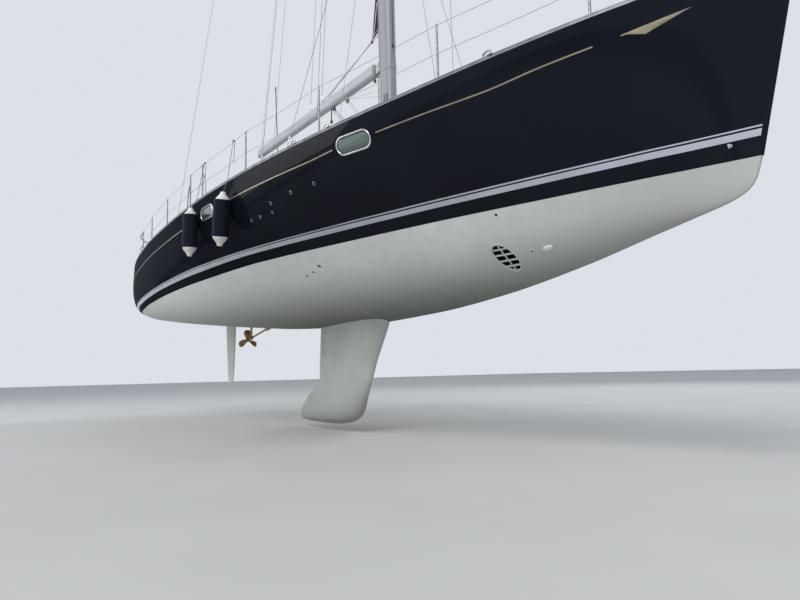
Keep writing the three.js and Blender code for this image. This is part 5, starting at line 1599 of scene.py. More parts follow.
def makeCompanionway():
    # ribbed sliding lid on two rails, a pane that closes the opening below it, and two steps down inside
    z, (aft, fore) = slide["z"], slide["x"]
    middle, half = (aft + fore) / 2, (fore - aft) / 2
    top = plate((middle, 0), (half, slide["half"]), 0.045,
                [(0.004, z + 0.0006), (0, z + 0.004), (0, z + 0.018), (0.003, z + 0.026), (0.010, z + 0.031),
                 (0.020, z + 0.032)], 9)
    ribs = [moved(plate((0, 0), (half - 0.06, 0.010), 0.0095, softRows(z + 0.031, z + 0.0365, top=0.003)),
                  (middle, y, 0))
            for y in (-0.30, -0.20, -0.10, 0.0, 0.10, 0.20, 0.30)]
    lip = moved(plate((0, 0), (0.016, 0.32), 0.014, softRows(z + 0.028, z + 0.042, top=0.005)), (aft + 0.028, 0, 0))
    addPiece("sliding_hatch", merged(top, *ribs, lip), lidGelcoat, "companionway_hatch",
             ["companionway_hatch"], outward=False)
    rail = plate((-1.83, 0.3675), (0.78, 0.0175), 0.006, softRows(z - 0.038, z - 0.0002, top=0.003))
    addPiece("slide_rails", bothSides(rail), alloy, "boat")
    x, low, high = washboard["x"], washboard["foot"], z - 0.006
    board = plate((0, 0), (washboard["half"], (high - low) / 2), 0.012, softRows(0.0, 0.0214, 0.002, 0.002))
    addPiece("washboard_pane", upright(board, (x, 0, (high + low) / 2)), smoked, "boat", ["washboard"],
             sharp=30, outward=False)
    slot = plate((0, 0), (0.10, 0.006), 0.0055, softRows(-0.0022, 0.002, foot=0.0015))
    vents = [upright(slot, (x, 0, z - 0.09 - 0.026 * k)) for k in range(4)]
    seam = upright(plate((0, 0), (0.344, 0.002), 0.0015, softRows(-0.0012, 0.001)), (x, 0, 1.12))
    addPiece("washboard_vents", merged(*vents, seam), blackPlastic, "boat")
    trims = [moved(plate((0, 0), (0.014, 0.010), 0.004, softRows(0.655, z - 0.012, top=0.002)), (-2.634, y, 0))
             for y in (-0.357, 0.357)]
    knob = lathe([(0.0, 0.016), (-0.012, 0.014), (-0.02, 0.019), (-0.032, 0.018), (-0.036, 0.010)], (x, 0, z - 0.24),
                 (1, 0, 0), 28)
    addPiece("companionway_trim", merged(*trims, knob), steel, "boat")
    steps = [plate((-2.12, 0), (0.12, 0.25), 0.03, softRows(h, h + 0.028, foot=0.006, top=0.006)) for h in (0.93, 1.16)]
    sides = [plate((-2.12, y), (0.10, 0.012), 0.008, softRows(0.702, 1.17, top=0.004)) for y in (-0.262, 0.262)]
    addPiece("companionway_steps", merged(*steps, *sides), seatTeak, "boat", outward=False)


makeHatches()
makeLids()
makeCompanionway()
print("hatches and lids done")


# Winches and cleats
def winchShape(base, radius):
    # drum with a waist, grip ribs round it, and self-tailing jaws on top; heights in drum radii
    rows = [(-0.08, 1.12), (0.0, 1.12), (0.06, 1.10), (0.10, 1.02), (0.34, 1.00), (0.38, 0.96), (0.42, 0.80),
            (0.52, 0.73), (0.80, 0.705), (1.15, 0.71), (1.42, 0.76), (1.50, 0.90), (1.54, 0.99), (1.60, 1.02),
            (1.66, 0.99), (1.69, 0.90), (1.71, 0.62), (1.76, 0.62), (1.78, 0.90), (1.81, 0.99), (1.87, 1.01),
            (1.92, 0.97), (1.95, 0.80), (1.98, 0.50), (2.05, 0.46), (2.08, 0.40), (2.08, 0.16), (1.95, 0.14)]
    points, faces, uvs = lathe([(h * radius, r * radius) for h, r in rows], base, sides=96)
    local = points - np.asarray(base, float)
    angle = np.arctan2(local[:, 1], local[:, 0])
    height = local[:, 2] / radius
    grip = np.where((height > 0.45) & (height < 1.45), 1 + 0.014 * np.sign(np.cos(angle * 24)), 1)
    local[:, :2] *= grip[:, None]
    return local + np.asarray(base, float), faces, uvs


def makeWinches():
    # a drum, a self-tailing arm and, over the handle socket, a near-black disc painted as the shade inside it, at each
    # place
    chrome = metal("winch chrome", (0.70, 0.71, 0.72), (0.58, 0.59, 0.60), (0.10, 0.2), (60, 60, 400))
    for where, side in beams:
        for name, base, radius in (("primary_winch", (-4.9, side * 1.365, 1.440), 0.078),
                                   ("cabin_winch", (-2.25, side * 0.70, float(roofTopAt(-2.25, 0.0)) - 0.012), 0.062)):
            addPiece(f"{name}_drum_{where}", winchShape(base, radius), chrome, "boat", [f"{name}_{where}"],
                     sharp=32, outward=False)
            arm = plate((0, 0), (0.5 * radius, 0.12 * radius), 0.1 * radius,
                        softRows(1.93 * radius, 2.0 * radius, top=0.002))
            # the thin near-black disc over the socket's mouth is painted shade
            socket = lathe([(2.078 * radius, 0.15 * radius), (2.086 * radius, 0.14 * radius)], base, sides=8)
            addPiece(f"{name}_top_{where}", merged(moved(arm, np.array(base) + [0.55 * radius, 0, 0]), socket),
                     blackPlastic, "boat")


def cleatShape(x, side):
    # two horns on a pair of feet: a bar whose thickness swells to the middle and whose ends lift
    y = side * (float(sheerBreadth(alongSheer(x))) - 0.120)
    z = float(deckTop(x, abs(y)))
    s = np.linspace(-1, 1, 33)
    path = np.stack([x + 0.13 * s, np.full(33, y), z + 0.043 + 0.007 * s ** 2], -1)
    scale = np.where(np.abs(s) > 0.97, 0.45, 0.62 + 0.38 * (1 - s ** 2) ** 0.7)
    bar = sweep(path, circle(0.0135, 16), (0, 1, 0), scale=scale)
    feet = [lathe([(-0.004, 0.024), (0.004, 0.023), (0.010, 0.015), (0.030, 0.012), (0.044, 0.013)], (x + dx, y, z),
                  sides=24)
            for dx in (-0.038, 0.038)]
    base = plate((x, y), (0.062, 0.022), 0.02, softRows(z - 0.004, z + 0.007, top=0.003))
    return merged(bar, *feet, base)


def makeCleats():
    # the same cleat at bow and stern, both sides
    for where, side in beams:
        for name, x in (("bow_cleat", 5.350), ("stern_cleat", -6.250)):
            addPiece(f"{name}_horns_{where}", cleatShape(x, side), steel, "boat", [f"{name}_{where}"])


# Steering: pedestals with compass, guard hoop and levers, and the two wheels
steering = {
    "x": -5.660, "y": 0.760, "z": 1.460, "radius": 0.430, "tube": 0.0140, "spokes": 5,
    # height, fore edge, aft edge, half width
    "pedestal": [(0.6203, -5.290, -5.560, 0.140), (0.90, -5.325, -5.560, 0.121), (1.30, -5.360, -5.558, 0.105),
                 (1.46, -5.348, -5.559, 0.112), (1.60, -5.332, -5.558, 0.125), (1.65, -5.350, -5.540, 0.120),
                 (1.68, -5.382, -5.502, 0.110)],
    # port half of the hoop: length, breadth from the pedestal's middle, height
    "hoop": [(-5.262, 0.150, 0.632), (-5.262, 0.150, 1.20), (-5.262, 0.150, 1.62), (-5.285, 0.115, 1.775),
             (-5.290, 0, 1.790)],
}


def makePedestals():
    # rounded rectangles up a smooth outline, a hoop ahead of it, and compass, instruments and throttle on top
    rows = np.array(steering["pedestal"])
    heights = np.concatenate([np.linspace(0.6203, 1.60, 26), np.linspace(1.61, 1.68, 10)])
    fore, aft, half = (monotone(rows[:, 0], rows[:, k])(heights) for k in (1, 2, 3))
    hoopPoints = steering["hoop"] + [(x, -dy, z) for x, dy, z in steering["hoop"][-2::-1]]
    for where, side in beams:
        y = side * steering["y"]
        rings = [np.c_[roundedRing(((a + b) / 2, y), ((a - b) / 2, w), 0.035), np.full(24, z)]
                 for z, a, b, w in zip(heights, fore, aft, half)]
        foot = plate((-5.425, y), (0.150, 0.155), 0.045, softRows(0.6205, 0.632, top=0.005))
        addPiece(f"pedestal_{where}", merged(loft(rings), foot), gelcoat, "boat",
                 [f"wheel_pedestal_{where}"])
        hoop = tube([(x, y + dy, z) for x, dy, z in hoopPoints], 0.0125, 14, 64, up=(1, 0, 0))
        feet = [lathe([(0, 0.028), (0.005, 0.027), (0.009, 0.015), (0.02, 0.0135)], (-5.262, y + dy, 0.6265), sides=24)
                for dy in (-0.15, 0.15)]
        addPiece(f"pedestal_hoop_{where}", merged(hoop, *feet), steel, "boat")
        bowl = lathe([(1.668, 0.072), (1.70, 0.070), (1.712, 0.064), (1.716, 0.058), (1.735, 0.053), (1.752, 0.040),
                      (1.762, 0.022), (1.765, 0.004)],
                     (-5.440, y, 0), sides=40)
        addPiece(f"compass_{where}", bowl, smoked, "boat")
        ring = lathe([(1.708, 0.073), (1.714, 0.072), (1.719, 0.062), (1.714, 0.060), (1.708, 0.073)], (-5.440, y, 0),
                     sides=40)
        panels = []
        for dy in (-0.052, 0.052):
            face = plate((0, 0), (0.043, 0.036), 0.008, softRows(0.0, 0.010, top=0.003))
            turned = face[0] @ np.array([[0, 1, 0], [0.12, 0, -0.993], [-0.993, 0, -0.12]])
            panels.append((turned + [-5.556, y + dy, 1.612], face[1], face[2]))
        addPiece(f"instruments_{where}", merged(ring, *panels), blackPlastic, "boat")
    # throttle on the starboard pedestal
    y = -steering["y"] - 0.118
    lever = tube([(-5.45, y - 0.012, 1.42), (-5.45, y - 0.030, 1.44), (-5.43, y - 0.036, 1.54),
                  (-5.42, y - 0.036, 1.60)], 0.007, 12, 20,
                 up=(1, 0, 0))
    boss = lathe([(0.0, 0.040), (0.010, 0.038), (0.016, 0.026), (0.026, 0.020)], (-5.45, y + 0.014, 1.42), (0, -1, 0),
                 32)
    grip = lathe([(0, 0.010), (0.006, 0.016), (0.03, 0.017), (0.044, 0.012), (0.048, 0.004)], (-5.42, y - 0.036, 1.585),
                 sides=24)
    addPiece("throttle", merged(lever, boss, grip), steel, "boat")


def makeWheels():
    # leather rim with a stitched seam, five spokes that lean towards the hub, and the hub on its axle
    leather = painted("wheel leather", (0.030, 0.031, 0.034), (0.050, 0.051, 0.055), (0.5, 0.62), 30.0, 260.0, 0.25)
    radius, bar = steering["radius"], steering["tube"]
    for where, side in beams:
        centre = np.array([steering["x"], side * steering["y"], steering["z"]])
        a = np.linspace(0, tau, 97)[:-1]
        ring = np.stack([0 * a, np.cos(a), np.sin(a)], -1)
        rim = sweep(centre + radius * ring, circle(bar, 16), (1, 0, 0), closed=True)
        seam = sweep(centre + (radius - bar) * ring, circle(0.0012, 6), (1, 0, 0), closed=True)
        addPiece(f"wheel_rim_{where}", merged(rim, seam), leather, f"wheel_{where}",
                 [f"steering_wheel_{where}"])
        parts = []
        for k in range(steering["spokes"]):
            turn = math.pi / 2 + tau * k / steering["spokes"]
            out = np.array([0, math.cos(turn), math.sin(turn)])
            s = np.linspace(0.028, radius - 0.010, 24)
            bend = 0.012 * (1 - s / radius)
            path = centre + s[:, None] * out - bend[:, None] * [1, 0, 0]
            parts.append(sweep(path, circle(0.0085, 12), (1, 0, 0), scale=np.linspace(1.15, 0.72, 24)))
            ferrule = centre + out * (radius - 0.046)
            parts.append(lathe([(0, 0.0072), (0.004, 0.011), (0.026, 0.0125), (0.034, 0.015)], ferrule, out, 20))
        hub = lathe([(0.0006, 0.026), (0.0006, 0.033), (0.012, 0.036), (0.05, 0.034), (0.062, 0.040), (0.112, 0.041),
                     (0.120, 0.036), (0.124, 0.022), (0.134, 0.020), (0.138, 0.010)], (-5.560, centre[1], centre[2]),
                    (-1, 0, 0), 40)
        addPiece(f"wheel_spokes_{where}", merged(*parts, hub), steel, f"wheel_{where}")


makeWinches()
makeCleats()
makePedestals()
makeWheels()
print("deck gear done")


# Rig: mast with its slots, spreaders and masthead, boom with its blocks, vang and lines
rig = {
    "x": 1.530, "half": (0.150, 0.095), "power": 0.8, "foot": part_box("mast")[0][2], "top": 20.600,
    "spreaders": ((7.40, 1.257, 0.148), (13.70, 1.040, 0.125)), "swing": 1.300, "boomZ": 3.050, "boomRise": 0.043,
    "boom": (1.190, -3.700), "boomHalf": (0.070, 0.100), "tack": (6.720, 0.0, 1.6036), "stayTop": (1.6893, 0.0, 20.250),
    "crane": (1.150, 1.720, 20.540, 20.630), "aftChain": (0.896, 1.691), "foreChain": (1.870, 1.743),
    "innerFoot": (1.689, 0.957), "backstayFoot": (-6.650, 1.150), "hinges": (2.932, 1.840),
}
mastAft = rig["x"] - rig["half"][0]


def superRing(a, halfX, halfY, power):
    # |cos|^power and |sin|^power with their signs: an ellipse whose corners fill as the power falls
    c, s = np.cos(a), np.sin(a)
    return np.stack([halfX * np.sign(c) * np.abs(c) ** power, halfY * np.sign(s) * np.abs(s) ** power], -1)


def mastRing(z, grow=0.0):
    ring = superRing(turns(40), rig["half"][0] + grow, rig["half"][1] + grow, rig["power"])
    return np.c_[ring[:, 0] + rig["x"], ring[:, 1], np.full(40, z)]


def mastFace(x, z, out):
    # point of the mast's port side at that x, pushed out by a distance
    c = np.clip(abs(x - rig["x"]) / rig["half"][0], 0, 1) ** (1 / rig["power"])
    return np.array([x, rig["half"][1] * (1 - c * c) ** (rig["power"] / 2) + out, z])


def collar(low, high, grow):
    # band round the mast with softened edges
    rows = ((low, 0.0), (low + 0.0012, grow * 0.7), (low + 0.004, grow), (high - 0.004, grow),
            (high - 0.0012, grow * 0.7), (high, 0.0))
    return loft([mastRing(z, g) for z, g in rows])


def boomZ(x):
    # height of the boom's middle, which rises aft
    return rig["boomZ"] + (rig["swing"] - x) * rig["boomRise"]


def boomRing(x, scale):
    ring = superRing(turns(36), rig["boomHalf"][0] * scale, rig["boomHalf"][1] * scale, 0.7)
    return np.c_[np.full(36, x), ring[:, 0], ring[:, 1] + boomZ(x)]


def pulley(centre, radius, width, hang=(0, 0, 1)):
    # two round cheeks on an axle with a waist for the rope, and a strap towards what it hangs from
    centre, hang = np.asarray(centre, float), unit(hang)
    axle = unit(np.cross(hang, (1, 0, 0)) if abs(hang[0]) < 0.9 else (0, 1, 0))
    rows = [(-1, 0.62), (-0.85, 0.92), (-0.45, 1.0), (-0.3, 0.82), (0.3, 0.82), (0.45, 1.0), (0.85, 0.92), (1, 0.62)]
    cheeks = lathe([(h * width, r * radius) for h, r in rows], centre, axle, 20)
    strap = tube([centre - hang * radius * 0.5, centre + hang * radius * 1.9], width * 0.55, 8, 4)
    return merged(cheeks, strap)


def screw(foot, head, length, radius):
    # rigging screw: fork, threaded stud, barrel with flats, stud and swage
    rows = ((0, 0.45), (0.02, 0.9), (0.10, 0.95), (0.12, 0.42), (0.24, 0.42), (0.25, 0.85), (0.27, 1.0), (0.72, 1.0),
            (0.74, 0.85), (0.75, 0.42), (0.86, 0.42), (0.88, 0.7), (0.985, 0.66), (1.0, 0.45))
    return tiltedLathe([(h * length, r * radius) for h, r in rows], foot, head, 14)


def makeMast():
    # one section up to its top, less the slots for sail and forestay, with near-black pieces in the slots and exits
    # painted as the shade inside them, bands, brackets and masthead
    foot, top, x = rig["foot"] + 0.046, rig["top"], rig["x"]
    mast = addPiece("mast_section",
                    loft([mastRing(z) for z in (foot, 2.4, 3.2, 7.0, 11.0, 15.0, 19.0, top - 0.004)]
                         + [mastRing(top, -0.003)]), sparAlloy, "boat", ["mast"], outward=False)
    carved(mast, ("DIFFERENCE", block((mastAft - 0.02, -0.007, 3.30), (mastAft + 0.020, 0.007, 20.20))),
           ("DIFFERENCE", block((x + 0.138, -0.006, 3.22), (x + 0.17, 0.006, 19.60))))
    # near-black fillers at the floor of each slot, and dark marks at the exits: painted shade of the openings
    slots = [block((mastAft + 0.012, -0.0072, 3.30), (mastAft + 0.0198, 0.0072, 20.20)),
             block((x + 0.1382, -0.0062, 3.22), (x + 0.141, 0.0062, 19.60))]
    for at, z, radius in ((1.566, 2.470, 0.013), (1.618, 2.470, 0.013), (1.470, 2.05, 0.009)):
        for side in (1, -1):
            middle = mastFace(at, z, -radius / 2) * (1, side, 1)
            slots.append(tube([middle + [0, 0, h] for h in (-0.050, -0.02, 0.02, 0.050)], radius, 10))
    slots.append(plate((x + 0.150, 0), (0.010, 0.016), 0.006, softRows(3.165, 3.245, 0.008, 0.008)))
    addPiece("mast_slot_shades", merged(*slots), rubber, "boat")
    step = plate((x, 0), (0.228, 0.168), 0.05, softRows(rig["foot"] - 0.028, rig["foot"] + 0.0115, top=0.006))
    casting = plate((x, 0), (0.189, 0.129), 0.06, softRows(rig["foot"] + 0.0125, rig["foot"] + 0.050, top=0.012))
    addPiece("mast_step_plate", step, gearAlloy, "boat", ["mast_step"], outward=False)
    bolts = [lathe([(0, 0.011), (0.008, 0.011), (0.010, 0.009)], (x + dx, dy, rig["foot"] + 0.0115), sides=6)
             for dx in (-0.208, 0.208) for dy in (-0.12, 0.12)]
    bands = [collar(foot + 0.004, foot + 0.10, 0.003)] + [collar(z - 0.045, z + 0.065, 0.0035)
                                                          for z, _, _ in rig["spreaders"]]
    brackets = [plate((1.338, 0), (0.070, 0.030), 0.028, softRows(z - 0.0158, z - 0.0003, 0.002, 0.002))
                for z in rig["hinges"]]
    heels = [collar(z - 0.055, z + 0.035, 0.003) for z in rig["hinges"]]
    aft, fore, under, cap = rig["crane"]
    head = plate(((aft + fore) / 2, 0), ((fore - aft) / 2, 0.035), 0.03, softRows(under, cap, 0.012, 0.012))
    sheaves = [lathe([(-0.008, 0.030), (-0.004, 0.042), (0, 0.036), (0.004, 0.042), (0.008, 0.030)],
                     (at, 0.0, under + 0.012), (0, 1, 0), 28) for at in (aft + 0.09, fore - 0.055)]
    tangs = [block((x - 0.012, 0.094, low), (x + 0.012, 0.099, high))
             for low, high in ((6.80, 7.30), (13.52, 13.70), (20.34, 20.50))]
    tangs.append(block((x + 0.118, 0.050, 7.05), (x + 0.138, 0.075, 7.20)))
    addPiece("mast_bands", merged(*bands, *heels), sparAlloy, "boat")
    addPiece("mast_fittings", merged(casting, *bolts, *brackets, head, *sheaves, *[bothSides(t) for t in tangs]),
             gearAlloy, "boat")


def makeSpreaders():
    # airfoil whose chord, thickness, sweep and rise follow the distance along it
    wings, boots = [], []
    a = turns(24)
    for z, reach, sweep in rig["spreaders"]:
        t = np.linspace(0, 1, 14)
        y = 0.080 + (reach - 0.086) * t
        part = y / reach
        chord = np.interp(t, (0, 0.5, 0.97, 1), (0.090, 0.076, 0.056, 0.030))
        thick = np.interp(t, (0, 0.97, 1), (0.026, 0.018, 0.010))
        nose = np.cos(a)[None] * chord[:, None] / 2
        lens = np.sin(a)[None] * thick[:, None] / 2 * (1 - 0.35 * np.cos(a - math.pi)[None])
        points = np.stack([rig["x"] - sweep * part[:, None] + nose, np.repeat(y[:, None], 24, 1),
                           z + 0.040 * part[:, None] + lens], -1)
        wings.append(flipped(loft(points)))
        wings.append(plate((rig["x"] - 0.010, 0.110), (0.052, 0.026), 0.02,
                           softRows(z - 0.016, z + 0.022, 0.004, 0.004)))
        tip = np.array([rig["x"] - sweep, reach, z + 0.040])
        boots.append(lathe([(-0.030, 0.008), (-0.022, 0.015), (0.022, 0.015), (0.030, 0.008)], tip - [0, -0.004, 0],
                           sides=18))
    addPiece("spreader_wings", bothSides(merged(*wings)), sparAlloy, "boat")
    addPiece("spreader_boots", bothSides(merged(*boots)), rubber, "boat")


def makeShrouds():
    # wires from chainplate over the spreader tips to the mast, each with its rigging screw
    tips = [(rig["x"] - sweep, reach + 0.009, z + 0.040) for z, reach, sweep in rig["spreaders"]]
    deckAt = lambda place, lift: np.array([*place, float(deckTop(*place)) + lift])
    aft, fore = deckAt(rig["aftChain"], 0.040), deckAt(rig["foreChain"], 0.040)
    inner = np.array([*rig["innerFoot"], float(roofTopAt(*rig["innerFoot"])) + 0.030])
    onMast = lambda z, x=rig["x"], y=0.102: np.array([x, y, z])
    runs = [(aft, tips[0]), (tips[0], tips[1]), (tips[1], onMast(20.45)), (fore, onMast(6.82)),
            (tips[0], onMast(13.61)), (inner, onMast(7.15, 1.660, 0.078))]
    strands = [tube([a, b], 0.0042 if n else 0.0055, 10, 14) for n, (a, b) in enumerate(runs)]
    swages = [tiltedLathe([(0, 0.006), (0.004, 0.009), (0.09, 0.008), (0.11, 0.0055)], b, a, 12)
              for a, b in runs[2:]]
    fittings = [screw(a, b, 0.34, 0.0135) for a, b in (runs[0], runs[3], runs[5])] + swages
    for x, y, z in (aft, fore):
        fittings.append(plate((x, y - 0.009), (0.048, 0.030), 0.012, softRows(z - 0.044, z - 0.030, 0, 0.003)))
    for x, y, z in (aft, fore, inner):
        fittings.append(plate((x, y), (0.017, 0.006), 0.004, softRows(z - 0.044, z + 0.013, 0, 0.003)))
        fittings.append(lathe([(-0.013, 0.006), (0.013, 0.006)], (x, y, z), (0, 1, 0), 14))
    x, y, z = inner
    fittings.append(plate((x, y), (0.045, 0.024), 0.012, softRows(z - 0.040, z - 0.026, 0, 0.003)))
    for where, side in beams:
        addPiece(f"shroud_wires_{where}", onBeam(merged(*strands), side), wire, "boat", [f"shrouds_{where}"])
        addPiece(f"shroud_screws_{where}", onBeam(merged(*fittings), side), steel, "boat")


def makeBackstay():
    # straight wires from both quarters to one link at the masthead
    x, y = rig["backstayFoot"]
    foot = np.array([x, y, float(deckTop(x, y)) + 0.030])
    top = np.array([1.180, 0.022, rig["crane"][2] - 0.022])
    addPiece("backstay_wires", bothSides(tube([foot, top], 0.0042, 10, 20)), wire, "boat", ["backstay"])
    plates = plate((x + 0.010, y), (0.048, 0.012), 0.010, softRows(foot[2] - 0.040, foot[2] - 0.030, 0, 0.002))
    eye = plate((x, y), (0.016, 0.005), 0.004, softRows(foot[2] - 0.034, foot[2] + 0.012, 0, 0.002))
    toggles = merged(screw(foot, top, 0.34, 0.0135), plates, eye,
                     tiltedLathe([(0, 0.006), (0.09, 0.008), (0.11, 0.005)], top, foot, 12))
    link = plate((1.180, 0), (0.022, 0.036), 0.010, softRows(top[2] - 0.012, rig["crane"][2] - 0.0006, 0.003, 0))
    addPiece("backstay_screws", merged(bothSides(toggles), link), steel, "boat")


def makeHeadsail():
    # rolled cloth: the radius follows the stay and climbs by one layer once round, on a slow helix
    tack, top = np.array(rig["tack"]), np.array(rig["stayTop"])
    along = lambda s: tack + (top - tack) * np.asarray(s)[..., None]
    s = np.concatenate([np.linspace(0.0290, 0.044, 12), np.linspace(0.047, 0.925, 300), np.linspace(0.926, 0.931, 5)])
    a = np.arange(40) / 40
    base = np.interp(s, (0.029, 0.037, 0.044, 0.60, 0.925, 0.931), (0.024, 0.042, 0.058, 0.046, 0.029, 0.015))
    turn = (a[None] + s[:, None] * 46.0) % 1.0
    radius = base[:, None] * (0.955 + 0.045 * turn + 0.012 * np.sin(tau * (2 * a[None] + 31 * s[:, None])))
    axis = unit(top - tack)
    across = unit(np.cross(axis, (0, 1, 0)))
    ring = np.cos(a * tau)[:, None] * across + np.sin(a * tau)[:, None] * [0, 1, 0]
    points = along(s)[:, None] + radius[..., None] * ring[None]
    roll = addPiece("headsail_roll", grid(points, around=True, caps=True, uvScale=(1, 19)), sailNavy, "boat",
                    ["furled_headsail"], sharp=70)
    foil = tiltedLathe([(0, 0.014), (0.95, 0.013), (1.20, 0.011)], along(0.929), top, 14)
    swivel = tiltedLathe([(0, 0.016), (0.01, 0.026), (0.06, 0.028), (0.10, 0.028), (0.11, 0.018)], along(0.936), top,
                         20)
    stay = tube([along(0.001), along(0.032)], 0.008, 10, 6)
    rows = ((0.000, 0.020), (0.006, 0.085), (0.010, 0.091), (0.014, 0.088), (0.022, 0.052), (0.125, 0.052),
            (0.134, 0.088), (0.139, 0.091), (0.143, 0.086), (0.152, 0.026), (0.38, 0.022), (0.40, 0.018))
    drum = tiltedLathe(rows, along(0.0062), top, 40)
    addPiece("furling_drum", merged(drum, swivel), blackPlastic, "boat")
    wound = np.linspace(0, 9, 9 * 24)[:, None]
    coil = along(0.0062) + axis * (0.034 + wound * 0.0088)
    coil = coil + 0.058 * (np.cos(wound * tau) * across + np.sin(wound * tau) * [0, 1, 0])
    addPiece("furling_line", sweep(coil, circle(0.004, 7), axis), lineGrey, "boat")
    addPiece("headsail_foil", merged(foil, stay, screw(along(0.0009), top, 0.10, 0.012)), gearAlloy, "boat")


def makeBoom():
    # section with a groove on each side and a slot on top, two caps, hinge, blocks, and the parts of vang and sheet
    fore, aft = rig["boom"]
    body = addPiece("boom_section", loft([boomRing(x, 0.985) for x in (fore - 0.03, 0.4, -0.8, -2.2, aft + 0.045)]),
                    boomAlloy, "boom", ["boom"], outward=False)
    for side in (1, -1):
        groove = sweep([(x, side * 0.0712, boomZ(x) + 0.018) for x in (fore, aft)], circle(0.0045, 8))
        carved(body, ("DIFFERENCE", groove))
    slot = sweep([(x, 0, boomZ(x) + 0.0995) for x in (fore - 0.04, aft + 0.05)], circle(0.006, 8))
    carved(body, ("DIFFERENCE", slot))
    caps = (((fore, 0.80), (fore - 0.004, 0.94), (fore - 0.012, 1.0), (fore - 0.060, 1.0), (fore - 0.064, 0.97)),
            ((aft + 0.075, 0.97), (aft + 0.070, 1.0), (aft + 0.016, 1.0), (aft + 0.004, 0.93), (aft, 0.80)))
    ends = [loft([boomRing(*row) for row in rows]) for rows in caps]
    lug = pitched(plate((0, 0), (0.062, 0.023), 0.02, softRows(-0.070, 0.055, 0.006, 0.006)), (1.232, 0, rig["boomZ"]),
                  0)
    pin = lathe([(0.0005, 0.018), (0.004, 0.0255), (0.020, 0.026), (0.192, 0.026), (0.204, 0.018)],
                (rig["swing"], 0, 2.9323), sides=24)
    vangPin = lathe([(0.0005, 0.018), (0.004, 0.0235), (0.072, 0.024), (0.079, 0.016)], (rig["swing"], 0, 1.8403),
                    sides=24)
    hooks = [block((x - 0.030, -0.020, boomZ(x) - 0.112), (x + 0.030, 0.020, boomZ(x) - 0.092))
             for x in (0.28, -0.20, -0.305)]
    addPiece("boom_ends", merged(*ends), boomAlloy, "boom")
    addPiece("boom_hinge", merged(lug, pin, vangPin, *hooks), gearAlloy, "boom")
    head, foot = np.array([0.280, 0, boomZ(0.28) - 0.165]), np.array([rig["swing"], 0, 1.892])
    blocks = [pulley(head, 0.036, 0.020), pulley(foot + [-0.05, 0, 0.075], 0.034, 0.020, foot - head)]
    blocks += [pulley((-0.200, 0, boomZ(-0.2) - 0.150), 0.030, 0.024),
               pulley((-0.305, 0, boomZ(-0.3) - 0.330), 0.032, 0.014),
               tube([(-0.305, 0, boomZ(-0.3) - 0.10), (-0.305, 0, boomZ(-0.3) - 0.30)], 0.010, 8, 6),
               pulley((rig["swing"], 0, 1.645), 0.034, 0.024, (-1.5, 0, 1.3))]
    blocks += [pulley((x, 0.0, boomZ(x) + 0.118), 0.022, 0.011, (0, 0, -1)) for x in (-0.60, -0.36)]
    blocks.append(pulley((rig["boom"][1] + 0.06, 0, boomZ(-3.64) + 0.118), 0.020, 0.010, (0, 0, -1)))
    blocks.append(pulley((1.155, 0, 2.905), 0.026, 0.014))
    addPiece("boom_blocks", merged(*blocks), blackPlastic, "boom")
    falls = [tube([head + [0.01, y, dz], foot + [-0.06, y, 0.09 + dz]], 0.0045, 8, 8)
             for y, dz in ((0.014, 0.012), (-0.014, 0.012), (0.014, -0.016), (-0.014, -0.016))]
    falls += [tube([head + [0.03, -0.014, 0.02], (rig["swing"], -0.010, z)], 0.0045, 8, 8) for z in (2.700, 2.610)]
    addPiece("vang_falls", merged(*falls), lineWhite, "boom")
    sheetHead, sheetFoot = np.array([-0.200, 0, boomZ(-0.2) - 0.165]), np.array([rig["swing"] - 0.04, 0, 1.672])
    sheets = [tube([sheetHead + [0.02 * k, y, 0], sheetFoot + [0.02 * k, y, -0.012 * k]], 0.0048, 8, 8)
              for k, y in ((1, 0.020), (-1, 0.020), (1, -0.020), (-1, -0.020))]
    addPiece("sheet_falls", merged(*sheets), lineGrey, "boom")


def makeClew():
    # cloth between the mast's slot and a leech line, with a slow belly; the clew's ring sits in its corner
    v, u = np.linspace(0, 1, 60), np.linspace(0, 1, 16)
    luff = np.stack([np.full(60, mastAft - 0.0006), 3.642 + 1.755 * v], -1)
    leech = np.stack([np.interp(v, (0, 0.05, 0.60, 1), (1.0905, 1.1100, 1.3190, 1.3700)),
                      np.interp(v, (0, 0.05, 0.60, 1), (3.572, 3.662, 4.700, 5.397))], -1)
    flat = luff[:, None] + (leech - luff)[:, None] * u[None, :, None]
    belly = 0.0026 * np.sin(u * math.pi)[None] * np.sin(v * 9.0 + 0.6)[:, None]
    faces = [np.stack([flat[..., 0], belly + dy, flat[..., 1]], -1) for dy in (-0.0011, 0.0011)]
    cloth = addPiece("clew_cloth", merged(grid(faces[0]), flipped(grid(faces[1]))), sailNavy, "boat",
                     ["mainsail_clew"], sharp=70)
    strips = [(0.0032, 0.011, [(1.336, 0, 3.668), (1.130, 0, 3.612), (1.104, 0, 3.60)]),
              (0.010, 0.0034, [(1.128, 0, 3.604), (1.192, 0, 3.800), (1.262, 0, 4.10)])]
    straps = [sweep(line, [(-a, -b), (a, -b), (a, b), (-a, b)], (0, 1, 0)) for a, b, line in strips]
    addPiece("clew_webbing", merged(*straps), webbing, "boat")
    ring = sweep([(1.1185 + 0.016 * math.cos(t), 0, 3.608 + 0.016 * math.sin(t)) for t in turns(20)],
                 circle(0.0035, 8), (0, 1, 0), True)
    addPiece("clew_ring", merged(ring, block((1.098, -0.004, 3.585), (1.110, 0.004, 3.60))), steel, "boat")
    addPiece("clew_block", pulley((1.092, 0, 3.548), 0.024, 0.012, (0.5, 0, 1)), blackPlastic, "boat")


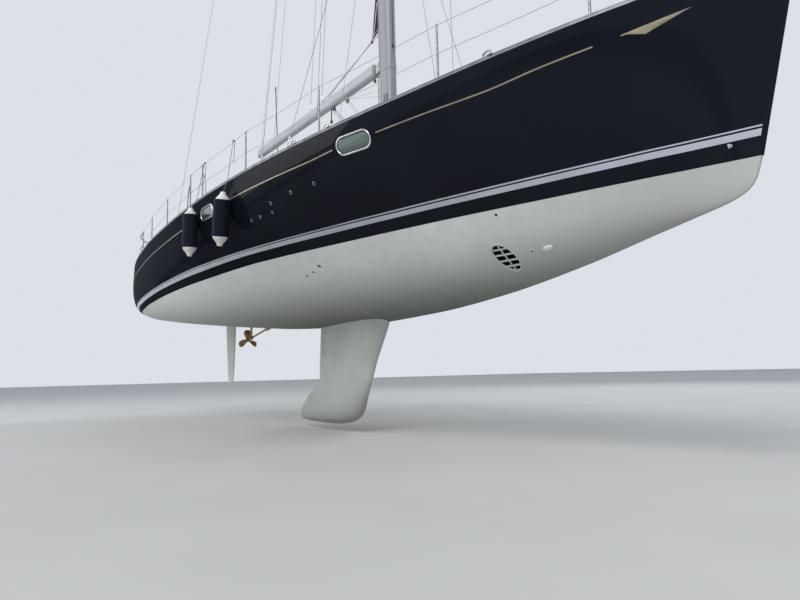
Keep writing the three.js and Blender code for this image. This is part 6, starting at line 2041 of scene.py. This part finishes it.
def makeRunningLines():
    # taut lines of the boom and mast; the lifts are carried by the boom, the two outhauls by no body
    axle = np.array([rig["swing"], 0, rig["crane"][2] - 0.004])
    lifts = [("topping_lift", (-3.640, 0, boomZ(-3.64) + 0.150), axle, 0.0042, lineWhite),
             ("red_halyard", (-0.710, -0.040, boomZ(-0.71) - 0.100), axle + [0, -0.006, -0.02], 0.0050, lineRed),
             ("spare_halyard", (-0.680, 0, boomZ(-0.68) + 0.150), axle + [0, 0.006, -0.01], 0.0045, lineGrey),
             ("grey_lift", (-1.080, -0.030, boomZ(-1.08) + 0.105), axle + [0, -0.012, -0.012], 0.0042, lineGrey)]
    for name, low, high, radius, finish in lifts:
        start = np.array(low) + [0, -0.034 if name == "red_halyard" else 0, 0]
        addPiece(name, tube([start, high], radius, 8, 40), finish, "boom")
    ends = merged(*[tiltedLathe([(-0.03, 0.006), (-0.01, 0.012), (0.05, 0.011), (0.09, 0.007)], low, high, 12)
                    for name, low, high, _, _ in lifts if name != "topping_lift"],
                  lathe([(-0.012, 0.020), (0.012, 0.020)], (rig["swing"], 0, rig["crane"][2] - 0.012), sides=20))
    addPiece("line_ends", ends, steel, "boom")
    for n, x in enumerate((-0.60, -0.36)):
        outhaul = addPiece(f"outhaul_{n + 1}",
                           tube([(1.085, 0.004 - 0.008 * n, 3.552), (x, 0.004 - 0.008 * n, boomZ(x) + 0.139)], 0.0054,
                                8, 40), lineGrey, None)
        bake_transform(outhaul)
    falls = [tube([(mastAft + 0.004, y, 3.585), (1.10, y, 3.553)], 0.004, 8, 6) for y in (0.006, -0.006)]
    addPiece("clew_falls", merged(*falls), lineWhite, "boat")
    stud = lathe([(-0.02, 0.016), (0.0, 0.016), (0.01, 0.009), (0.075, 0.008)],
                 (rig["swing"], 0, float(roofTopAt(rig["swing"], 0))), sides=16)
    addPiece("sheet_stud", stud, steel, "boat")
    down = [tube([(x, -0.046, 2.93), (x, -0.046, rig["foot"] + 0.07)], 0.0045, 8, 16) for x in (1.322, 1.346)]
    addPiece("mast_falls", merged(*down), lineGrey, "boat")
    hoist = np.array([[1.366, -0.046, 2.96], [1.366, -0.046, 6.60], [1.378, -0.048, 6.68], [1.400, -0.050, 6.72]])
    addPiece("red_hoist", tube(hoist, 0.0055, 8, 60), lineRed, "boat")
    blocks = [pulley((x, -0.046, rig["foot"] + 0.045), 0.026, 0.011, (0, 0, -1)) for x in (1.322, 1.346)]
    blocks.append(pulley((1.352, -0.050, 2.945), 0.022, 0.010, (1, 0, 0)))
    addPiece("mast_blocks", merged(*blocks), blackPlastic, "boat")


def clothFinish(name, colour, other, thread=900.0, **constants):
    # woven cloth: a fine grain of threads, faded in clouds, with a sheen
    finish = Finish(name, Sheen_Weight=0.03, Specular_IOR_Level=0.12, **constants)
    finish.vary(colour, other, 5.0, (0.72, 0.86))
    finish.bump(finish.noise(thread, 3.0), 0.25, 0.0012)
    return finish.material


sailNavy = clothFinish("navy sailcloth", (0.008, 0.012, 0.034), (0.013, 0.020, 0.050))
webbing = clothFinish("grey webbing", (0.42, 0.44, 0.47), (0.54, 0.56, 0.58), 600.0)
sparAlloy = painted("silver spar", (0.245, 0.255, 0.270), (0.275, 0.285, 0.300), (0.46, 0.56), 3.0, 260.0, 0.02,
                    Metallic=0.25)
boomAlloy = painted("boom spar", (0.365, 0.38, 0.405), (0.405, 0.42, 0.445), (0.42, 0.52), 3.0, 260.0, 0.02,
                    Metallic=0.15)
gearAlloy = metal("cast alloy", (0.40, 0.41, 0.43), (0.32, 0.33, 0.345), (0.36, 0.5), (60, 60, 60), 12.0)
makeMast()
makeSpreaders()
makeShrouds()
makeBackstay()
makeHeadsail()
makeBoom()
makeClew()
makeRunningLines()
print("rig done")


# Rails: pulpit, stanchions with their guard wires, pushpits, handrails, fairleads, aerial
rails = {
    "top": 0.610, "wire": 0.600, "middle": 0.320, "inset": 0.112, "radius": 0.0125, "pulpit": 5.780, "pushpit": -5.750,
    "stanchions": (4.45, 2.82, 1.15, -0.43, -1.05, -2.60, -4.20), "gate": (-0.43, -1.05),
    "aerial": ((-6.86, 1.745, 1.245), (-6.905, 1.568, 7.60)), "fairleads": (5.02, 3.08, 2.48, -5.30),
    "bowTube": [(6.600, 0.375, 2.045), (6.840, 0.205, 2.090), (6.965, 0.095, 2.106), (7.010, 0, 2.110)],
}


def guardAt(x, rise):
    # place over the port side deck, inside the toe rail
    y = float(sheerBreadth(alongSheer(x))) - rails["inset"]
    return np.array([x, y, float(deckTop(x, y)) + rise])


def footPlate(place, long=0.045, wide=0.024):
    # base plate, four screw heads and a socket for the tube
    x, y, z = place
    screws = [lathe([(0, 0.004), (0.0015, 0.0038), (0.0022, 0.002)], (x + dx, y + dy, z + 0.006), sides=8)
              for dx in (-long * 0.7, long * 0.7) for dy in (-wide * 0.62, wide * 0.62)]
    socket = lathe([(-0.004, 0.020), (0.010, 0.0185), (0.050, 0.0160), (0.056, 0.0145)], (x, y, z), sides=18)
    return merged(plate((x, y), (long, wide), 0.012, softRows(z - 0.007, z + 0.006, top=0.003)), socket, *screws)


def makeGuardRails():
    # tapered posts with eyes and bases, braces at the gate, and two rows of wires that sag as a parabola
    fittings, wires = [], []
    ends = [rails["pulpit"] - 0.013, *rails["stanchions"], rails["pushpit"] + 0.013]
    for x in rails["stanchions"]:
        foot = guardAt(x, 0)
        post = lathe([(0, 0.0125), (0.30, 0.0124), (0.56, 0.0115), (0.596, 0.011), (0.604, 0.009), (0.6095, 0.004)],
                     foot, guardAt(x, rails["top"]) - foot, 18)
        eyes = [lathe([(-0.012, 0.006), (-0.008, 0.0095), (0.008, 0.0095), (0.012, 0.006)], guardAt(x, rise), (1, 0, 0),
                      14)
                for rise in (rails["wire"] - 0.004, rails["middle"])]
        fittings += [post, *eyes, footPlate(foot)]
    tension = [(0, 0.004), (0.012, 0.007), (0.07, 0.0068), (0.085, 0.0045), (0.13, 0.0042)]
    brace = ((0.170, 0.010), (0.145, 0.19), (0.115, 0.34), (0.05, 0.43), (0, 0.455))
    for x, lead in zip(rails["gate"], (1, -1)):
        fittings.append(tube([guardAt(x + away * lead, rise) for away, rise in brace], 0.009, 12, 24))
        fittings.append(footPlate(guardAt(x + 0.170 * lead, 0), 0.030, 0.018))
    for rise in (rails["wire"], rails["middle"]):
        for a, b in zip(ends[:-1], ends[1:]):
            s = np.linspace(0, 1, 9)[:, None]
            line = guardAt(a, rise) + (guardAt(b, rise) - guardAt(a, rise)) * s
            line[:, 2] -= 0.006 * 4 * (s * (1 - s))[:, 0] * (a - b)
            wires.append(tube(line, 0.0030, 8))
            for end, away in ((line[0], line[1]), (line[-1], line[-2])):
                atRails = min(abs(end[0] - ends[0]), abs(end[0] - ends[-1])) < 0.02
                if atRails or a in rails["gate"] and b in rails["gate"]:
                    fittings.append(tiltedLathe(tension, end, away, 10))
    for where, side in beams:
        addPiece(f"guard_wires_{where}", onBeam(merged(*wires), side), guardWire, "boat",
                 [f"lifelines_{where}"])
        addPiece(f"stanchions_{where}", onBeam(merged(*fittings), side), railSteel, "boat")


def makePulpit():
    # a smooth top tube once round the bow on four legs, with a middle rail and a lamp
    top = [guardAt(x, rails["top"]) for x in (rails["pulpit"], 6.05, 6.300)] + rails["bowTube"]
    ring = top + [np.array(p) * (1, -1, 1) for p in top[-2::-1]]
    posts = (rails["pulpit"], 6.500)
    legs = [tube([guardAt(x, 0), guardAt(x, rails["top"] - 0.004)], rails["radius"], 14, 4) for x in posts]
    legs.append(tube([guardAt(x, rails["middle"]) for x in posts], 0.010, 12, 6))
    legs += [footPlate(guardAt(x, 0), 0.034, 0.022) for x in posts]
    addPiece("pulpit_tubes", merged(tube(ring, rails["radius"], 16, 90, up=(0, 0, 1)), bothSides(merged(*legs))),
             railSteel, "boat", ["pulpit"])
    lamp = plate((6.985, 0), (0.022, 0.026), 0.012, softRows(2.062, 2.098, 0.006, 0.006))
    addPiece("bow_light_case", lamp, blackPlastic, "boat")
    glass = painted("lamp lens", (0.22, 0.05, 0.05), (0.03, 0.20, 0.09), (0.08, 0.14), 40.0, 200.0, 0.01,
                    Coat_Weight=0.6)
    addPiece("bow_light_lens", plate((7.002, 0), (0.012, 0.022), 0.010, softRows(2.070, 2.088, 0.003, 0.003)), glass,
             "boat")


def makePushpits():
    # two bent tubes round each quarter on three legs; the port one carries the aerial
    corner = lambda rise: np.array([-7.060, 1.560, 1.214 + rise])
    inner = lambda rise: np.array([-7.090, 0.520, 1.254 + rise])
    pieces = []
    for rise, radius in ((rails["top"], rails["radius"]), (rails["middle"], 0.010)):
        pieces.append(tube([guardAt(rails["pushpit"], rise), guardAt(-6.500, rise), corner(rise),
                            (-7.150, 1.300, 1.225 + rise), inner(rise)], radius, 14, 60, up=(0, 0, 1)))
    for a, b in ((guardAt(rails["pushpit"], 0), guardAt(rails["pushpit"], rails["top"])),
                 (corner(0.004), corner(rails["top"])), (inner(0.012), inner(rails["top"]))):
        pieces += [tube([a, b], rails["radius"], 14, 4), footPlate(a, 0.030, 0.022)]
    low, high = (np.array(p) for p in rails["aerial"])
    along = lambda z: low + (high - low) * (z - low[2]) / (high[2] - low[2])
    clamp = [plate(along(z)[:2], (0.030, 0.055), 0.012, softRows(z - 0.012, z + 0.012, 0.004, 0.004))
             for z in (1.535, 1.822)]
    foot = lathe([(-0.004, 0.034), (0.006, 0.034), (0.010, 0.020), (0.09, 0.018)],
                 (low[0], low[1], float(deckTop(*low[:2]))), high - low, 20)
    for where, side in beams:
        every = merged(*pieces, *clamp, foot) if side > 0 else merged(*pieces)
        addPiece(f"pushpit_tubes_{where}", onBeam(every, side), railSteel, "boat", [f"pushpit_{where}"])
    joint = along(6.35)
    whip = [tube([low, along(4.0), joint], 0.0125, 12),
            tiltedLathe([(-0.05, 0.016), (0, 0.018), (0.04, 0.012)], joint, high, 14)]
    addPiece("aerial_mast", merged(*whip), blackPlastic, "boat")
    addPiece("aerial_tip", tube([joint, high], 0.0055, 10, 6), gelcoat, "boat")


def makeHandrails():
    # rails along the roof's edge on their feet, and fairleads and midship cleats on the toe rail
    xs = np.linspace(0.75, -1.85, 60)
    inset = roofHalf(xs) * 0.86
    base = np.stack([xs, inset, roofTopAt(xs, inset)], -1)
    lift = np.interp(np.arange(60), (0, 2, 57, 59), (0.004, 0.055, 0.055, 0.004))
    bars = [tube(base + np.stack([0 * lift, 0 * lift, lift], -1), 0.011, 12)]
    bars += [lathe([(-0.004, 0.020), (0.004, 0.020), (0.008, 0.009), (0.052, 0.008)], base[k], sides=16)
             for k in (12, 24, 36, 48)]
    addPiece("roof_handrails", bothSides(merged(*bars)), railSteel, "boat")
    leads, dark = [], []
    for x in rails["fairleads"]:
        edge = float(sheerBreadth(alongSheer(x)))
        level = float(sheerHeight(alongSheer(x))) + toeRail["height"]
        base = plate((x, edge - 0.013), (0.070, 0.017), 0.010, softRows(level - 0.002, level + 0.007, top=0.003))
        ring = sweep([(x + 0.052 * math.cos(t), edge - 0.013, level + 0.026 + 0.020 * math.sin(t)) for t in turns(28)],
                     circle(0.009, 10), (0, 1, 0), True)
        (dark if x > 5 else leads).append(merged(base, ring))
    addPiece("fairleads", bothSides(merged(*leads)), steel, "boat")
    addPiece("bow_fairleads", bothSides(merged(*dark)), gearAlloy, "boat")


# Bow: roller fitting, anchor and the fenders
bowGear = {"shank": (6.500, 7.150), "slope": 0.0185, "fitting": (6.482, 7.138), "tackX": 6.720}


def shankLine(x):
    # height of the anchor's shank, which rises forward
    return float(deckTop(6.650, 0)) + 0.072 + (x - bowGear["shank"][0]) * bowGear["slope"]


def makeBowFitting():
    # a channel carried along the shank's line, with cheeks, arch, peg, pin and roller
    aft, fore = bowGear["fitting"]
    xs = np.linspace(aft, fore, 30)
    floor = np.array([shankLine(x) for x in xs])
    under = np.interp(xs, (aft, 6.840, fore), (0.060, 0.040, 0.034))
    u = lambda y, z: np.stack([xs, np.full(30, y), z], -1)
    ring = [u(-0.046, floor - under), u(0.046, floor - under), u(0.046, floor + 0.018), u(0.043, floor + 0.0218),
            u(0.034, floor + 0.0218), u(0.031, floor + 0.018), u(0.031, floor - 0.004), u(-0.031, floor - 0.004),
            u(-0.031, floor + 0.018), u(-0.034, floor + 0.0218), u(-0.043, floor + 0.0218), u(-0.046, floor + 0.018)]
    cheek = plate((0, 0), (0.060, 0.005), 0.004, softRows(0, 0.06, 0.002, 0.02))
    cheeks = [moved(cheek, (fore - 0.062, y, shankLine(fore) + 0.002)) for y in (0.038, -0.038)]
    tackX = bowGear["tackX"]
    base = shankLine(tackX)
    arch = plate((tackX, 0), (0.045, 0.046), 0.012, softRows(base + 0.020, base + 0.044, 0.004, 0.006))
    peg = lathe([(0.03, 0.016), (0.050, 0.015), (0.07, 0.012), (0.085, 0.010)], (tackX, 0, base), sides=16)
    pin = lathe([(-0.050, 0.005), (-0.048, 0.009), (-0.043, 0.009), (0.043, 0.009), (0.048, 0.009), (0.050, 0.005)],
                (fore - 0.035, 0, shankLine(fore) + 0.030), (0, 1, 0), 14)
    addPiece("bow_roller_frame", merged(loft(np.array(ring).transpose(1, 0, 2)), *cheeks, arch, peg, pin), steel,
             "boat", ["bow_fitting"])
    roller = lathe([(-0.029, 0.022), (-0.022, 0.020), (0, 0.012), (0.022, 0.020), (0.029, 0.022)],
                   (fore - 0.012, 0, shankLine(fore) - 0.028), (0, 1, 0), 28)
    addPiece("bow_roller", roller, rubber, "boat")


def makeAnchor():
    # shank carried along its bend, and a plough of two curved flukes that meet at a toe
    aft, bend = bowGear["shank"]
    line = shankLine(bend)
    path = np.array([[aft, 0, shankLine(aft) + 0.005], [6.85, 0, shankLine(6.85) + 0.009],
                     [bend - 0.03, 0, line + 0.012], [bend + 0.022, 0, line - 0.003], [7.196, 0, line - 0.045]])
    shank = sweep(spline(path, 40), roundedRing((0, 0), (0.0115, 0.011), 0.005, 4), (0, 1, 0),
                  scale=np.interp(np.arange(40), (0, 1, 32, 39), (0.8, 1, 1.0, 1.1)))
    stock = lathe([(-0.020, 0.012), (-0.016, 0.018), (0.016, 0.018), (0.020, 0.012)],
                  (aft + 0.04, 0, shankLine(aft) + 0.010), (0, 1, 0), 16)
    drop = np.linspace(0, 1, 22)
    x = np.interp(drop, (0, 0.1, 0.38, 0.72, 1), (7.192, 7.214, 7.232, 7.190, 7.112))
    half = np.interp(drop, (0, 0.12, 0.40, 0.72, 1), (0.022, 0.075, 0.148, 0.108, 0.011))
    z = line - 0.010 - 0.300 * drop
    v = np.linspace(-1, 1, 17)
    front = np.stack([x[:, None] + 0.022 * (1 - np.abs(v))[None] - 0.020 * np.abs(v)[None], half[:, None] * v[None],
                      z[:, None] + 0.020 * (np.abs(v) ** 1.5)[None]], -1)
    back = front - np.stack([np.full_like(front[..., 0], 0.012), 0 * front[..., 0], 0 * front[..., 0]], -1)
    ring = np.concatenate([front, back[:, ::-1]], 1)
    rib = sweep(np.stack([x - 0.012, 0 * x, z], -1), roundedRing((0, 0), (0.012, 0.010), 0.004, 4), (0, 1, 0))
    addPiece("anchor_body", merged(shank, stock, loft(ring), rib), galvanised, "boat", ["anchor"])


fenders = {
    # length along, height of the top, length at which it is tied to the rail, lean aft
    "places": {"mid": (0.930, 0.983, 0.770, -0.20), "aft": (-0.280, 1.035, -0.330, -0.05)},
    "radius": 0.108, "length": 0.710, "cover": (0.103, 0.585), "wall": 0.0016, "line": 0.0042,
    # share of the length, share of the radius
    "cone": ((0.000, 0.22), (0.005, 0.30), (0.014, 0.345), (0.040, 0.375), (0.058, 0.44), (0.082, 0.60), (0.118, 0.79),
             (0.150, 0.91), (0.185, 0.975), (0.24, 1.0), (0.5, 1.003)),
}


def sleeve(centre, radius, low, high):
    # cloth tube with turned hems: the wall's outline is carried round, and gathers slightly towards both hems
    z = np.concatenate([np.linspace(low, high, 40), np.linspace(high, low, 40)])
    hem = np.minimum(z - low, high - z)
    out = np.where(np.arange(80) < 40, 0.0, -fenders["wall"])
    out = out + 0.0016 * np.exp(-((hem - 0.014) / 0.006) ** 2) - 0.004 * np.exp(-hem / 0.006)
    a = turns(72)
    fold = 0.0011 * np.sin(9 * a[None] + 1.3 * np.sin(z[:, None] * 11))
    fold = fold + 0.0016 * np.sin(17 * a)[None] * np.exp(-hem / 0.03)[:, None]
    r = radius + out[:, None] + fold
    points = np.stack([centre[0] + r * np.cos(a), centre[1] + r * np.sin(a), np.repeat(z[:, None], 72, 1)], -1)
    return grid(np.concatenate([points, points[:1]]), around=True)


def makeFenders():
    # inflated bodies with cone ends and eyes, a cloth sleeve, and a line over the rail to a hitch with a loose tail
    radius, length, line = fenders["radius"], fenders["length"], fenders["line"]
    coverLow, coverHigh = fenders["cover"][1], fenders["cover"][0]
    for name, (x, top, tieX, lean) in fenders["places"].items():
        centre = np.array([x, float(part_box(f"fender_{name}")[0][1]) + 0.110, top])
        leaned = lambda shape: moved(pitched(moved(shape, -centre), (0, 0, 0), lean), centre)
        rows = [(h * length, r * radius * 0.965) for h, r in fenders["cone"]]
        rows += [(length - h, r) for h, r in rows[-2::-1]]
        body = lathe(rows, centre - [0, 0, length], sides=48)
        piece = addPiece(f"fender_body_{name}", leaned(body), vinyl, "boat", [f"fender_{name}"], sharp=60)
        cover = addPiece(f"fender_cover_{name}", leaned(sleeve(centre, radius, top - coverLow, top - coverHigh)),
                         fenderNavy, "boat", sharp=80)
        eyes = [lathe([(-0.0225, 0.010), (-0.0222, 0.0105), (0.0222, 0.0105), (0.0225, 0.010)], centre - [0, 0, drop],
                      (0.8, -0.6, 0), 16)
                for drop in (0.020, length - 0.020)]
        addPiece(f"fender_eyes_{name}", leaned(merged(*eyes)), rubber, "boat")
        tie = guardAt(tieX, rails["wire"]) * (1, -1, 1)
        railX = (2 * x + tieX) / 3
        f = alongSheer(railX)
        edge = np.array([railX, -float(sheerBreadth(f)) - 0.012, float(sheerHeight(f)) + toeRail["height"]])
        start = centre - [0, 0, 0.006]
        path = np.stack([start, start + (edge - start) * 0.6, edge, edge + (tie - edge) * 0.3,
                         tie - [0, 0.0075, 0.004]])
        addPiece(f"fender_lanyard_{name}", tube(path, line, 8, 50), lineBlue, "boat")
        wound = np.linspace(0, 2.5, 50)[:, None]
        ahead = unit(guardAt(tieX + 0.1, rails["wire"]) - guardAt(tieX, rails["wire"])) * (1, -1, 1)
        coil = tie + ahead * (wound - 1.2) * 0.0095
        coil = coil + 0.0078 * (np.cos(wound * tau) * [0, -1, 0] + np.sin(wound * tau) * [0, 0, 1])
        addPiece(f"fender_hitch_{name}", sweep(coil, circle(line, 8), ahead), lineBlue, "boat")
        begin = coil[-1]
        tail = spline([begin, begin + [-0.012, 0.006, -0.030], begin + [-0.020, 0.004, -0.14],
                       begin + [-0.026, -0.006, -0.30]], 40)
        free = addPiece(f"fender_tail_{name}", tube(tail, line, 8), lineBlue, "boat")


galvanised = metal("galvanised steel", (0.40, 0.41, 0.42), (0.26, 0.27, 0.28), (0.45, 0.62), (40, 40, 40), 24.0, 0.85)
vinyl = painted("fender vinyl", (0.60, 0.60, 0.56), (0.68, 0.68, 0.64), (0.38, 0.5), 9.0, 300.0, 0.04)
fenderNavy = clothFinish("navy fleece", (0.0042, 0.0062, 0.0135), (0.0066, 0.0092, 0.0190), 500.0)
makeGuardRails()
makePulpit()
makePushpits()
makeHandrails()
makeBowFitting()
makeAnchor()
makeFenders()
print("rails, bow gear and fenders done")


# Floor, sky and lamps
studio = {"floor": -2.3, "floorSize": 120.0, "sky": (0.84, 0.88, 0.95), "skyStrength": 0.85}


def makeStudio():
    # a plain floor below the keel, a pale sky and three broad lamps
    size = studio["floorSize"]
    ground = block((-size, -size, studio["floor"] - 0.05), (size, size, studio["floor"]))
    stone = Finish("floor", Roughness=0.9)
    stone.vary((0.44, 0.44, 0.43), (0.46, 0.46, 0.45), 0.6)
    floor = bpy.data.objects.new("floor", makeMesh("floor", ground))
    floor.data.materials.append(stone.material)
    bpy.context.scene.collection.objects.link(floor)
    floor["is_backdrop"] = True
    world = bpy.data.worlds.new("sky")
    world.use_nodes = True
    sky = world.node_tree.nodes["Background"]
    sky.inputs["Color"].default_value = (*studio["sky"], 1)
    sky.inputs["Strength"].default_value = studio["skyStrength"]
    bpy.context.scene.world = world
    for name, place, aim, size, power in (
            ("key", (16, -22, 20), (0, 0, 0), 12, 5200), ("fill", (-14, -18, 10), (0, 0, 0), 14, 1500),
            ("back", (-8, 24, 16), (0, 0, 2), 14, 2200)):
        lamp = bpy.data.lights.new(name, "AREA")
        lamp.energy, lamp.size = power, size
        lampObject = bpy.data.objects.new(name, lamp)
        lampObject.location = place
        lampObject.rotation_euler = (Vector(aim) - Vector(place)).to_track_quat("-Z", "Y").to_euler()
        bpy.context.scene.collection.objects.link(lampObject)
    bpy.context.scene.view_settings.view_transform = "Standard"


makeStudio()
print("studio done")

{"cad": [list(corner) for corner in cadBounds], "scene": [list(corner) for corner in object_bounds()]}
